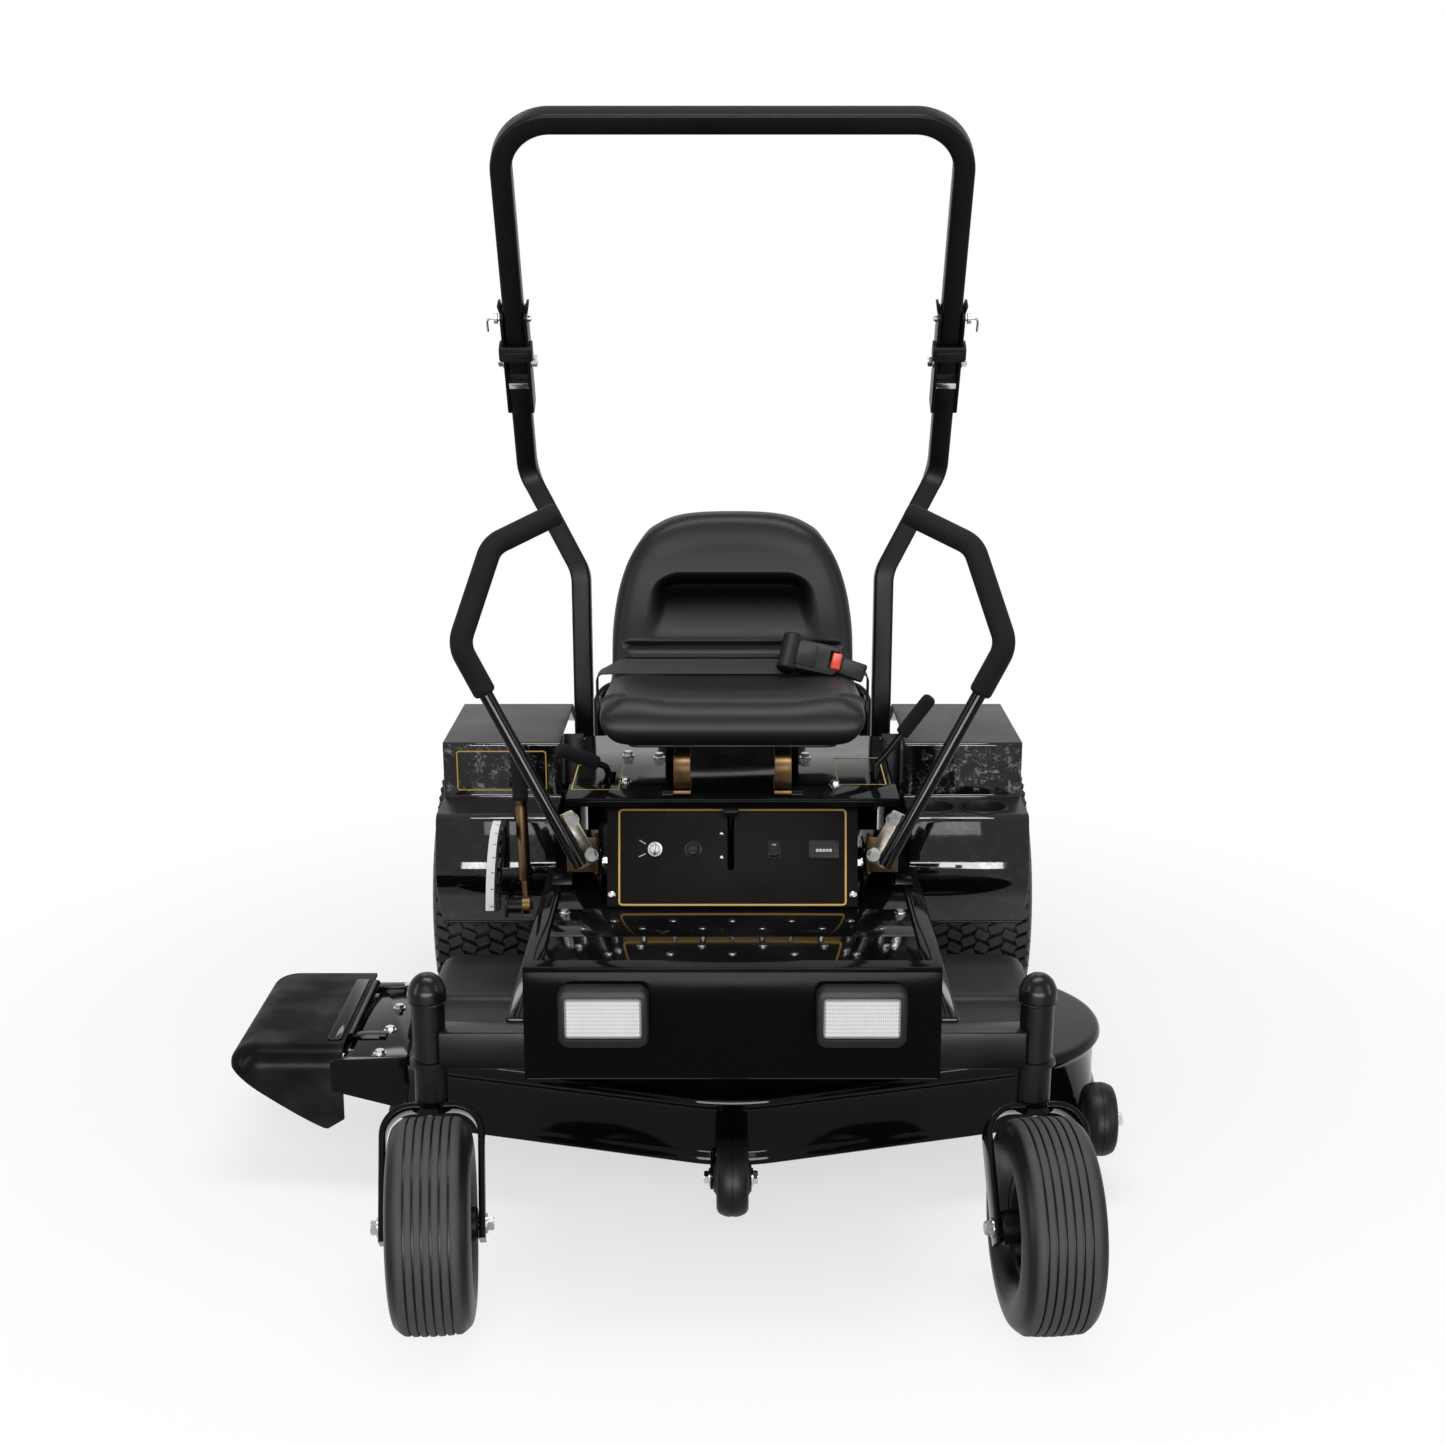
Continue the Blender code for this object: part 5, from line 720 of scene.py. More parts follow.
    def mark(self, name, value):
        """Stores a number on every point, worked out from the point's place."""
        layer = self.bm.verts.layers.float.get(name) or self.bm.verts.layers.float.new(name)
        for vert in self.bm.verts:
            vert[layer] = value(vert.co)
        return self

    def object(self, name):
        mesh = bpy.data.meshes.new(name)
        self.bm.to_mesh(mesh)
        self.bm.free()
        return added(name, mesh)

    def piece(self, name, body, look, *replaced, slot=None, smooth=32):
        return dressed(self.object(name), body, look, *replaced, slot=slot, smooth=smooth)


DARK_COATS = ("gloss_paint", "shelf_paint", "sleeve_paint", "dimple_paint", "dusty_paint", "satin_paint",
              "moulded_plastic", "chute_rubber", "seat_vinyl", "tyre_rubber")
SHINY = []


def dressed(obj, body, look, *replaced, slot=None, smooth=32):
    """Gives a finished mesh its finish and body, and hides the nodes that it stands for."""
    obj.data.materials.clear()
    obj.data.materials.append(finish(look))
    obj.data.shade_smooth()
    obj.data.set_sharp_from_angle(angle=math.radians(smooth))
    if look in DARK_COATS:
        SHINY.append(obj)
    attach(obj, body)
    if replaced:
        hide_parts(*replaced)
    return obj


def plain_mesh(obj):
    """The object with its modifiers turned into a plain mesh."""
    bpy.context.view_layer.update()
    graph = bpy.context.evaluated_depsgraph_get()
    mesh = bpy.data.meshes.new_from_object(obj.evaluated_get(graph))
    obj.modifiers.clear()
    obj.data = mesh
    return obj


# Repeats made with Geometry Nodes


class Tree:
    """A Geometry Nodes tree while it is being wired, with named inputs for its sizes."""

    def __init__(self, name, **sizes):
        self.group = bpy.data.node_groups.new(name, "GeometryNodeTree")
        face = self.group.interface
        face.new_socket("Geometry", in_out="INPUT", socket_type="NodeSocketGeometry")
        for size, value in sizes.items():
            face.new_socket(size, in_out="INPUT", socket_type="NodeSocketFloat").default_value = value
        face.new_socket("Geometry", in_out="OUTPUT", socket_type="NodeSocketGeometry")
        self.start = self.group.nodes.new("NodeGroupInput")
        self.end = self.group.nodes.new("NodeGroupOutput")

    def size(self, name):
        return self.start.outputs[name]

    def node(self, kind, settings=None, out=0, **named):
        node = self.group.nodes.new(kind)
        for key, value in (settings or {}).items():
            setattr(node, key, value)
        for key, value in named.items():
            socket = next(s for s in node.inputs if s.enabled and s.name == key.replace("_", " "))
            if isinstance(value, bpy.types.NodeSocket):
                self.group.links.new(value, socket)
            else:
                socket.default_value = value
        return node.outputs[out]

    def join(self, *parts):
        node = self.group.nodes.new("GeometryNodeJoinGeometry")
        for part in reversed(parts):
            self.group.links.new(part, node.inputs[0])
        return node.outputs[0]

    def moved(self, part, **named):
        return self.node("GeometryNodeTransform", None, Geometry=part, **named)

    def vector(self, x=0.0, y=0.0, z=0.0):
        return self.node("ShaderNodeCombineXYZ", None, X=x, Y=y, Z=z)

    def times(self, value, factor):
        node = self.group.nodes.new("ShaderNodeMath")
        node.operation = "MULTIPLY"
        self.group.links.new(value, node.inputs[0])
        node.inputs[1].default_value = factor
        return node.outputs[0]


def stamped(name, spots, stamp, look, **sizes):
    """Copies of a stamp, one on each spot of (place, facing, turn), as one plain mesh object."""
    tree = Tree(name + "_tree", **sizes)
    shape = stamp(tree)
    facing = tree.node("GeometryNodeInputNamedAttribute", {"data_type": "FLOAT_VECTOR"}, Name="facing")
    turn = tree.node("GeometryNodeInputNamedAttribute", {"data_type": "FLOAT"}, Name="turn")
    lie = tree.node("FunctionNodeAlignRotationToVector", {"axis": "Z"}, Vector=facing)
    spin = tree.node("FunctionNodeAxisAngleToRotation", None, Axis=(0, 0, 1), Angle=turn)
    both = tree.node("FunctionNodeRotateRotation", {"rotation_space": "LOCAL"}, Rotation=lie, Rotate_By=spin)
    copies = tree.node("GeometryNodeInstanceOnPoints", None, Points=tree.size("Geometry"), Instance=shape,
                       Rotation=both)
    whole = tree.node("GeometryNodeRealizeInstances", None, Geometry=copies)
    set_look = tree.node("GeometryNodeSetMaterial", None, Geometry=whole, Material=finish(look))
    tree.group.links.new(set_look, tree.end.inputs[0])
    mesh = bpy.data.meshes.new(name)
    mesh.from_pydata([tuple(place) for place, _, _ in spots], [], [])
    mesh.attributes.new("facing", "FLOAT_VECTOR", "POINT")
    mesh.attributes.new("turn", "FLOAT", "POINT")
    mesh.attributes["facing"].data.foreach_set("vector", [part for _, facing, _ in spots for part in facing])
    mesh.attributes["turn"].data.foreach_set("value", [angle for _, _, angle in spots])
    obj = added(name, mesh)
    modifier = obj.modifiers.new("stamp", "NODES")
    modifier.node_group = tree.group
    for item in tree.group.interface.items_tree:
        if item.in_out == "INPUT" and item.name in sizes:
            modifier[item.identifier] = float(sizes[item.name])
    return plain_mesh(obj)


def cylinder(tree, sides, radius, depth, lift):
    """A closed upright cylinder with its middle lifted above the spot."""
    body = tree.node("GeometryNodeMeshCylinder", {"fill_type": "NGON"}, Vertices=sides, Radius=radius,
                     Depth=depth)
    return tree.moved(body, Translation=tree.vector(z=lift))


def bolt_stamp(tree):
    """A hexagon head with its flange, sunk a little into what it clamps."""
    head = cylinder(tree, 6, tree.size("Radius"), tree.size("Height"), tree.times(tree.size("Height"), 0.65))
    crown = cylinder(tree, 18, tree.times(tree.size("Radius"), 0.82), tree.size("Height"),
                     tree.times(tree.size("Height"), 0.76))
    flange = cylinder(tree, 20, tree.times(tree.size("Radius"), 1.32), tree.times(tree.size("Height"), 0.5),
                      tree.times(tree.size("Height"), 0.05))
    return tree.join(head, crown, flange)


def dome_stamp(tree):
    """A low round head or a pressed dimple."""
    ball = tree.node("GeometryNodeMeshUVSphere", None, Segments=20, Rings=10, Radius=tree.size("Radius"))
    flat = tree.node("ShaderNodeMath", {"operation": "DIVIDE"}, Value=tree.size("Height"))
    tree.group.links.new(tree.size("Radius"), flat.node.inputs[1])
    return tree.moved(ball, Scale=tree.vector(1.0, 1.0, flat))


def block_stamp(tree):
    """A tread block or a rib: a box with its length along its own X."""
    size = tree.vector(tree.size("Length"), tree.size("Width"), tree.size("Height"))
    return tree.node("GeometryNodeMeshCube", None, Size=size)


def bolts(name, body, spots, radius=0.008, height=0.006, look="bright_zinc"):
    """Flanged hexagon heads on spots of (place, facing)."""
    spots = [(place, facing, 0.3 * i) for i, (place, facing) in enumerate(spots)]
    return dressed(stamped(name, spots, bolt_stamp, look, Radius=radius, Height=height), body, look)


def domes(name, body, spots, radius, height, look="bright_zinc"):
    """Low round heads on spots of (place, facing)."""
    spots = [(place, facing, 0.0) for place, facing in spots]
    return dressed(stamped(name, spots, dome_stamp, look, Radius=radius, Height=height), body, look)


def blocks(name, body, spots, look, size, slot=None):
    """Boxes of one size on spots of (place, facing, turn)."""
    length, width, height = size
    made = stamped(name, spots, block_stamp, look, Length=length, Width=width, Height=height)
    return dressed(made, body, look, slot=slot)


# What a user would change


class MowerColours(bpy.types.PropertyGroup):
    """Colours of the main finishes."""

    paint: bpy.props.FloatVectorProperty(name="Paint", description="Enamel on the frame, deck and fenders",
                                         subtype="COLOR", default=(0.0035, 0.0035, 0.004))
    vinyl: bpy.props.FloatVectorProperty(
        name="Vinyl", description="Cover of the seat", subtype="COLOR", default=(0.0105, 0.0110, 0.0120))
    plating: bpy.props.FloatVectorProperty(name="Plating", description="Yellow zinc on yokes and springs",
                                           subtype="COLOR", default=(0.16, 0.102, 0.048))
    ink: bpy.props.FloatVectorProperty(
        name="Line ink", description="Printed border lines", subtype="COLOR", default=(0.75, 0.45, 0.08))


class MowerSizes(bpy.types.PropertyGroup):
    """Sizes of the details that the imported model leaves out."""

    tread_depth: bpy.props.FloatProperty(
        name="Tread depth", description="Height of the rear tyres' blocks", default=0.009, unit="LENGTH")
    tread_rows: bpy.props.IntProperty(
        name="Tread rows", description="Block rows round a rear tyre", default=64, min=8)
    dimple_radius: bpy.props.FloatProperty(name="Dimple",
                                           description="Radius of a pressed dimple on the footplate",
                                           default=0.0075, unit="LENGTH")
    dimple_pitch: bpy.props.FloatProperty(
        name="Dimple pitch", description="Distance between dimples of one row", default=0.052, unit="LENGTH")


def sizes():
    return bpy.context.scene.mower_sizes


# Wheels


def smooth_line(points, steps=6):
    """A smooth line through flat points, each stretch with the same count of steps."""
    points = [Vector(point) for point in points]
    ends = [points[0] * 2 - points[1], *points, points[-1] * 2 - points[-2]]
    out = []
    for a, b, c, d in zip(ends, ends[1:], ends[2:], ends[3:]):
        for i in range(steps):
            t = i / steps
            curve = (a * 2 - b * 5 + c * 4 - d) * t**2
            spot = (b * 2 + (c - a) * t + curve + (b * 3 - a - c * 3 + d) * t**3) / 2
            out.append((spot.x, spot.y))
    out.append((points[-1].x, points[-1].y))
    return out


def mirrored(profile):
    """A turned profile with its far half added, so that it runs from one face to the other."""
    return list(profile) + [(radius, -height) for radius, height in reversed(profile)]


def tread_spots(centre, radius, half, rows, lean):
    """Block places round a tyre: eight lanes whose blocks lean by turns, so that they lock in zigzags."""
    spots = []
    lanes = 8
    for row in range(rows):
        for lane in range(lanes):
            across = ((lane + 0.5) / lanes * 2 - 1) * 0.90 * half
            angle = 2 * math.pi * (row + 0.5 * (lane % 2)) / rows
            out = Vector((0, math.cos(angle), math.sin(angle)))
            slant = lean if lane % 2 else -lean
            drop = 0.010 * (across / half) ** 4
            spots.append((Vector(centre) + Vector((across, 0, 0)) + out * (radius - drop), out, slant))
    return spots


def rear_wheel(side, name):
    """A tyre with a ring on each wall and stamped tread blocks, on its rim."""
    depth = sizes().tread_depth
    body = "rear_wheel_" + name
    centre = middle("rear_tyre_" + name)
    low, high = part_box("rear_tyre_" + name)
    half = (high.x - low.x) / 2
    crown = (high.z - low.z) / 2
    bead = 0.131
    wall = smooth_line([(bead, 0.80 * half), (bead + 0.010, 0.92 * half), (bead + 0.045, 0.995 * half),
                        (crown - 0.060, 0.995 * half), (crown - 0.028, 0.93 * half),
                        (crown - depth - 0.006, 0.80 * half), (crown - depth, 0.52 * half),
                        (crown - depth, 0)])
    rib = [(bead + 0.016, 0.935 * half + 0.001), (bead + 0.021, 0.99 * half)]
    inner = [(bead + 0.020, -0.70 * half), (bead + 0.020, 0.70 * half)]
    tyre = Shape().turned(mirrored(wall) + inner, centre, (1, 0, 0), 96, closed=True)
    for flip in (1, -1):
        ring = [(radius, flip * (height + 0.0015)) for radius, height in rib]
        ring += [(radius, flip * (height - 0.004)) for radius, height in reversed(rib)]
        tyre.turned(ring, centre, (1, 0, 0), 96, closed=True)
    tyre.mark("tread", lambda co: 0.0)
    tyre.piece("rear_tyre_look_" + name, body, "tyre_rubber", "rear_tyre_" + name, smooth=40)
    spots = tread_spots(centre, crown - depth / 2 - 0.0005, half, sizes().tread_rows, math.radians(24))
    tread = stamped("rear_tread_" + name, spots, block_stamp, "tyre_rubber", Length=0.0265, Width=0.0172,
                    Height=depth + 0.002)

    def on_top(co):
        return 0.60 if math.hypot(co.y - centre.y, co.z - centre.z) > crown - depth * 0.4 else 0.0

    worn(tread, on_top)
    dressed(tread, body, "tyre_rubber", smooth=30)
    rear_rim(side, name, centre, body)


def worn(obj, value):
    """Stores how far each point of a tread is rubbed grey."""
    layer = obj.data.attributes.new("tread", "FLOAT", "POINT")
    for vert, item in zip(obj.data.vertices, layer.data):
        item.value = value(vert.co)


def rear_rim(side, name, centre, body):
    """A pressed steel disc in a welded barrel, with five lug nuts round its hub."""
    low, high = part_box("rear_rim_" + name)
    half = (high.x - low.x) / 2
    outer = (high.z - low.z) / 2
    hub = 0.045
    face = 0.047
    profile = [(0, face - 0.006), (0.016, face - 0.005), (0.020, face - 0.012), (hub - 0.004, face - 0.012),
               (hub + 0.004, face - 0.009), (hub + 0.012, face), (outer - 0.036, face),
               (outer - 0.028, face + 0.006), (outer - 0.018, half - 0.006), (outer - 0.014, half - 0.002),
               (outer - 0.006, half), (outer, half - 0.001), (outer, 0.66 * half),
               (outer - 0.006, 0.60 * half), (outer - 0.006, -0.60 * half), (outer, -0.66 * half),
               (outer, -half), (outer - 0.006, -half), (outer - 0.015, -0.60 * half), (outer - 0.015, 0.020),
               (hub + 0.012, 0.020), (hub, -0.012), (0, -0.012)]
    rim = Shape().turned(profile, centre, (side, 0, 0), 96)
    rim.piece("rear_rim_look_" + name, body, "satin_paint", "rear_rim_" + name, smooth=28)
    spots = []
    for i in range(5):
        angle = 2 * math.pi * i / 5
        out = Vector((0, math.cos(angle), math.sin(angle))) * 0.070
        spots.append((centre + side * face * LEFT + out, side * LEFT))
    bolts("rear_lug_nuts_" + name, body, spots, 0.012, 0.013)


def caster_axes(name):
    """The wheel's centre and axle, and the point on the ground under its swivel."""
    spin = JOINTS["caster_spin_" + name]
    swivel = JOINTS["caster_swivel_" + name]
    return Vector(spin["pos_m"]), Vector(spin["axis"]), Vector(swivel["pos_m"])


def caster_wheel(name):
    """A ribbed tyre with shiny walls on a small rim."""
    body = "caster_wheel_" + name
    centre, axle, _ = caster_axes(name)
    half = 0.0635
    crown = 0.165
    bead = 0.0812
    groove = 0.006
    camber = 0.005
    tread = 0.72 * half
    ribs = 7
    pitch = 2 * tread / ribs
    wall = smooth_line([(bead, 0.62 * half), (bead + 0.010, 0.80 * half), (bead + 0.028, 0.95 * half),
                        (crown - 0.042, half), (crown - 0.018, 0.93 * half), (crown - 0.0075, 0.79 * half)])
    line = list(wall)
    for rib in range(ribs):
        first = tread - rib * pitch
        last = first - pitch
        land = 0.0017
        for height in (first - land, first - land - 0.0018, (first + last) / 2, last + land + 0.0018,
                       last + land):
            drop = camber * (height / half) ** 2
            edge = 0.0009 if height in (first - land, last + land) else 0
            line.append((crown - drop - edge, height))
        if rib < ribs - 1:
            drop = camber * (last / half) ** 2 + groove
            line.append((crown - drop, last + 0.0013))
            line.append((crown - drop, last - 0.0013))
    line += [(radius, -height) for radius, height in reversed(wall)]
    tyre = Shape().turned(line, centre, axle, 96, closed=True)

    def on_top(co):
        out = co - centre
        height = out.dot(axle)
        radius = (out - axle * height).length
        return 1.0 if radius > crown - 0.0023 - camber * (height / half) ** 2 else 0.0

    tyre.mark("tread", on_top)
    tyre.piece("caster_tyre_look_" + name, body, "tyre_rubber", "caster_tyre_" + name, smooth=24)
    hub = 0.026
    rim = [(0.0108, 0.069), (hub - 0.003, 0.069), (hub, 0.066), (hub, 0.022), (hub + 0.006, 0.014),
           (0.056, 0.011), (0.064, 0.016), (0.070, 0.036), (0.074, 0.0385), (0.080, 0.0385)]
    disc = Shape().turned(mirrored(rim), centre, axle, 72, closed=True)
    disc.piece("caster_rim_look_" + name, body, "satin_paint", "caster_rim_" + name)


def scalp_wheel(name):
    """A barrel-shaped roller with a parting line round its middle."""
    node = "anti_scalp_wheel_" + name
    centre = middle(node)
    low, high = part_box(node)
    half = (high.x - low.x) / 2
    crown = (high.z - low.z) / 2
    rim = smooth_line([(crown - 0.013, half - 0.005), (crown - 0.006, half - 0.009),
                       (crown - 0.0015, half - 0.018), (crown, 0.007)], 4)
    line = [(0.0087, half), (0.023, half), (0.025, half - 0.002), (0.033, half - 0.007),
            (crown - 0.018, half - 0.006)]
    line += rim + [(crown, 0.0012), (crown - 0.0012, 0.0006)]
    wheel = Shape().turned(mirrored(line), centre, (1, 0, 0), 72, closed=True)
    wheel.piece("anti_scalp_look_" + name, "scalp_" + name, "moulded_plastic", node, smooth=28)


def add_wheels():
    for name, side in SIDES.items():
        rear_wheel(side, name)
        caster_wheel(name)
    for name in ("front", "side"):
        scalp_wheel(name)


# Casters


def caster_fork(name):
    """A flat bar bent over the tyre, with its stem and the wheel's axle."""
    body = "caster_" + name
    centre, axle, spindle = caster_axes(name)
    bar = 0.010
    top = 0.321
    reach = axle * (0.0635 + 0.007 + bar / 2)
    crown = Vector((spindle.x, spindle.y, top - bar))
    rake = (centre - crown).normalized()
    foot = centre + rake * 0.0252
    route = bent([foot + reach, crown + reach, crown - reach, foot - reach], 0.045, 12)
    fork = Shape().swept(route, rectangle(0, 0, 0.021, bar / 2, 0.0022, 3), axle.cross(rake))
    weld = [(0, 0.0013), (0.0235, 0.0013), (0.0255, 0), (0.0255, -0.007), (0.032, -0.0145), (0, -0.0145)]
    fork.turned(weld, (spindle.x, spindle.y, 0.3264), steps=48)
    fork.rod((spindle.x, spindle.y, top - 0.009), (spindle.x, spindle.y, 0.485), 0.0125, 32)
    end = reach + axle * (bar / 2 + 0.006)
    fork.rod(centre - end, centre + end, 0.010, 32)
    fork.piece("caster_fork_look_" + name, body, "gloss_paint", "caster_fork_" + name)
    outer = reach + axle * bar / 2
    bolts("caster_axle_bolts_" + name, body, [(centre + outer, axle), (centre - outer, -axle)], 0.0115, 0.010,
          "plain_steel")


def caster_beam():
    """The cross tube with a smooth sleeve and a domed cap over each caster stem."""
    low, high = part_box("caster_beam")
    y = JOINTS["caster_swivel_left"]["pos_m"][1]
    beam = Shape()
    reach, sleeve_x = 0.448, 0.465
    beam.box((-reach, y - 0.025, 0.385), (reach, y + 0.025, 0.445), 0.003, 3)
    dome = smooth_line([(0.0, high.z), (0.012, high.z - 0.0025), (0.022, high.z - 0.011),
                        (0.0285, high.z - 0.024)], 5)
    sleeve = dome + [(0.029, high.z - 0.030), (0.029, 0.491), (0.0278, 0.4895), (0.0278, 0.4885),
                     (0.029, 0.4875), (0.0255, 0.485), (0.0255, low.z + 0.001), (0.0245, low.z),
                     (0.0135, low.z), (0.0135, 0.480), (0, 0.486)]
    ring = [(0.0253, 0.385), (0.031, 0.3865), (0.031, 0.3935), (0.0253, 0.395)]
    for side in SIDES.values():
        spot = (side * sleeve_x, y, 0)
        beam.turned(sleeve, spot, steps=64)
        beam.turned(ring, spot, steps=64, closed=True)
    beam.piece("caster_beam_look", "frame", "sleeve_paint", "caster_beam")


def add_casters():
    for name in SIDES:
        caster_fork(name)
    caster_beam()


# Frame and front panel

RAIL_X = (0.315, 0.350)
RAIL_Z = (0.385, 0.450)
RAIL_Y = (-1.1647, 0.550)
ON_RAIL = 0.4503
INTO_RAIL = 0.321


def mirrored_box(shape, low, high, bevel=0.001):
    """A box and its mirror image on the other side."""
    for side in SIDES.values():
        shape.box((side * low[0], *low[1:]), (side * high[0], *high[1:]), bevel)


def main_frame():
    """Two rails with their cross plates, lever brackets and hitch tongue, and a tube behind the engine."""
    bars = Shape()
    mirrored_box(bars, (RAIL_X[0], RAIL_Y[0], RAIL_Z[0]), (RAIL_X[1], RAIL_Y[1], RAIL_Z[1]), 0.004)
    bars.box((-INTO_RAIL, -0.660, 0.437), (INTO_RAIL, -0.100, 0.445))
    bars.box((-INTO_RAIL, -0.9174, 0.405), (INTO_RAIL, -0.8774, 0.4449), 0.003)
    bars.box((-INTO_RAIL, 0.150, 0.440), (INTO_RAIL, 0.540, 0.448))
    bars.box((-INTO_RAIL, 0.504, 0.389), (INTO_RAIL, 0.544, 0.446), 0.003)
    mirrored_box(bars, (0.235, -0.594, 0.442), (0.239, -0.510, 0.551))
    guard_x = 0.3125
    guard_y = 0.606
    low, high = 0.4175, 0.5875
    route = [(-guard_x, 0.519, low), (-guard_x, guard_y, low), (-guard_x, guard_y, high),
             (guard_x, guard_y, high), (guard_x, guard_y, low), (guard_x, 0.519, low)]
    bars.tube(bent(route, 0.045), 0.0155)
    bars.box((-0.055, 0.519, 0.305), (0.055, 0.527, 0.405), 0.0015)
    tongue = Shape().prism(rectangle(0, 0.564, 0.055, 0.045, 0.012), "Z", 0.303, 0.311, 0.001)
    tongue.cut(Shape().rod((0, 0.589, 0.28), (0, 0.589, 0.33), 0.0095, 32))
    bars.take(tongue.bm)
    bars.piece("main_frame_look", "frame", "gloss_paint", "main_frame")


def front_panel():
    """A folded sheet across the front, with a return at each side."""
    foot_y, top_y = -1.340, -1.328
    low, high = 0.420, 0.590
    half = 0.304
    sheet = 0.004
    path = flat_bent([(top_y + 0.035, high), (top_y, high), (foot_y, low), (foot_y + 0.020, low)], 0.008)
    panel = Shape().prism(strip(path, sheet), "X", -half, half, 0.0006)
    web = [(foot_y + 0.003, low + 0.001), (-1.2153, low + 0.001), (-1.2153, 0.460),
           (top_y + 0.035, high - 0.001), (top_y + 0.004, high - 0.002)]
    for side in SIDES.values():
        panel.prism(web, "X", side * (half - sheet), side * (half - 0.0002), 0.0006)
    panel.piece("front_panel_look", "frame", "shelf_paint", "front_panel")


def headlight(name):
    """A moulded lamp with a deep rim round a pressed lens, whose ribs run up and across."""
    low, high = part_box("headlight_" + name)
    x = (low.x + high.x) / 2
    z = (low.z + high.z) / 2
    half_x, half_z = (high.x - low.x) / 2, (high.z - low.z) / 2
    rings = []
    for inset, y, corner in ((0, high.y, 0.016), (0, low.y + 0.007, 0.016), (0.002, low.y + 0.0025, 0.015),
                             (0.006, low.y, 0.012)):
        outline = rectangle(x, z, half_x - inset, half_z - inset, corner, 6)
        rings.append([(a, y, b) for a, b in outline])
    shell = Shape().loft(rings)
    lens_low, lens_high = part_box("headlight_lens_" + name)
    lens_x, lens_z = (lens_high.x - lens_low.x) / 2, (lens_high.z - lens_low.z) / 2
    pocket = rectangle(x, z, lens_x + GAP, lens_z + GAP, 0.006, 6)
    shell.cut(Shape().prism(pocket, "Y", low.y - 0.01, lens_high.y + GAP))
    shell.piece("headlight_look_" + name, "frame", "moulded_plastic", "headlight_" + name)
    # The lens plate takes the grey painted shade, and the ribs and bands on it the near-white painted
    # highlight.
    lens = Shape().prism(rectangle(x, z, lens_x, lens_z, 0.0057, 6), "Y", lens_low.y + 0.0016, lens_high.y,
                         0.001)
    lens.piece("lens_look_" + name, "frame", "lamp_reflector", "headlight_lens_" + name)
    count, rows = 34, 9
    uprights = []
    for i in range(count):
        across = (i + 0.5) / count * 2 - 1
        uprights.append(((x + across * (lens_x - 0.004), lens_low.y + 0.0014, z), AHEAD, math.pi / 2))
    blocks("lens_ribs_" + name, "frame", uprights, "lamp_lens", (2 * lens_z - 0.008, 0.0024, 0.0014))
    bands = []
    for i in range(rows):
        rise = (i + 0.5) / rows * 2 - 1
        bands.append(((x, lens_low.y + 0.0010, z + rise * (lens_z - 0.004)), AHEAD, 0.0))
    blocks("lens_bands_" + name, "frame", bands, "lamp_lens", (2 * lens_x - 0.006, 0.0030, 0.0018))


# Footplate

FOOT_TOP = 0.4493


def dimple_spots():
    """Pressed dimples in pairs of rows, each row half a pitch off the next."""
    pitch = 2 * sizes().dimple_pitch
    spots = []
    for pair in range(5):
        for row, y in enumerate((-0.694 - 0.132 * pair, -0.735 - 0.132 * pair)):
            shift = (row + pair) % 2
            for i in range(-3, 4):
                x = (i + 0.5 * shift) * pitch
                if abs(x) < 0.27:
                    spots.append(((x, y, FOOT_TOP - 0.0005), UP))
    return spots


def footplate():
    """A gloss plate between the rails, in two lengths that meet in a seam."""
    wide, narrow = 0.3145, 0.2995
    front, beam, seam, rear = -1.318, -1.213, -0.780, -0.630
    low = 0.4454
    ahead = [(-wide, seam - 0.001), (-wide, beam), (-narrow, beam), (-narrow, front), (narrow, front),
             (narrow, beam), (wide, beam), (wide, seam - 0.001)]
    plate = Shape().prism(ahead, "Z", low, FOOT_TOP, 0.0008)
    behind = [(-wide, rear), (-wide, seam + 0.001), (wide, seam + 0.001), (wide, rear)]
    plate.prism(behind, "Z", low, FOOT_TOP, 0.0008)
    plate.box((-wide + 0.001, seam - 0.004, low), (wide - 0.001, seam + 0.004, FOOT_TOP - 0.0015), 0)
    plate.piece("footplate_look", "frame", "gloss_paint", "footplate")
    radius = sizes().dimple_radius
    domes("footplate_dimples", "frame", dimple_spots(), radius, 0.0030, "dimple_paint")
    corners = [((side * 0.298, y, FOOT_TOP), UP) for side in SIDES.values() for y in (-0.655, -1.16)]
    bolts("footplate_bolts", "frame", corners, 0.0075, 0.006)


def add_frame():
    main_frame()
    front_panel()
    footplate()


def add_headlights():
    for name in SIDES:
        headlight(name)


# Console and its controls

CONSOLE_UP = Vector((0, 0.31564, 0.94888))
CONSOLE_OUT = Vector((0, -0.94888, 0.31564))
CONSOLE = Matrix.Translation((0, -0.620, 0.4453)) @ Matrix(
    ((1, 0, 0), (0, CONSOLE_UP.y, CONSOLE_OUT.y), (0, CONSOLE_UP.z, CONSOLE_OUT.z))).to_4x4()
CONTROL_S = 0.108
KEY_X, CHOKE_X, THROTTLE_X, ROCKER_X, METER_X = -0.139, -0.071, -0.003, 0.0745, 0.164


def on_console(x, s, out=0.0):
    """A point given across the console's face, up along it and out from it."""
    return CONSOLE @ Vector((x, s, out))


def at_control(x, out=0.0):
    """The place of a control on the console, with its Z out from the face."""
    return CONSOLE @ Matrix.Translation((x, CONTROL_S, out))


def console_block(x, half_x, half_s, low, high, corner=0.0, bevel=0.0):
    """A block with an upright rectangular outline on the console, in the row of its controls."""
    return Shape().prism(rectangle(x, CONTROL_S, half_x, half_s, corner), "Z", low, high, bevel, CONSOLE)


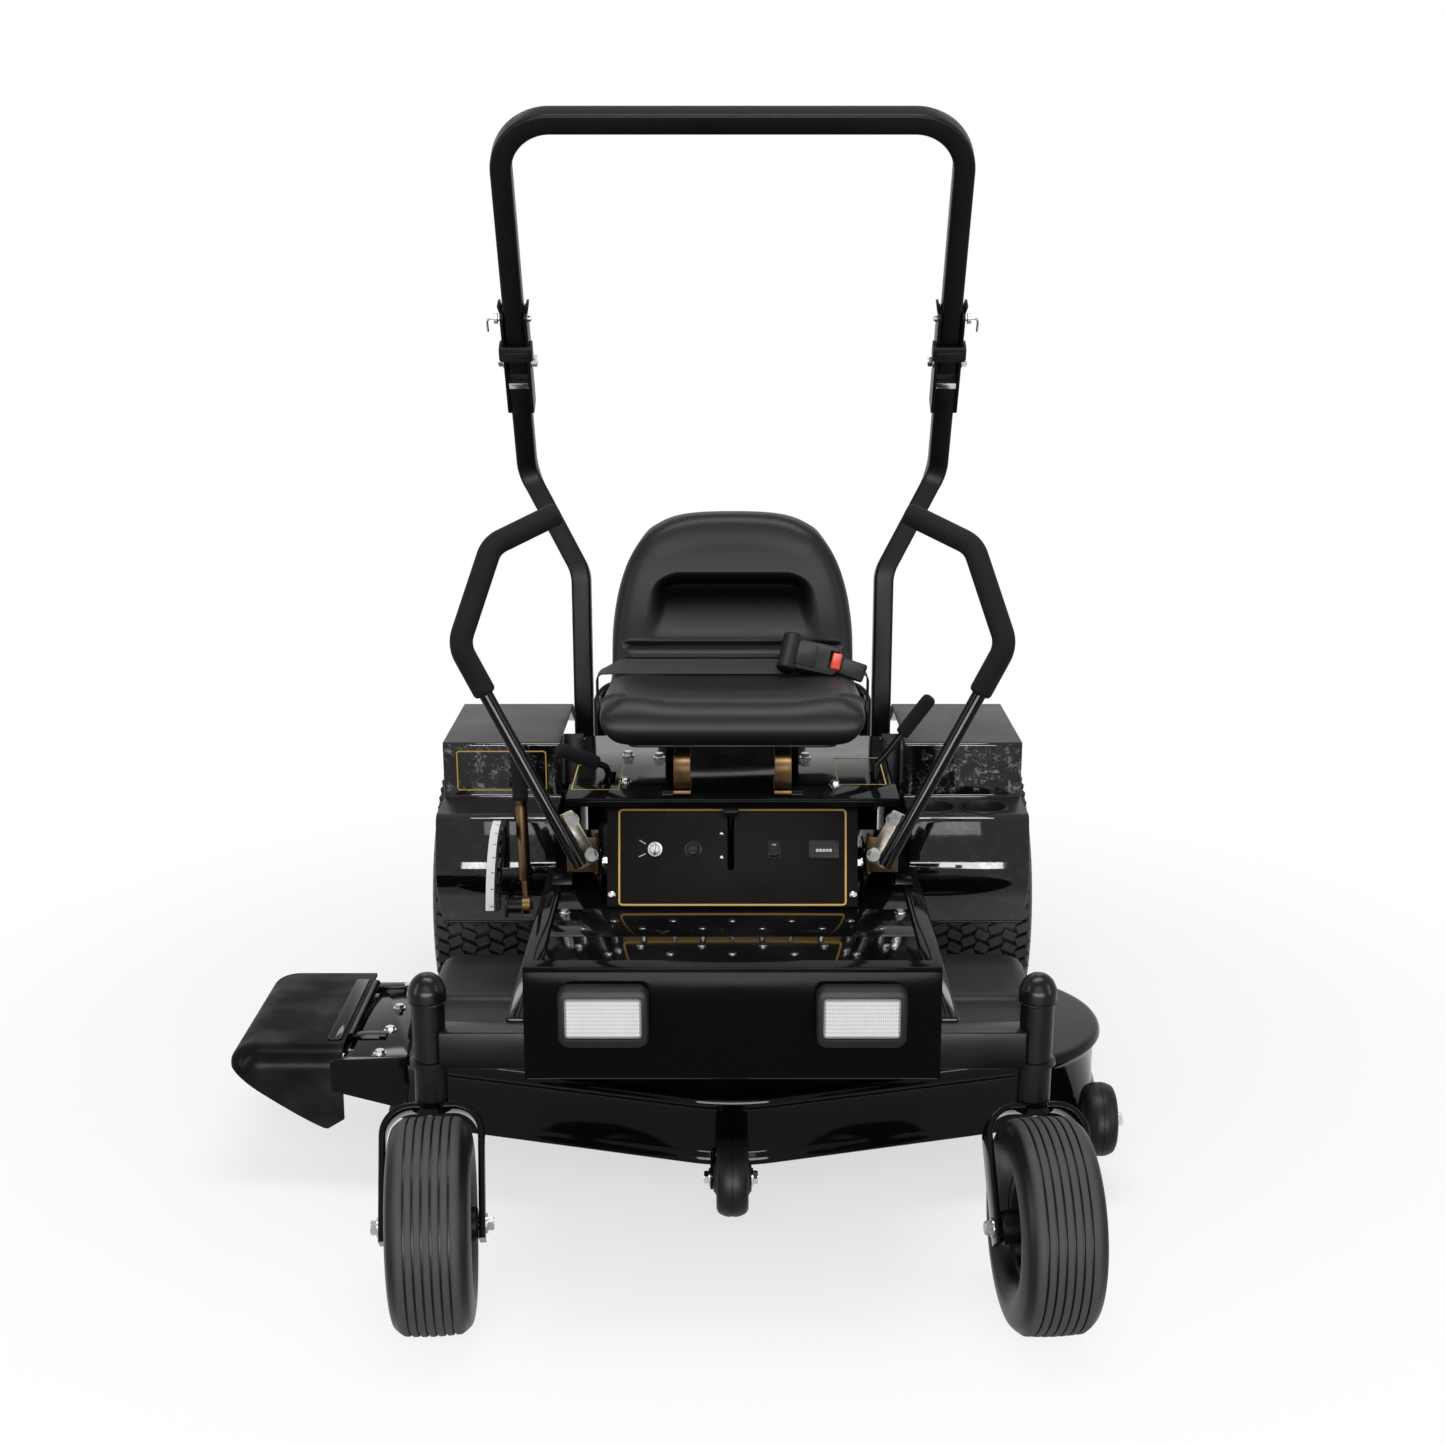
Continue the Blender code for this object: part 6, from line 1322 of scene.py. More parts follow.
def line_frame(x, s, half_x, half_s, corner, line, matrix):
    """A printed border: a thin closed frame that stands on the face."""
    thick = 0.0004
    frame_line = Shape().prism(rectangle(x, s, half_x, half_s, corner), "Z", -thick, thick)
    inside = rectangle(x, s, half_x - line, half_s - line, max(corner - line, 0.0005))
    frame_line.cut(Shape().prism(inside, "Z", -0.01, 0.01))
    return frame_line.moved(matrix)


def console_panel():
    """The folded switch panel with its slot, lock, hour meter and printed border."""
    top, foot = (-0.555, 0.6407), (-0.620, 0.4453)
    half = 0.225
    rocker_hole = (0.0090, 0.0135)
    path = flat_bent([(top[0] + 0.030, top[1]), top, foot, (foot[0] + 0.035, foot[1])], 0.005)
    panel = Shape().prism(strip(path, 0.003), "X", -half, half, 0.0006)
    holes = Shape().prism(rectangle(THROTTLE_X, 0.120, 0.0062, 0.050, 0.006), "Z", -0.02, 0.02,
                          matrix=CONSOLE)
    holes.rod(on_console(CHOKE_X, CONTROL_S, -0.02), on_console(CHOKE_X, CONTROL_S, 0.02), 0.0036, 24)
    holes.take(console_block(ROCKER_X, *rocker_hole, -0.02, 0.02).bm)
    panel.cut(holes)
    panel.box((0.0033, 0.109, -0.086), (0.0073, 0.131, -0.002), 0.001, matrix=CONSOLE)
    panel.piece("console_look", "frame", "dusty_panel", "console_panel")
    border = line_frame(0, 0.0935, 0.205, 0.0870, 0.008, 0.0034, CONSOLE)
    border.piece("console_border", "frame", "gold_ink")
    lock = Shape().turned([(0, 0.0095), (0.0085, 0.0095), (0.0095, 0.0085), (0.0100, 0.0042),
                           (0.0128, 0.0040), (0.0135, 0.0030), (0.0135, -0.001), (0, -0.001)], (0, 0, 0),
                          steps=48)
    lock.moved(at_control(KEY_X)).piece("key_lock", "frame", "plain_steel")
    meter = console_block(METER_X, 0.0277, 0.0165, -0.001, 0.0042, 0.002, 0.0010)
    meter.cut(console_block(METER_X, 0.0165, 0.0078, 0.0026, 0.02, 0.001))
    meter.piece("hour_meter", "frame", "moulded_plastic")
    drums = Shape()
    for i in range(5):
        x = METER_X + (i - 2) * 0.0060
        drums.box((x - 0.0024, CONTROL_S - 0.0048, 0.0020), (x + 0.0024, CONTROL_S + 0.0006, 0.0032), 0.0003,
                  matrix=CONSOLE)
    drums.piece("hour_meter_drums", "frame", "white_ink")
    bezel = console_block(ROCKER_X, 0.0112, 0.0158, -0.001, 0.0016, 0.0015, 0.0005)
    bezel.cut(console_block(ROCKER_X, *rocker_hole, -0.02, 0.02))
    bezel.piece("light_switch_bezel", "frame", "moulded_plastic")
    marks = Shape()
    for turn in (150, 205):
        spot = at_control(KEY_X) @ spun(turn, "Z")
        marks.box((0.019, -0.0007, -0.0004), (0.032, 0.0007, 0.0004), 0, matrix=spot)
    marks.piece("key_marks", "frame", "white_ink", slot="gloss_black_paint")
    screws = [(on_console(side * 0.2165, 0.026), CONSOLE_OUT) for side in SIDES.values()]
    domes("console_screws", "frame", screws, 0.0075, 0.0042)
    small = [(on_console(THROTTLE_X - 0.0165, s), CONSOLE_OUT) for s in (0.093, 0.136)]
    domes("throttle_screws", "frame", small, 0.0042, 0.0026)


def throttle_lever():
    """A flat arm on a pin behind the panel, with a wide moulded knob."""
    tilt = math.atan(0.040 / 0.075)
    length = 0.075 / math.cos(tilt) + 0.022
    place = CONSOLE @ Matrix.Translation((THROTTLE_X, 0.120, -0.075)) @ Matrix.Rotation(-tilt, 4, "X")
    arm = Shape().box((-0.002, -0.005, -0.009), (0.002, 0.005, length), 0.0006, matrix=place)
    arm.rod(place @ Vector((0, 0, 0)), place @ Vector((0.0058, 0, 0)), 0.004, 24)
    rings = []
    for rise, half_x, half_y in ((-0.006, 0.0060, 0.0042), (-0.002, 0.0090, 0.0052), (0.006, 0.0130, 0.0066),
                                 (0.012, 0.0140, 0.0070), (0.0150, 0.0130, 0.0060), (0.0160, 0.0105, 0.0042)):
        rings.append([(a, b, length + rise) for a, b in rectangle(0, 0, half_x, half_y, 0.0030, 4)])
    arm.loft(rings, place)
    arm.piece("throttle_look", "throttle", "moulded_plastic", "throttle_lever")


def choke_knob():
    """A dished pull knob on its rod, with a steel ring round the hole."""
    profile = [(0, 0.0195), (0.0060, 0.0200), (0.0090, 0.0215), (0.0103, 0.0210), (0.0110, 0.0185),
               (0.0108, 0.0150), (0.0096, 0.0090), (0.0078, 0.0040), (0.0074, GAP), (0.003, GAP),
               (0.003, -0.045), (0, -0.045)]
    knob = Shape().turned(profile, (0, 0, 0), steps=40)
    knob.moved(at_control(CHOKE_X)).piece("choke_look", "choke", "moulded_plastic", "choke_knob")
    profile = [(0.0120, -0.001), (0.0146, -0.001), (0.0146, 0.0012), (0.0136, 0.0022), (0.0120, 0.0016)]
    ring = Shape().turned(profile, (0, 0, 0), steps=40, closed=True)
    ring.moved(at_control(CHOKE_X)).piece("choke_ring", "frame", "plain_steel")


def ignition_key():
    """A flat key with a pierced bow, on the lock's turning barrel."""
    key = Shape().turned([(0, 0.006), (0.0062, 0.006), (0.0070, 0.005), (0.0070, 0), (0, 0)], (0, 0, 0),
                         steps=40)
    bow = Shape().prism(rectangle(0, 0.015, 0.011, 0.011, 0.007), "X", -0.0013, 0.0013, 0.0004)
    bow.cut(Shape().rod((-0.01, 0, 0.020), (0.01, 0, 0.020), 0.0028, 20))
    key.take(bow.bm)
    key.moved(at_control(KEY_X, 0.0103)).piece("key_look", "key", "plain_steel", "ignition_key")


def light_switch():
    """A rocker with a dished face and a pale mark at its upper end."""
    place = at_control(ROCKER_X, -0.001) @ spun(-8, "X")
    side = [(-0.0118, -0.006), (-0.0118, 0.0046), (-0.006, 0.0036), (0, 0.0030), (0.006, 0.0036),
            (0.0118, 0.0046), (0.0118, -0.006)]
    rocker = Shape().prism(side[::-1], "X", -0.0085, 0.0085, 0.0005, matrix=place)
    rocker.piece("light_switch_look", "rocker", "moulded_plastic", "light_switch")
    mark = Shape().box((-0.0035, 0.0070, 0.0030), (0.0035, 0.0085, 0.0044), 0.0002, matrix=place)
    mark.piece("light_switch_mark", "rocker", "white_ink")


def add_console():
    console_panel()
    throttle_lever()
    choke_knob()
    ignition_key()
    light_switch()


# Seat box and short levers

BOX_TOP = 0.645
SHEET = 0.004
SEAT_HINGE = (-0.583, 0.6515)
HEIGHT_PIVOT = Vector((-0.392, -0.400, 0.380))


def seat_box():
    """A folded hat section with an overhanging shelf, and a slot for each short lever."""
    base = ON_RAIL
    foot, inner = 0.334, 0.293
    path = flat_bent([(-foot, base), (-inner, base), (-inner, BOX_TOP - SHEET), (inner, BOX_TOP - SHEET),
                      (inner, base), (foot, base)], 0.004)
    hat = Shape().prism(strip(path, SHEET), "Y", -0.500, -0.120, 0.0006)
    shelf = flat_bent([(-0.497, BOX_TOP), (-0.600, BOX_TOP), (-0.600, BOX_TOP - 0.014)], 0.005)
    hat.prism(strip(shelf, SHEET), "X", -0.297, 0.297, 0.0006)
    slots = Shape()
    for x in (0.265, -0.226):
        slots.prism(rectangle(x, -0.450, 0.010, 0.045, 0.006), "Z", 0.60, 0.70)
    hat.cut(slots)
    for x in (0.255, -0.236):
        hat.box((x - 0.005, -0.462, 0.588), (x, -0.438, 0.643))
    y, z = SEAT_HINGE
    for side in SIDES.values():
        hat.rod((side * 0.1053, y, z), (side * 0.1253, y, z), 0.005, 24)
        hat.box((side * 0.1053, y - 0.005, 0.643), (side * 0.1253, y + 0.005, z), 0.0005)
    hat.piece("seat_box_look", "frame", "shelf_paint", "seat_box")
    places = ((-0.200, -0.286), (-0.140, -0.301), (0.139, -0.301), (-0.196, -0.486), (0.186, -0.510))
    bolts("seat_box_bolts", "frame", [((x, y, BOX_TOP), UP) for x, y in places], 0.0085, 0.008)
    lines = Shape()
    for x, y, half_x, half_y in ((0.2365, -0.400, 0.0445, 0.100), (-0.2485, -0.446, 0.0435, 0.090)):
        place = Matrix.Translation((x, y, BOX_TOP))
        lines.take(line_frame(0, 0, half_x, half_y, 0.004, 0.0020, place).bm)
    lines.piece("lever_borders", "frame", "gold_ink")


def hand_lever(node, body, pivot, knee, tip):
    """A bent rod on a pin under the seat box, with a ribbed plastic grip."""
    pivot = Vector(pivot)
    knee = pivot + Vector(knee)
    tip = pivot + Vector(tip)
    shank = pivot + Vector((0.001, 0, 0))
    route = bent([shank - Vector((0, 0, 0.014)), (shank.x, shank.y, knee.z - 0.020), knee, tip], 0.015)
    rod = Shape().tube(route, 0.006)
    rod.rod(shank, pivot - Vector((0.015, 0, 0)), 0.006, 24)
    rod.piece(node + "_look", body, "satin_paint", node)
    along = (tip - knee).normalized()
    start = tip - along * 0.082
    length = 0.088
    outline = [(0, length), (0.0070, length - 0.0005), (0.0110, length - 0.003), (0.0130, length - 0.0075)]
    outline += [(0.0135 if i % 2 else 0.0128, length - 0.010 - 0.0034 * i) for i in range(20)]
    outline += [(0.0135, 0.006), (0.0125, 0.001), (0.0110, 0), (0, 0)]
    Shape().turned(outline, start, along, 40).piece(node + "_grip", body, "grip_foam")


def height_lever():
    """A plated rod in a sleeve, with a black grip and a hub on the sector's pin."""
    top = Vector((-0.405, -0.360, 0.685))
    pivot = HEIGHT_PIVOT
    along = (top - pivot).normalized()
    length = (top - pivot).length
    profile = [(0, length - 0.010), (0.0075, length - 0.010), (0.0075, length - 0.098),
               (0.0105, length - 0.099), (0.0115, length - 0.101), (0.0115, length - 0.110),
               (0.0105, length - 0.112), (0.0105, length - 0.117), (0.0115, length - 0.119), (0.0115, 0.052),
               (0.0105, 0.050), (0.0075, 0.050), (0.0075, 0.012), (0, 0.012)]
    rod = Shape().turned(profile, pivot, along, 36)
    across = Vector((0.008, 0, 0))
    rod.rod(pivot - across, pivot + across, 0.020, 40, 0.001)
    rod.piece("height_lever_look", "height", "yellow_zinc", "height_lever")
    outline = [(0, length), (0.0080, length - 0.0005), (0.0125, length - 0.003), (0.0145, length - 0.008),
               (0.0145, length - 0.085), (0.0140, length - 0.090), (0.0150, length - 0.094),
               (0.0150, length - 0.102), (0.0135, length - 0.105), (0, length - 0.105)]
    Shape().turned(outline, pivot, along, 40).piece("height_lever_grip", "height", "grip_foam")


def add_short_levers():
    seat_box()
    hand_lever("parking_brake_lever", "brake", (0.263, -0.450, 0.600), (0.019, -0.002, 0.090),
               (0.095, -0.010, 0.195))
    hand_lever("blade_engage_lever", "engage", (-0.228, -0.450, 0.600), (-0.004, -0.008, 0.068),
               (-0.084, -0.055, 0.112))
    height_lever()


# Fenders

FENDER_X = (0.3365, 0.566)
LEDGE_Z = 0.545
CUPS = ((0.384, -0.292), (0.484, -0.292))
SECTOR_X = -0.429


def fender_path():
    """The fender's side outline, with a radius of its own at each fold."""
    corners = [((0.290, 0.585), 0), ((0.130, 0.655), 0.030), ((-0.220, 0.655), 0.006),
               ((-0.220, LEDGE_Z), 0.006), ((-0.350, LEDGE_Z), 0.020), ((-0.388, 0.420), 0.090),
               ((-0.315, 0.318), 0)]
    out = [corners[0][0]]
    for (before, _), (corner, radius), (after, _) in zip(corners, corners[1:], corners[2:]):
        near = (Vector(before) + Vector(corner)) / 2
        far = (Vector(after) + Vector(corner)) / 2
        out += flat_bent([near, corner, far], radius, 8)[1:-1]
    return out + [corners[-1][0]]


def fender(name, side):
    """A folded sheet over a rear wheel, with its wall along the seat box and a hem at its toe."""
    sheet = Shape()
    inner, outer = FENDER_X
    sheet.prism(strip(fender_path(), SHEET), "X", side * inner, side * outer, 0.0008)
    wall = [(-0.370, ON_RAIL), (-0.363, 0.490), (-0.350, 0.530), (-0.335, LEDGE_Z - 0.002),
            (-0.218, LEDGE_Z - 0.002), (-0.218, 0.653), (-0.120, 0.653), (-0.120, ON_RAIL)]
    sheet.prism(wall, "X", side * inner, side * (inner + SHEET), 0.0006)
    notch = Shape().box((side * 0.30, -0.42, 0.26), (side * 0.352, -0.26, ON_RAIL), 0)
    if side > 0:
        for x, y in CUPS:
            notch.rod((x, y, 0.50), (x, y, 0.60), 0.0445, 64)
    sheet.cut(notch)
    sheet.piece("fender_look_" + name, "frame", "dusty_paint", "fender_" + name)
    toe = (-0.3155, 0.3195)
    hem = Shape().tube([(side * 0.353, *toe), (side * (outer - 0.0005), *toe)], 0.0028, 16)
    hem.piece("fender_hem_" + name, "frame", "gloss_paint")


def side_closers():
    """Dark sheets that close the seat box and its gap to each fender at the back."""
    sheets = Shape().box((-0.2926, -0.1245, 0.4506), (0.2926, -0.1205, 0.6405))
    mirrored_box(sheets, (0.2975, -0.1245, 0.4506), (0.3363, -0.1205, 0.650))
    sheets.piece("side_closers", "frame", "satin_paint")


def cup_wells():
    """Two moulded cup holders, each with a rolled rim that rests on the ledge."""
    cups = Shape()
    rim = [(0.0425, 0.0005), (0.0432, 0.0022), (0.0452, 0.0032), (0.0476, 0.0026), (0.0490, 0.0010),
           (0.0490, 0.0001), (0.0455, 0.0001)]
    well = [(0.0445, -0.004), (0.0445, -0.075), (0.0425, -0.078), (0, -0.078), (0, -0.0745),
            (0.0385, -0.0745), (0.0415, -0.071)]
    for x, y in CUPS:
        cups.turned([*well[3:], *rim, *well[:3], (0, -0.078)], (x, y, LEDGE_Z), steps=72)
    cups.piece("cup_wells", "frame", "moulded_plastic")


def around_pivot(radius, angle, x):
    """A point round the height lever's pivot, with the angle taken forward from straight up."""
    return HEIGHT_PIVOT + Vector((x - HEIGHT_PIVOT.x, -radius * math.sin(angle), radius * math.cos(angle)))


def height_sector():
    """A toothed sector for the height lever, with a pale scale on the flange beside its teeth."""
    radius = 0.170
    sweep = math.radians(75)
    teeth = 7
    outer = []
    for i in range(teeth):
        for share, drop in ((0.0, 0), (0.46, 0), (0.54, 0.009), (0.96, 0.009)):
            angle = sweep * (i + share) / teeth
            outer.append((angle, radius - drop))
    outer.append((sweep, radius))
    inner = [(sweep * i / 24, radius - 0.042) for i in range(25)]
    outline = []
    for angle, size in outer + inner[::-1]:
        spot = around_pivot(size, angle, SECTOR_X)
        outline.append((spot.y, spot.z))
    sector = Shape().prism(outline, "X", SECTOR_X - 0.003, SECTOR_X + 0.003, 0.0006)
    y, z = HEIGHT_PIVOT.y, HEIGHT_PIVOT.z
    sector.box((SECTOR_X - 0.003, y - 0.020, z + 0.128), (SECTOR_X + 0.003, -0.360, z + 0.158), 0.001)
    sector.box((SECTOR_X - 0.003, y - 0.018, z - 0.018), (SECTOR_X + 0.003, -0.327, z + 0.018), 0.001)
    sector.rod((SECTOR_X, y, z), (HEIGHT_PIVOT.x - 0.0083, y, z), 0.016, 32)
    sector.rod((SECTOR_X, y, z), (HEIGHT_PIVOT.x + 0.012, y, z), 0.008, 32, 0.001)
    band = []
    for i in range(25):
        angle = sweep * i / 24
        band.append((around_pivot(radius - 0.0045, angle, 0), around_pivot(radius - 0.0025, angle, 0)))
    ring = [(p.y, p.z) for p, _ in band] + [(q.y, q.z) for _, q in reversed(band)]
    sector.prism(ring, "X", SECTOR_X - 0.022, SECTOR_X - 0.002)
    sector.piece("height_sector", "frame", "satin_paint")
    scale = [(around_pivot(radius - 0.0027, sweep * i / 24, 0),
              around_pivot(radius - 0.0019, sweep * i / 24, 0)) for i in range(25)]
    ring = [(p.y, p.z) for p, _ in scale] + [(q.y, q.z) for _, q in reversed(scale)]
    strip_print = Shape().prism(ring, "X", SECTOR_X - 0.0215, SECTOR_X - 0.0065)
    strip_print.piece("height_scale", "frame", "white_ink")
    ticks = []
    for i in range(teeth):
        angle = sweep * (i + 0.75) / teeth
        facing = around_pivot(1, angle, 0) - around_pivot(0, angle, 0)
        ticks.append((around_pivot(radius - 0.0020, angle, SECTOR_X - 0.010), facing, 0.0))
    blocks("height_scale_ticks", "frame", ticks, "black_hole", (0.005, 0.0016, 0.0010), "matte_black_paint")


def fender_plate():
    """A bare plate with a printed border on the right fender's upper front."""
    place = Matrix.Translation((-0.452, -0.2202, 0.599)) @ spun(90, "X")
    border = line_frame(0, 0, 0.088, 0.040, 0.006, 0.0022, place)
    border.piece("fender_plate_border", "frame", "gold_ink")


def add_fenders():
    for name, side in SIDES.items():
        fender(name, side)
    cup_wells()
    side_closers()
    height_sector()
    fender_plate()


# Roll-bar

FOLD_DEGREES = 30
FOLD_ANGLE = math.radians(FOLD_DEGREES)
FOLD_Z, HOOP_TOP = 1.363, 1.828
LEAN = Matrix.Translation((0, 0.075, FOLD_Z)) @ spun(FOLD_DEGREES, "X")
HOOP_X = 0.426
BAR = 0.040
PIN_RISE = 0.096


def hoop():
    """The upper half of the roll-bar: one square tube bent twice."""
    corner = BAR / 2 * (math.cos(FOLD_ANGLE) + math.sin(FOLD_ANGLE))
    rise = (HOOP_TOP - FOLD_Z - corner) / math.cos(FOLD_ANGLE)
    route = bent([(-HOOP_X, 0, -0.018), (-HOOP_X, 0, rise), (HOOP_X, 0, rise), (HOOP_X, 0, -0.018)], 0.095,
                 20)
    bar = Shape().swept(route, square_bar(BAR, 0.006), (0, 1, 0))
    holes = Shape()
    for side in SIDES.values():
        for height, radius in ((0, 0.0086), (PIN_RISE, 0.0066)):
            holes.rod((side * HOOP_X - 0.04, 0, height), (side * HOOP_X + 0.04, 0, height), radius, 24)
    bar.cut(holes)
    bar.moved(LEAN).piece("hoop_look", "hoop", "satin_paint", "rops_hoop")


def hinge_plate(x, cheek):
    """One cheek of a roll-bar hinge, slotted for the lock pin and flared at its tip."""
    half, low, high = 0.026, -0.110, PIN_RISE + 0.022
    near = x + cheek * (BAR / 2 + GAP)
    far = near + cheek * 0.006
    first, last = sorted((near, far))
    outline = rounded([(-half, low), (half, low), (half, high), (-half, high)], 0.010)
    plate = Shape().prism(outline, "X", first, last, 0.0008)
    pin = 0.0066
    reach = half + 0.006
    drop = PIN_RISE - math.sqrt(PIN_RISE**2 - reach**2)
    notch = [(-pin, PIN_RISE - pin), (0, PIN_RISE - pin), (reach, PIN_RISE - pin - drop),
             (reach, PIN_RISE + pin), (-pin, PIN_RISE + pin)]
    plate.cut(Shape().prism(notch, "X", first - 0.01, last + 0.01))
    tip = Matrix.Translation((near + cheek * 0.003, 0, high - 0.008)) @ spun(cheek * 14, "Y")
    plate.box((-0.0028, -0.014, 0), (0.0028, 0.014, 0.022), 0.002, matrix=tip)
    return plate


def post(name, side):
    """The fixed half of the roll-bar: a square tube with two bends, its foot and its hinge."""
    x = side * HOOP_X
    foot_top = ON_RAIL + 0.008
    top_local = Vector((x, 0, -0.030))
    top = LEAN @ top_local
    drop = (top.z - 1.130) / math.cos(FOLD_ANGLE)
    shoulder = LEAN @ (top_local - Vector((0, 0, drop)))
    route = bent([(side * 0.315, 0.150, 0.4543), (side * 0.315, 0.150, 0.930), shoulder, top], 0.070, 14)
    bar = Shape().swept(route, square_bar(BAR, 0.006), (1, 0, 0))
    bar.box((side * 0.293, 0.105, ON_RAIL), (side * 0.349, 0.195, foot_top), 0.001)
    wide = BAR / 2 + 0.002
    bar.box((x - wide, -wide, -0.110), (x + wide, wide, -0.032), 0.003, matrix=LEAN)
    for cheek in (1, -1):
        bar.take(hinge_plate(x, cheek).bm, LEAN)
    across = BAR / 2 + 0.004
    bar.rod(LEAN @ Vector((x - across, 0, 0)), LEAN @ Vector((x + across, 0, 0)), 0.008, 24)
    bar.piece("post_look_" + name, "frame", "satin_paint", "rops_post_" + name)
    face = BAR / 2 + 0.0063
    ends = [(LEAN @ Vector((x + cheek * face, 0, 0)), cheek * LEFT) for cheek in (1, -1)]
    bolts("hinge_bolts_" + name, "frame", ends, 0.0115, 0.010)
    clip = Shape().prism(rounded([(-0.033, 0.018), (0.033, 0.018), (0.033, 0.050), (-0.033, 0.050)], 0.006),
                         "Y", -0.034, -0.0265, 0.002)
    clip.box((-0.024, -0.0355, 0.028), (0.024, -0.033, 0.040), 0.001)
    for cheek in (1, -1):
        clip.box((cheek * 0.0264, -0.030, 0.018), (cheek * 0.0325, -0.004, 0.050), 0.0015)
    clip.moved(LEAN @ Matrix.Translation((x, 0, 0))).piece("hinge_clip_" + name, "frame", "moulded_plastic")
    staple = Shape().box((-0.0195, -0.0250, -0.049), (0.0195, -0.0222, -0.036), 0.001)
    staple.moved(LEAN @ Matrix.Translation((x, 0, 0))).piece("hinge_staple_" + name, "frame", "bright_zinc")
    feet = [((side * 0.340, y, foot_top), UP) for y in (0.116, 0.184)]
    bolts("post_bolts_" + name, "frame", feet, 0.0075, 0.007)


def lock_pin(name, side):
    """A headed steel pin with a ring, through the hoop's leg."""
    x = side * HOOP_X
    near, far = x - side * 0.034, x + side * 0.036
    pin = Shape().rod((near, 0, PIN_RISE), (far, 0, PIN_RISE), 0.006, 32, 0.0015)
    pin.rod((far - side * 0.004, 0, PIN_RISE), (far + side * 0.004, 0, PIN_RISE), 0.011, 32, 0.0012)
    pin.tube(bent([(far, 0, PIN_RISE), (far + side * 0.018, 0, PIN_RISE),
                   (far + side * 0.018, 0, PIN_RISE - 0.030)], 0.008, 6), 0.0025, 12, 0.002)
    pin.moved(LEAN).piece("lock_pin_look_" + name, "pin_" + name, "bright_zinc", "rops_pin_" + name)


def add_roll_bar():
    hoop()
    for name, side in SIDES.items():
        post(name, side)
        lock_pin(name, side)


# Control levers

SWING = Vector((0.270, -0.632, 0.550))


def lever_route(side):
    """The foot, the two elbows and the end of a control lever."""
    foot = (SWING.x, SWING.y - 0.0158, SWING.z - 0.014)
    points = [foot, (0.470, -0.640, 0.930), (0.416, -0.570, 1.090), (0.303, -0.520, 1.140)]
    return [Vector((side * x, y, z)) for x, y, z in points]


def control_lever(name, side):
    """A bent steel tube on a slanting plate, with a foam sleeve over its upper part."""
    body = "lever_" + name
    foot, first, second, end = lever_route(side)
    last = (end - second).normalized()
    rod = Shape().tube(bent([foot, first, second, end - last * 0.007], 0.050, 12), 0.0125, 28)
    rod.piece("control_lever_look_" + name, body, "gloss_paint", "control_lever_" + name,
              slot="matte_black_paint")
    along = (first - foot).normalized()
    inward = -side * LEFT
    inward = (inward - along * inward.dot(along)).normalized()
    back = along.cross(inward)
    plate = Shape()
    place = Matrix((inward, back, along)).transposed().to_4x4()
    place.translation = Vector((side * SWING.x, SWING.y - 0.0033, SWING.z))
    outline = rectangle(0.008, 0.030, 0.020, 0.052, 0.006)
    plate.prism(outline, "Y", -0.003, 0.003, 0.0008, place)
    swing = Vector((side * SWING.x, SWING.y, SWING.z))
    plate.rod(swing - Vector((0, 0.003, 0)), swing + Vector((0, 0.013, 0)), 0.008, 24, 0.001)
    plate.piece("lever_plate_" + name, body, "pale_zinc")
    spots = [(swing + Vector((0, -0.0063, 0)) + inward * 0.020 - along * 0.006, AHEAD),
             (swing + Vector((0, -0.0063, 0)) + inward * 0.020 + along * 0.066, AHEAD)]
    bolts("lever_bolts_" + name, body, spots, 0.0092, 0.009, "plain_steel")
    start = foot.lerp(first, 0.78)
    grip = Shape().tube(bent([start, first, second, end], 0.050, 14), 0.020, 36, 0.008)
    grip.piece("lever_grip_look_" + name, body, "grip_foam", "lever_grip_" + name, smooth=60)


def lever_yoke(name, side):
    """A plated bracket that turns on the frame, with an ear on which the lever swings."""
    body = "yoke_" + name
    inner = 0.2393
    drive = (-0.560, 0.515)
    low, high = 0.491, 0.584
    web = [(SWING.y, low + 0.026), (drive[0] - 0.010, low), (drive[0] + 0.020, low + 0.006),
           (drive[0] + 0.022, drive[1] + 0.016), (SWING.y + 0.026, high), (SWING.y, high)]
    yoke = Shape().prism(web, "X", side * inner, side * (inner + 0.006), 0.001)
    yoke.box((side * (inner + 0.002), SWING.y, low + 0.028),
             (side * (SWING.x + 0.024), SWING.y + 0.006, high - 0.001), 0.001)
    yoke.rod((side * (inner + 0.003), *drive), (side * 0.231, *drive), 0.008, 24)
    yoke.piece("lever_yoke_look_" + name, body, "yellow_zinc", "lever_yoke_" + name)
    spots = [(Vector((side * (inner + 0.006), *drive)), side * LEFT),
             (Vector((side * 0.2347, *drive)), -side * LEFT)]
    bolts("yoke_bolts_" + name, body, spots, 0.0115, 0.009)


def add_control_levers():
    for name, side in SIDES.items():
        control_lever(name, side)
        lever_yoke(name, side)


# Deck

SPINDLES = {"left": (0.420, -0.640), "center": (0, -0.770), "right": (-0.420, -0.640)}
DECK_RADIUS = 0.232
DECK_LOW, DECK_TOP = 0.125, 0.250
SCALP_AXLES = {"front": (0, -1.070, -0.999), "side": (0.635, -0.840, -0.770)}
HANGER_Y = (-0.560, -0.840)
HINGE_X, HINGE_Z = -0.668, 0.258
CHUTE_NEAR, CHUTE_FAR = -0.6765, -0.876
SCALP_Z = 0.135


def deck_outline(radius):
    """Three equal circles round the spindles, joined by their outer tangents."""
    tangent = math.atan2(-0.420, 0.130)
    left = arc(SPINDLES["left"], radius, tangent, math.pi / 2, 48)
    right = arc(SPINDLES["right"], radius, math.pi / 2, math.pi - tangent, 48)
    front = arc(SPINDLES["center"], radius, -math.pi - tangent, tangent, 16)
    return left + right + front


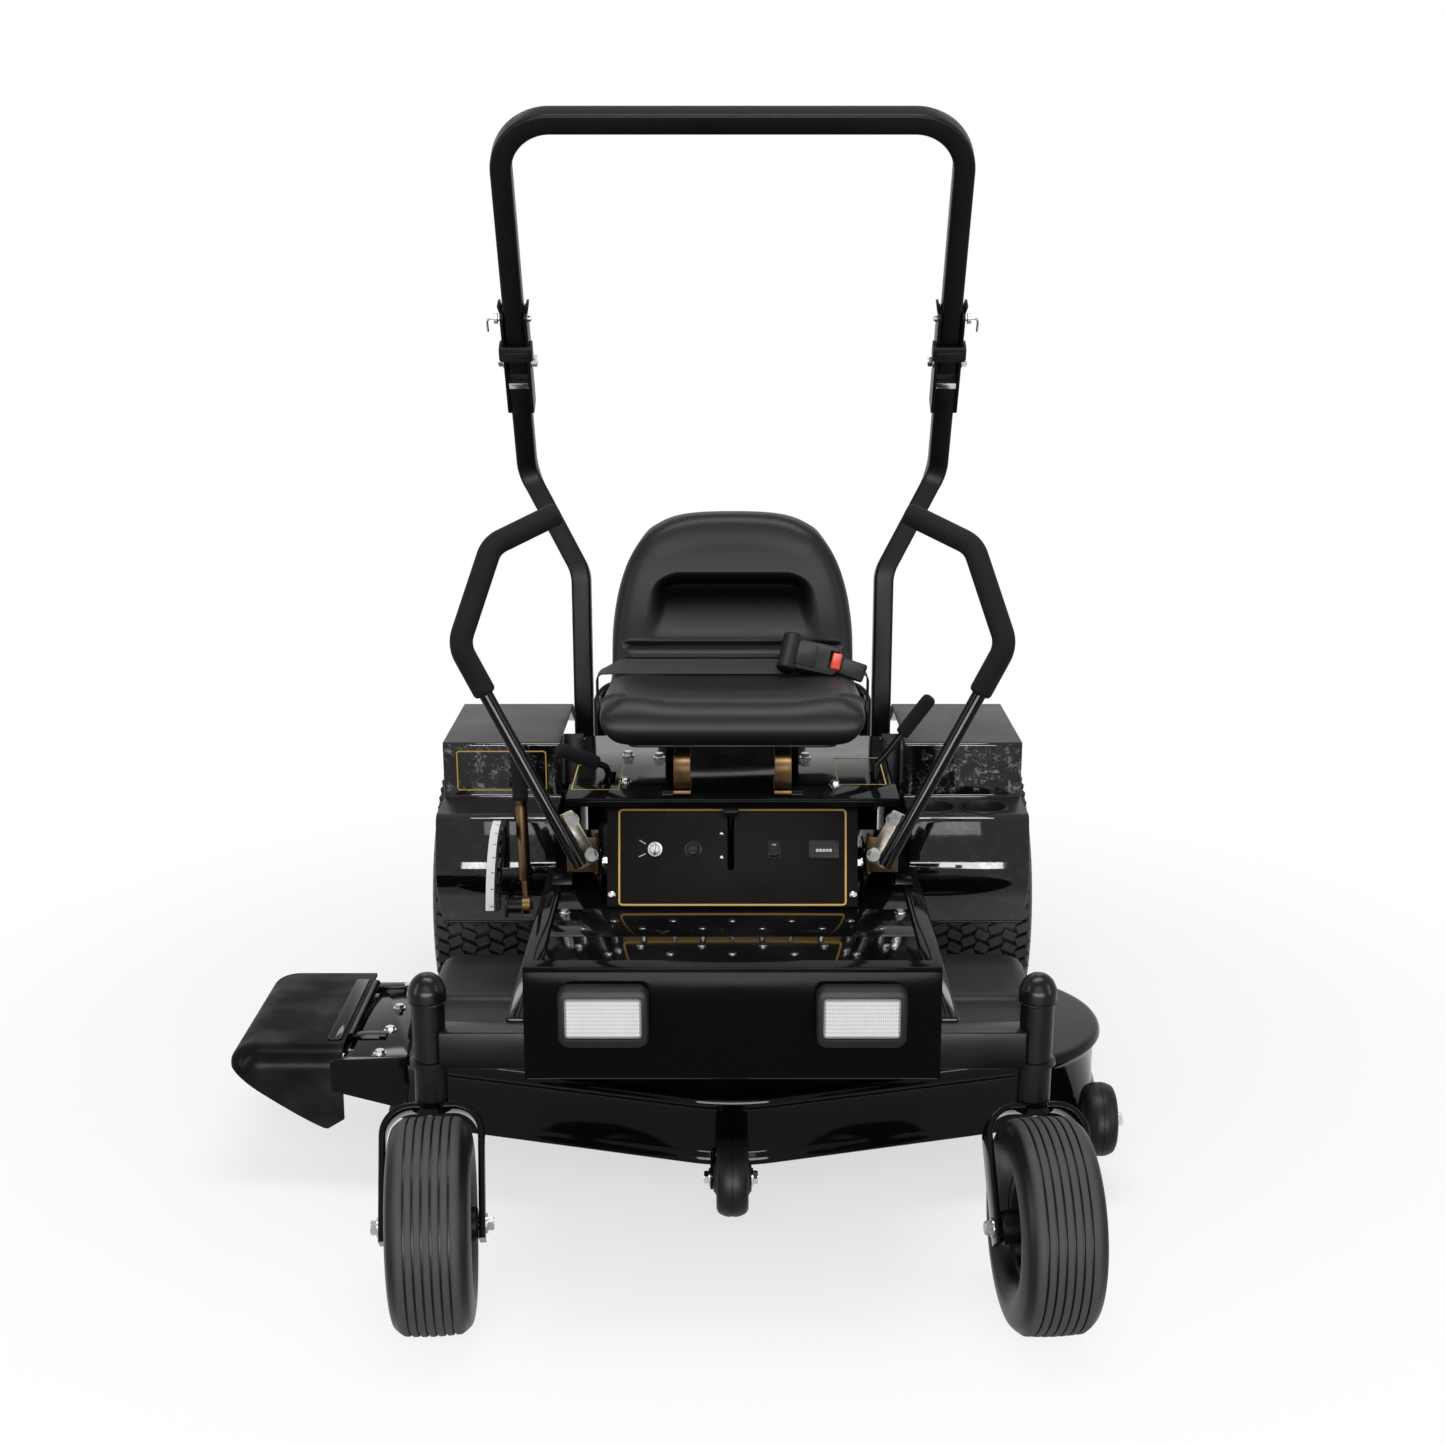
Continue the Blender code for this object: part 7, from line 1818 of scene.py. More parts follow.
def deck_shell():
    """The pressed deck, with a rolled lip round its top and a bead round its lower edge."""
    profile = [(-0.005, 0.245), (-0.005, 0.1265), (-0.003, DECK_LOW), (0.0040, 0.1253), (0.0072, 0.1275),
               (0.0076, 0.1295), (0.0056, 0.1375), (0.0040, 0.1415), (0.0010, 0.1450), (0, 0.1485),
               (0, 0.2200), (0.0030, 0.2260), (0.0085, 0.2310), (0.0112, 0.2360), (0.0110, 0.2385),
               (0.0091, 0.2445), (0.0060, 0.2482), (0.0015, 0.2497), (-0.004, DECK_TOP)]
    rings = [[(x, y, z) for x, y in deck_outline(DECK_RADIUS + grow)] for grow, z in profile]
    shell = Shape().loft(rings)
    holes = Shape().box((-0.720, -0.792, 0.100), (-0.550, -0.500, 0.230), 0)
    for x, y in SPINDLES.values():
        holes.rod((x, y, 0.20), (x, y, 0.30), 0.0135, 32)
    shell.cut(holes)
    for x, y in SPINDLES.values():
        boss = [(0.0133, 0.2475), (0.044, 0.2475), (0.040, 0.2515), (0.040, 0.2605), (0.0385, 0.262),
                (0.0133, 0.262)]
        shell.turned(boss, (x, y, 0), steps=48, closed=True)
    for y in HANGER_Y:
        mirrored_box(shell, (0.3087, y - 0.018, 0.247), (0.3147, y + 0.018, 0.425), 0.0015)
    for y, outward in ((-0.740, -1), (-0.520, 1)):
        first, last = sorted((y + outward * GAP, y + outward * 0.025))
        shell.rod((HINGE_X, first, HINGE_Z), (HINGE_X, last, HINGE_Z), 0.007, 24, 0.0008)
        shell.box((HINGE_X, first, DECK_TOP - 0.004), (HINGE_X + 0.060, last, HINGE_Z + 0.002), 0.001)
    spots = []
    for x, y, rear in SCALP_AXLES.values():
        inner = x - 0.0313
        low, high = SCALP_Z - 0.018, SCALP_Z + 0.018
        arm = rounded([(y - 0.018, low), (rear, low), (rear, high), (y - 0.018, high)], 0.012)
        shell.prism(arm, "X", inner - 0.005, inner, 0.001)
        shell.rod((inner - 0.004, y, SCALP_Z), (x + 0.0353, y, SCALP_Z), 0.008, 24)
        spots += [((inner - 0.005, y, SCALP_Z), -LEFT), ((x + 0.0313, y, SCALP_Z), LEFT)]
    shell.piece("deck_look", "deck", "gloss_paint", "deck_shell", smooth=40)
    bolts("scalp_bolts", "deck", spots, 0.0115, 0.008)
    ring = []
    for x, y in SPINDLES.values():
        for i in range(4):
            angle = math.pi * (0.25 + 0.5 * i)
            ring.append(((x + 0.056 * math.cos(angle), y + 0.056 * math.sin(angle), DECK_TOP), UP))
    ring = [spot for spot in ring if abs(spot[0][0]) < 0.3]
    places = ((0.245, -0.800), (0.300, -0.700))
    edge = [((side * x, y, DECK_TOP), UP) for side in SIDES.values() for x, y in places]
    bolts("deck_bolts", "deck", ring + edge, 0.0080, 0.006)


def belt_cover(name, side):
    """A soft moulded dome over a deck pulley, open underneath."""
    x, y, low = side * 0.438, -0.640, DECK_TOP + GAP
    steps = [(1.000, 0.000), (1.000, 0.003), (0.975, 0.007), (0.958, 0.016), (0.915, 0.036), (0.872, 0.056),
             (0.842, 0.068), (0.800, 0.0755), (0.740, 0.0792), (0.660, 0.0800)]
    rings = []
    for share, rise in steps:
        outline = rectangle(x, y, 0.112 * share, 0.142 * share, 0.045 * share + 0.012 * (1 - share), 8)
        rings.append([(a, b, low + rise) for a, b in outline])
    cover = Shape().loft(rings)
    cover.cut(Shape().rod((side * 0.420, y, low - 0.01), (side * 0.420, y, low + 0.070), 0.070, 48))
    cover.piece("belt_cover_look_" + name, "deck", "moulded_plastic", "belt_cover_" + name, smooth=60)
    corners = [((x + a * 0.100, y + b * 0.110, low + 0.003), UP) for a in (1, -1) for b in (1, -1)]
    domes("belt_cover_screws_" + name, "deck", corners, 0.0060, 0.0040)


def add_deck():
    deck_shell()
    for name, side in SIDES.items():
        belt_cover(name, side)


# Discharge chute


def chute_slice(x):
    """The chute's side outline at one place across it: a top that rolls over into the front flap."""
    near, far = CHUTE_NEAR, CHUTE_FAR
    reach = 0.055
    past = max(0.0, (far + reach) - x) / reach
    drop = 0.034 * (1 - math.sqrt(max(0.0, 1 - past**2)))
    top = HINGE_Z - drop
    front = -0.822 + drop
    if x > near - 0.030:
        low = 0.112 + 0.018 * (x - near + 0.030) / 0.030
    else:
        low = 0.112 + 0.106 * ((near - 0.030 - x) / (near - 0.030 - far)) ** 1.15
    low = min(low, top - 0.012)
    share = (top - low) / 0.146
    roll = min(0.040, 0.78 * (top - low))
    path = flat_bent([(-0.440, top), (front, top), (front - 0.010 * share, low)], roll, 14)
    flap = 8
    last, end = Vector(path[-2]), Vector(path[-1])
    path = path[:-1] + [tuple(last.lerp(end, (i + 1) / flap)) for i in range(flap)]
    return [(x, y, z) for y, z in strip(path, 0.006)]


def discharge_chute():
    """A moulded rubber deflector with a rounded outer corner, on a steel plate with its hinge tube."""
    near, far = CHUTE_NEAR, CHUTE_FAR
    count = 44
    places = [near + (far - near) * math.sin(math.pi / 2 * i / count) for i in range(count + 1)]
    rubber = Shape().loft([chute_slice(x) for x in places])
    rubber.piece("chute_look", "chute", "chute_rubber", "discharge_chute", smooth=50)
    plate = Shape().rod((HINGE_X, -0.740, HINGE_Z), (HINGE_X, -0.520, HINGE_Z), 0.007, 24, 0.0008)
    plate.box((-0.692, -0.739, HINGE_Z - 0.004), (HINGE_X, -0.521, HINGE_Z - 0.001), 0.0005)
    strap = rectangle(-0.696, -0.630, 0.012, 0.150, 0.004)
    plate.prism(strap, "Z", HINGE_Z - 0.001, HINGE_Z + 0.0028, 0.0006)
    plate.piece("chute_plate", "chute", "gloss_paint")


def chute_bracket():
    """The deck's side plate for the chute, with its front turned down and a row of bolts."""
    level = DECK_TOP + 0.0005
    outer, inner, front, rear = -0.656, -0.560, -0.846, -0.480
    sheet = [(inner - 0.040, rear), (outer, rear), (outer, front), (inner, front), (inner, front + 0.060)]
    bracket = Shape().prism(sheet, "Z", level, level + 0.004, 0.0006)
    flap = [(outer, level + 0.004), (inner, level + 0.004), (inner + 0.004, level - 0.052),
            (inner - 0.014, level - 0.092), (outer - 0.036, level - 0.060), (outer - 0.036, level - 0.006)]
    bracket.prism(flap, "Y", front - 0.002, front + 0.002, 0.0006)
    bracket.box((-0.692, -0.796, 0.2395), (-0.640, rear, 0.2435), 0.0006)
    bracket.box((-0.6745, front + 0.002, 0.2395), (-0.640, -0.700, 0.2432), 0.0006)
    bracket.piece("chute_bracket", "deck", "gloss_paint")
    spots = [((-0.607, front + 0.012 + 0.109 * i, level + 0.004), UP) for i in range(4)]
    bolts("chute_bolts", "deck", spots, 0.0085, 0.006)


# Blades


def blade(name):
    """A mowing blade with lifted trailing ends, on its spindle with the belt pulley."""
    x, y = SPINDLES[name]
    turn = spun(20 + 35 * list(SPINDLES).index(name), "Z")
    spindle = [(0, 0.299), (0.011, 0.299), (0.0125, 0.2975), (0.0125, 0.293), (0.060, 0.293), (0.062, 0.2915),
               (0.062, 0.2900), (0.052, 0.2845), (0.052, 0.2835), (0.062, 0.2780), (0.062, 0.2765),
               (0.060, 0.275), (0.0125, 0.275), (0.0125, 0.158), (0.030, 0.154), (0.030, 0.132), (0, 0.132)]
    steel = Shape().turned(spindle, (x, y, 0), steps=48)
    bar = Shape().box((-0.212, -0.028, 0.137), (0.212, 0.028, 0.143), 0.0012)
    for end in (1, -1):
        wing = [(0.010, 0.141), (0.026, 0.141), (0.028, 0.160), (0.023, 0.160)]
        bar.prism([(-end * a, b) for a, b in wing], "X", end * 0.130, end * 0.200, 0.0008)
    steel.take(bar.bm, Matrix.Translation((x, y, 0)) @ turn)
    steel.piece("blade_look_" + name, "blade_" + name + "_body", "plain_steel", "blade_" + name)


def add_blades():
    for name in SPINDLES:
        blade(name)


# Seat

SEAT_SIDES = ((19, 0, 1, 2, 3), (18, 19, 3, 4, 5), (17, 18, 5, 6), (16, 17, 6, 7), (15, 16, 7, 8),
              (14, 15, 8, 9, 10), (13, 14, 10, 11, 12))
SEAT_FRONT, SEAT_REAR, SEAT_LOW, SEAT_HIGH = -0.580, -0.020, 0.722, 1.092
CUSHION_REAR = -0.165
SEAT_HALF = 0.243


def seat_outline():
    """The seat's side outline with each point's zone, from the front edge over the back and under again."""
    front, rear, low, back = SEAT_FRONT, SEAT_REAR, SEAT_LOW, CUSHION_REAR
    return [(front + 0.012, low + 0.012, "rim"), (front, low + 0.045, "rim"),
            (front + 0.018, low + 0.082, "top"), (front + 0.075, low + 0.091, "top"),
            (front + 0.200, low + 0.080, "top"), (back - 0.080, low + 0.070, "top"),
            (back - 0.012, low + 0.068, "crease"), (back - 0.004, low + 0.110, "back"),
            (back + 0.012, low + 0.160, "pocket"), (back + 0.026, low + 0.220, "pocket"),
            (back + 0.034, low + 0.272, "back"), (back + 0.046, low + 0.335, "back"),
            (back + 0.068, SEAT_HIGH, "rim"), (rear - 0.012, SEAT_HIGH - 0.010, "rim"),
            (rear, low + 0.250, "rear"), (rear - 0.004, low + 0.120, "rear"),
            (rear - 0.030, low + 0.020, "rear"), (rear - 0.070, low, "under"), (front + 0.300, low, "under"),
            (front + 0.060, low, "under")]


def back_taper(z):
    """How much narrower a side of the back is at a height."""
    start = 0.80
    return 0.078 * max(0.0, (z - start) / (SEAT_HIGH - start)) ** 2.1


def seat_cage():
    """Side outlines across the seat, with raised bolsters, joined into one closed cage."""
    columns = (-1.0, -0.93, -0.74, -0.50, -0.2, 0.2, 0.50, 0.74, 0.93, 1.0)
    bolster = {0.74: 0.006, 0.93: 0.002}
    crown_drop = {0.50: 0.003, 0.74: 0.012, 0.93: 0.032, 1.0: 0.042}
    edge_z = {"top": -0.022, "crease": -0.010, "under": 0.016}
    edge_y = {"back": 0.024, "pocket": 0.024, "rear": -0.020, "rim": 0.010}
    made = bmesh.new()
    rings = []
    for column in columns:
        place = abs(column)
        ring = []
        for y, z, zone in seat_outline():
            tuck = max(0.0, (SEAT_LOW + 0.050 - z) / 0.050)
            x = column * (SEAT_HALF - back_taper(z) - 0.040 * tuck**1.5)
            z -= crown_drop.get(place, 0) * max(0.0, (z - 1.0) / (SEAT_HIGH - 1.0))
            z += bolster.get(place, 0) if zone == "top" else 0
            y -= bolster.get(place, 0) if zone in ("back", "pocket") else 0
            if place == 1.0:
                z += edge_z.get(zone, 0)
                y += edge_y.get(zone, 0)
            ring.append(made.verts.new((x, y, z)))
        rings.append(ring)
    skin(made, rings)
    for ring in (rings[0], rings[-1]):
        for panel in SEAT_SIDES:
            made.faces.new([ring[i] for i in panel])
    return Shape().take(made)


def step(value, low, high):
    """0 below low, 1 above high, and a smooth step from one to the other."""
    share = min(max((value - low) / (high - low), 0.0), 1.0)
    return share * share * (3 - 2 * share)


def lumbar_hollow(co, normal):
    """0 outside the hollow of the back, and up to 1 inside it."""
    if normal.y > -0.2 or co.z < 0.79:
        return 0.0
    side = 0.150 + 0.22 * (0.969 - co.z)
    top = 0.974 - 1.6 * max(0.0, abs(co.x) - 0.105) ** 1.5
    return (1 - step(abs(co.x), side - 0.034, side + 0.004)) * (1 - step(co.z, top - 0.022, top + 0.002))


def seat_press(co, normal):
    """How far the cover is drawn in at a point: by the hollow, by the back's border and by the seams."""
    depth = 0.0
    if normal.y < -0.2 and co.z > 0.79:
        depth += 0.036 * lumbar_hollow(co, normal) * step(co.z, 0.835, 0.955)
        border = SEAT_HALF - 0.007 - back_taper(co.z) - abs(co.x)
        border = min(border, 1.088 - 1.3 * co.x**2 - co.z)
        depth += 0.004 * step(border, 0.012, 0.062) * step(co.z, 0.845, 0.90)
        across = 1 - step(abs(co.x), 0.195, 0.225)
        depth += 0.010 * across * math.exp(-((co.z - 0.838) / 0.005) ** 2)
        depth -= 0.008 * across * math.exp(-((co.z - 0.818) / 0.012) ** 2)
    if normal.z > 0.3 and co.z < 0.86:
        line = co.y + 0.495 - 0.35 * (abs(co.x) - 0.2125)
        wide = step(abs(co.x), 0.176, 0.196)
        depth += 0.008 * wide * math.exp(-((line - 0.004) / 0.005) ** 2)
        depth -= 0.005 * wide * math.exp(-((line + 0.009) / 0.008) ** 2)
    return depth


def seat():
    """One foam seat under a sewn cover: the smoothed cage with its seams and hollows drawn in."""
    cushion = seat_cage().object("seat_look")
    smooth = cushion.modifiers.new("smooth", "SUBSURF")
    smooth.levels = 4
    smooth.render_levels = 4
    plain_mesh(cushion)
    mesh = cushion.data
    depths = [seat_press(vert.co, vert.normal) for vert in mesh.vertices]
    # Painted shade: the upper part of the lumbar hollow, stored on each point for the vinyl to darken.
    hollow_shade = [lumbar_hollow(vert.co, vert.normal) * step(vert.co.z, 0.845, 0.935) for vert in mesh.vertices]
    moves = [vert.normal * depth for vert, depth in zip(mesh.vertices, depths)]
    for vert, move in zip(mesh.vertices, moves):
        vert.co -= move
    hollow = mesh.attributes.new("hollow", "FLOAT", "POINT")
    hollow.data.foreach_set("value", hollow_shade)
    dressed(cushion, "seat_assembly", "seat_vinyl", "seat", smooth=60)


def seat_frame():
    """The steel pan on two C-shaped leaf springs, with its belt bar and rear bumpers."""
    pan = Shape().prism(rectangle(0, -0.315, 0.190, 0.195, 0.020), "Z", 0.7167, 0.7217, 0.0012)
    ear = 0.2617
    pan.box((-ear, -0.240, 0.7127), (ear, -0.186, 0.7187), 0.001)
    mirrored_box(pan, (ear - 0.005, -0.240, 0.7127), (ear, -0.186, 0.742))
    pan.piece("seat_pan", "seat_assembly", "satin_paint", "seat_frame")
    front = -0.584
    path = flat_bent([(front + 0.150, 0.7177), (front, 0.7177), (front, 0.6453), (front + 0.120, 0.6453)],
                     0.030, 14)
    springs = Shape()
    stops = Shape()
    spots = []
    for side in SIDES.values():
        x = side * 0.090
        springs.prism(strip(path, 0.005), "X", x - 0.015, x + 0.015, 0.0008)
        springs.rod((x - 0.015, *SEAT_HINGE), (x + 0.015, *SEAT_HINGE), 0.005, 24)
        springs.box((x - 0.015, SEAT_HINGE[0], 0.6468), (x + 0.015, front + 0.050, 0.6498), 0.0005)
        stops.rod((side * 0.120, -0.170, 0.6453), (side * 0.120, -0.170, 0.7187), 0.012, 32, 0.002)
        spots += [((x, front + 0.075, 0.6503), UP), ((x, front + 0.075, 0.7127), -UP)]
    springs.piece("seat_springs", "seat_assembly", "yellow_zinc", smooth=40)
    stops.piece("seat_bumpers", "seat_assembly", "grip_foam")
    bolts("seat_spring_nuts", "seat_assembly", spots, 0.0095, 0.012)


def lap_belt():
    """A webbing strap across the cushion with its latch plate, and the buckle with its button."""
    lean = math.radians(38)
    drop, low, top = 0.262, 0.716, 0.806
    corners = [(-drop, low), (-drop, top - 0.014), (-drop + 0.044, top), (drop - 0.044, top),
               (drop, top - 0.014), (drop, low)]
    flat = flat_bent(corners, 0.018, 10)
    route = []
    facings = []
    for x, z in flat:
        share = 1 - step(abs(x), drop - 0.070, drop - 0.004)
        facings.append(Vector((0, math.cos(lean * share), math.sin(lean * share))))
        route.append((x, -0.213 - 0.009 * share, z))
    strap = Shape().swept(route, rectangle(0, 0, 0.023, 0.0014, 0.0010, 3), facings)
    strap.piece("strap_look", "seat_assembly", "webbing", "lap_belt", smooth=50)
    middle_x = 0.1525
    tilt = Matrix.Translation((middle_x, -0.236, 0.820)) @ spun(56, "X")
    tilt = tilt @ spun(-13, "Z") @ Matrix.Translation((-middle_x, 0, 0))
    droop = tilt @ Matrix.Translation((0.206, 0, 0)) @ spun(-7, "Z")
    tongue = Shape().box((0, -0.020, 0.004), (0.052, 0.017, 0.016), 0.005, 3, droop)
    tongue.piece("belt_tongue", "seat_assembly", "moulded_plastic")
    rings = []
    for share, rise in ((0.96, 0.0018), (1.0, 0.005), (1.0, 0.016), (0.985, 0.022), (0.95, 0.0252),
                        (0.88, 0.0266)):
        outline = rectangle(middle_x, 0, 0.0525 * share, 0.031 * share, 0.010, 6)
        rings.append([(a, b, rise) for a, b in outline])
    body = Shape().loft(rings)
    body.cut(Shape().box((0.185, -0.0186, 0.0095), (0.23, 0.0186, 0.040), 0))
    body.rod((0.108, -0.037, 0.018), (0.108, 0.037, 0.018), 0.0185, 40, 0.003)
    body.box((0.118, -0.022, 0.0255), (0.160, 0.022, 0.0285), 0.0012)
    body.moved(tilt).piece("buckle_look", "seat_assembly", "moulded_plastic", "belt_buckle")
    press = Shape().box((0.190, -0.017, 0.0105), (0.2085, 0.017, 0.0265), 0.0030, 3, tilt)
    press.piece("button_look", "button", "red_plastic", "buckle_button")


def add_seat():
    seat()
    seat_frame()
    lap_belt()


# Engine and drive

ENGINE_Y = 0.288
ENGINE_LOW = 0.4483


def engine_block():
    """A crankcase with two finned cylinders set in a V towards the rear."""
    block = Shape().box((-0.105, ENGINE_Y - 0.105, ENGINE_LOW), (0.105, ENGINE_Y + 0.105, 0.620), 0.012, 4)
    for side in SIDES.values():
        place = Matrix.Translation((0, ENGINE_Y, 0)) @ spun(90 - side * 45, "Z")
        block.box((0.050, -0.042, ENGINE_LOW + 0.060), (0.215, 0.042, ENGINE_LOW + 0.140), 0.004,
                  matrix=place)
        for fin in range(5):
            start = 0.122 + fin * 0.018
            block.box((start, -0.056, ENGINE_LOW + 0.046), (start + 0.007, 0.056, ENGINE_LOW + 0.154), 0.0015,
                      matrix=place)
    block.piece("engine_look", "frame", "cast_alloy", "engine_block")


def blower_housing():
    """The fan's round cover, with a ring of slots in its screen drawn as flat patches of painted shade."""
    low, top = 0.6203, 0.765
    profile = [(0, top), (0.060, top), (0.064, top - 0.002), (0.070, top - 0.008), (0.112, top - 0.008),
               (0.1145, top - 0.010), (0.118, top - 0.020), (0.140, top - 0.024), (0.155, top - 0.032),
               (0.163, top - 0.046), (0.165, top - 0.056), (0.165, low + 0.002), (0.163, low), (0, low)]
    cover = Shape().turned(profile, (0, ENGINE_Y, 0), steps=96)
    cover.piece("blower_look", "frame", "moulded_plastic", "blower_housing")
    slots = []
    for ring in (0.078, 0.091, 0.104):
        count = round(ring * 420)
        for i in range(count):
            angle = 2 * math.pi * i / count
            out = Vector((math.cos(angle), math.sin(angle), 0))
            slots.append((Vector((0, ENGINE_Y, top - 0.0078)) + out * ring, UP, angle))
    # Each slot is a flat dark block on the screen, painted shade where a real slot would be open.
    blocks("blower_slots", "frame", slots, "black_hole", (0.009, 0.0055, 0.0010))


def muffler():
    """A rolled can across the back, with seamed ends and an upturned tail."""
    y, z = 0.528, 0.4933
    half = 0.160
    can = [(0, half - 0.004), (0.036, half - 0.004), (0.039, half), (0.043, half), (0.045, half - 0.002),
           (0.045, half - 0.010), (0.0435, half - 0.012), (0.0435, 0)]
    body = Shape().turned(mirrored(can[:-1]), (0, y, z), (1, 0, 0), 72)
    route = [(-0.080, y, z), (-0.080, y + 0.045, z + 0.030), (-0.080, y + 0.056, z + 0.070)]
    body.tube(bent(route, 0.02, 8), 0.014, 28)
    body.piece("muffler_look", "frame", "plain_steel", "muffler")


def fuel_tank():
    """A blow-moulded tank under the seat box, with a seam round its middle."""
    tank = Shape().box((-0.250, -0.470, 0.4453), (0.225, -0.150, 0.570), 0.022, 5)
    seam = Shape().prism(rectangle(-0.0125, -0.310, 0.2380, 0.1605, 0.024), "Z", 0.506, 0.510, 0.0008)
    tank.take(seam.bm)
    tank.piece("tank_look", "frame", "moulded_plastic", "fuel_tank", smooth=40)


def transaxle(name, side):
    """A cast drive with its axle, its flange on the rail, and the fan and pulley on top."""
    z = 0.279
    case = Shape().box((side * 0.130, -0.085, z - 0.075), (side * 0.3107, 0.085, z + 0.090), 0.014, 4)
    case.box((side * 0.3047, -0.090, z - 0.060), (side * 0.3147, 0.090, 0.438), 0.002)
    case.rod((side * 0.3027, 0, z), (side * 0.4677, 0, z), 0.018, 32)
    case.rod((side * 0.4557, 0, z), (side * 0.4677, 0, z), 0.045, 48, 0.001)
    for i in range(7):
        y = -0.066 + 0.022 * i
        case.box((side * 0.150, y - 0.003, z + 0.085), (side * 0.292, y + 0.003, z + 0.094), 0.001)
    case.piece("transaxle_look_" + name, "frame", "cast_alloy", "transaxle_" + name)
    pulley = [(0, 0.1205), (0.014, 0.1205), (0.016, 0.120), (0.060, 0.120), (0.062, 0.1185), (0.054, 0.1125),
              (0.054, 0.1115), (0.062, 0.1055), (0.060, 0.104), (0.016, 0.104), (0.016, 0.080), (0, 0.080)]
    wheel = Shape().turned(pulley, (side * 0.215, 0, z), steps=64)
    wheel.piece("transaxle_pulley_" + name, "frame", "plain_steel")


def add_engine():
    engine_block()
    blower_housing()
    muffler()
    fuel_tank()
    for name, side in SIDES.items():
        transaxle(name, side)


# Stage


def seen_directly(make):
    """1 for rays from the camera, off gloss and through glass, and 0 for the light that falls on surfaces."""
    path = make.tree.nodes.new("ShaderNodeLightPath")
    camera, glossy, through = (Value(make, path.outputs[name])
                               for name in ("Is Camera Ray", "Is Glossy Ray", "Is Transmission Ray"))
    return camera.math("MAXIMUM", glossy).math("MAXIMUM", through)


class Sky(Finish):
    """The world's node tree while it is being wired."""

    def __init__(self, world):
        world.use_nodes = True
        self.tree = world.node_tree
        self.tree.nodes.clear()

    def wire(self, ambient):
        light = self.node("ShaderNodeBackground", None, (1.0, 1.0, 1.0), ambient)
        white = self.node("ShaderNodeBackground", None, (1.0, 1.0, 1.0), 1.0)
        mixed = self.node("ShaderNodeMixShader", None, seen_directly(self), light, white)
        end = self.tree.nodes.new("ShaderNodeOutputWorld")
        self.tree.links.new(mixed.socket, end.inputs["Surface"])


def floor_paint(name):
    """A pale floor that keeps the mower's shadow and fades to white away from it."""
    make = Finish(name)
    away = make.node("ShaderNodeVectorMath", {"operation": "LENGTH"}, make.place(), out="Value")
    cloud = make.noise(2.0, 2.0)
    make.surface(Base_Color=make.mix(cloud, (0.86, 0.86, 0.86), (0.88, 0.88, 0.88)), Roughness=0.9,
                 Specular_IOR_Level=0.0)
    glow = make.node("ShaderNodeEmission", None, (1.0, 1.0, 1.0), 1.0)
    share = (0.66 + away.between(0.6, 2.0) * 0.34) * seen_directly(make)
    return make.covered(share, glow)


def soft_box(name, place, target, width, height, power, shine=None):
    """A rectangular lamp that looks at a point. One for shine only draws streaks on the given pieces."""
    lamp = bpy.data.lights.new(name, "AREA")
    lamp.shape = "RECTANGLE"
    lamp.size = width
    lamp.size_y = height
    lamp.energy = power
    obj = added(name, lamp)
    obj.location = place
    obj.rotation_euler = (Vector(target) - Vector(place)).to_track_quat("-Z", "Y").to_euler()
    if shine:
        obj.visible_diffuse = False
        obj.light_linking.receiver_collection = shine


def add_stage():
    scene = bpy.context.scene
    scene.view_settings.view_transform = "Standard"
    scene.world = scene.world or bpy.data.worlds.new("studio")
    Sky(scene.world).wire(0.32)
    sides = 72
    edge = arc((0, -0.4), 9.0, 0, 2 * math.pi * (sides - 1) / sides, sides - 1)
    floor = Shape().prism(edge, "Z", -0.02, -0.0005).object("floor")
    floor.data.materials.append(floor_paint("floor_paint"))
    middle_point = (0, -0.3, 0.6)
    shine = bpy.data.collections.new("dark_coats")
    for piece in SHINY:
        shine.objects.link(piece)
    soft_box("key_lamp", (0.2, -1.2, 4.2), middle_point, 2.4, 1.4, 85)
    soft_box("front_fill", (0, -5.0, 2.8), middle_point, 3.0, 1.2, 60)
    soft_box("rear_rim", (0, 2.8, 3.4), middle_point, 3.4, 0.3, 30)
    soft_box("front_streak", (0, -5.2, 0.70), middle_point, 4.6, 1.2, 520, shine)
    soft_box("top_streak", (0, -1.4, 4.0), middle_point, 3.0, 0.35, 130, shine)
    soft_box("left_streak", (3.4, -2.4, 1.5), middle_point, 0.25, 2.4, 55, shine)
    soft_box("right_streak", (-3.4, -2.4, 1.5), middle_point, 0.25, 2.4, 55, shine)
    pixels = 1445
    centre_u, centre_v, focal = 732.5, 864.0, 2054.0
    lens = bpy.data.cameras.new("camera")
    lens.sensor_width = 36.0
    lens.lens = 36.0 * focal / pixels
    lens.shift_x = (pixels / 2 - centre_u) / pixels
    lens.shift_y = (centre_v - pixels / 2) / pixels
    camera = added("camera", lens)
    camera.location = (0, -4.12, 1.606)
    camera.rotation_euler = (math.radians(72.92), 0, 0)
    scene.camera = camera


# Operators


class AddWheels(bpy.types.Operator):
    """Adds the rear tyres with their tread, the caster wheels and the anti-scalp wheels"""

    bl_idname = "mower.wheels"
    bl_label = "Wheels"

    def execute(self, context):
        add_wheels()
        return {"FINISHED"}


class AddCasters(bpy.types.Operator):
    """Adds the caster forks and the beam that carries them"""

    bl_idname = "mower.casters"
    bl_label = "Casters"

    def execute(self, context):
        add_casters()
        return {"FINISHED"}


class AddFrame(bpy.types.Operator):
    """Adds the main frame, the front panel and the footplate with its dimples"""

    bl_idname = "mower.frame"
    bl_label = "Frame"

    def execute(self, context):
        add_frame()
        return {"FINISHED"}


class AddHeadlights(bpy.types.Operator):
    """Adds both headlights with their ribbed lenses"""

    bl_idname = "mower.headlights"
    bl_label = "Headlights"

    def execute(self, context):
        add_headlights()
        return {"FINISHED"}


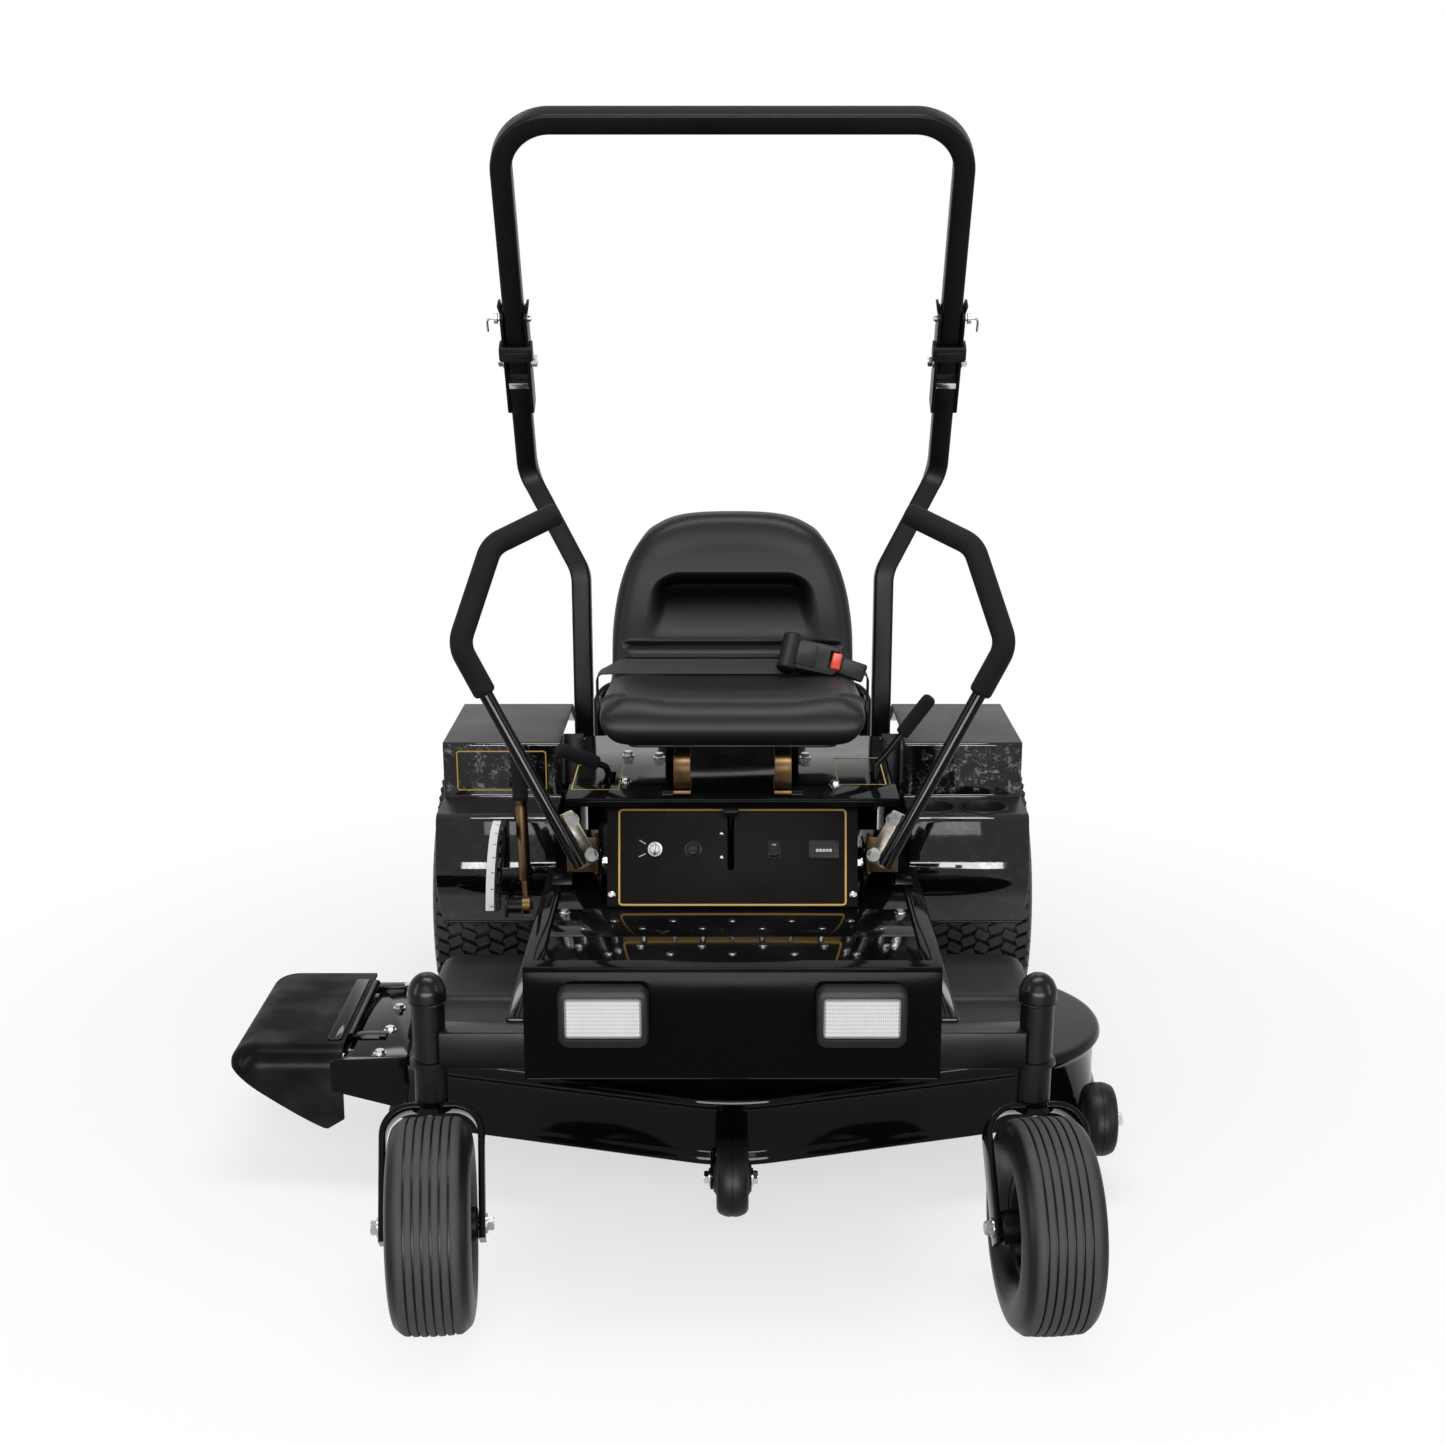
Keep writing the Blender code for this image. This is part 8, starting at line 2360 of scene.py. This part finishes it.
class AddConsole(bpy.types.Operator):
    """Adds the switch panel and the controls on it"""

    bl_idname = "mower.console"
    bl_label = "Console"

    def execute(self, context):
        add_console()
        return {"FINISHED"}


class AddShortLevers(bpy.types.Operator):
    """Adds the seat box and the brake, blade and height levers"""

    bl_idname = "mower.short_levers"
    bl_label = "Seat box and short levers"

    def execute(self, context):
        add_short_levers()
        return {"FINISHED"}


class AddFenders(bpy.types.Operator):
    """Adds both fenders, the cup holders and the height sector"""

    bl_idname = "mower.fenders"
    bl_label = "Fenders"

    def execute(self, context):
        add_fenders()
        return {"FINISHED"}


class AddRollBar(bpy.types.Operator):
    """Adds the roll-bar's posts, hoop, hinges and lock pins"""

    bl_idname = "mower.roll_bar"
    bl_label = "Roll-bar"

    def execute(self, context):
        add_roll_bar()
        return {"FINISHED"}


class AddControlLevers(bpy.types.Operator):
    """Adds both control levers with their grips and yokes"""

    bl_idname = "mower.control_levers"
    bl_label = "Control levers"

    def execute(self, context):
        add_control_levers()
        return {"FINISHED"}


class AddDeck(bpy.types.Operator):
    """Adds the mower deck and its belt covers"""

    bl_idname = "mower.deck"
    bl_label = "Deck"

    def execute(self, context):
        add_deck()
        return {"FINISHED"}


class AddChute(bpy.types.Operator):
    """Adds the discharge chute with its hinge plate"""

    bl_idname = "mower.chute"
    bl_label = "Discharge chute"

    def execute(self, context):
        discharge_chute()
        chute_bracket()
        return {"FINISHED"}


class AddBlades(bpy.types.Operator):
    """Adds the three blades with their spindles and pulleys"""

    bl_idname = "mower.blades"
    bl_label = "Blades"

    def execute(self, context):
        add_blades()
        return {"FINISHED"}


class AddSeat(bpy.types.Operator):
    """Adds the seat, its springs, the lap belt and the buckle"""

    bl_idname = "mower.seat"
    bl_label = "Seat"

    def execute(self, context):
        add_seat()
        return {"FINISHED"}


class AddEngine(bpy.types.Operator):
    """Adds the engine, the muffler, the tank and the drives"""

    bl_idname = "mower.engine"
    bl_label = "Engine and drive"

    def execute(self, context):
        add_engine()
        return {"FINISHED"}


class AddStage(bpy.types.Operator):
    """Adds the floor, the lamps, the background and the camera"""

    bl_idname = "mower.stage"
    bl_label = "Stage"

    def execute(self, context):
        add_stage()
        return {"FINISHED"}


OPERATORS = (AddWheels, AddCasters, AddFrame, AddHeadlights, AddConsole, AddShortLevers, AddFenders,
             AddRollBar, AddControlLevers, AddDeck, AddChute, AddBlades, AddSeat, AddEngine, AddStage)


class MowerPanel(bpy.types.Panel):
    """Lists the colours, the sizes and the steps of the mower's looks"""

    bl_idname = "VIEW3D_PT_mower"
    bl_label = "Riding mower"
    bl_space_type = "VIEW_3D"
    bl_region_type = "UI"
    bl_category = "Mower"

    def draw(self, context):
        for group in (context.scene.mower_colours, context.scene.mower_sizes):
            for name in group.__annotations__:
                self.layout.prop(group, name)
        for operator in OPERATORS:
            self.layout.operator(operator.bl_idname)


CLASSES = (MowerColours, MowerSizes, *OPERATORS, MowerPanel)


def register():
    for item in CLASSES:
        bpy.utils.register_class(item)
    bpy.types.Scene.mower_colours = bpy.props.PointerProperty(type=MowerColours)
    bpy.types.Scene.mower_sizes = bpy.props.PointerProperty(type=MowerSizes)


def unregister():
    del bpy.types.Scene.mower_sizes
    del bpy.types.Scene.mower_colours
    for item in reversed(CLASSES):
        bpy.utils.unregister_class(item)


def main():
    register()
    bpy.ops.mower.wheels()
    bpy.ops.mower.casters()
    bpy.ops.mower.frame()
    bpy.ops.mower.headlights()
    bpy.ops.mower.console()
    bpy.ops.mower.short_levers()
    bpy.ops.mower.fenders()
    bpy.ops.mower.roll_bar()
    bpy.ops.mower.control_levers()
    bpy.ops.mower.deck()
    bpy.ops.mower.chute()
    bpy.ops.mower.blades()
    bpy.ops.mower.seat()
    bpy.ops.mower.engine()
    bpy.ops.mower.stage()


if __name__ == "__main__":
    main()
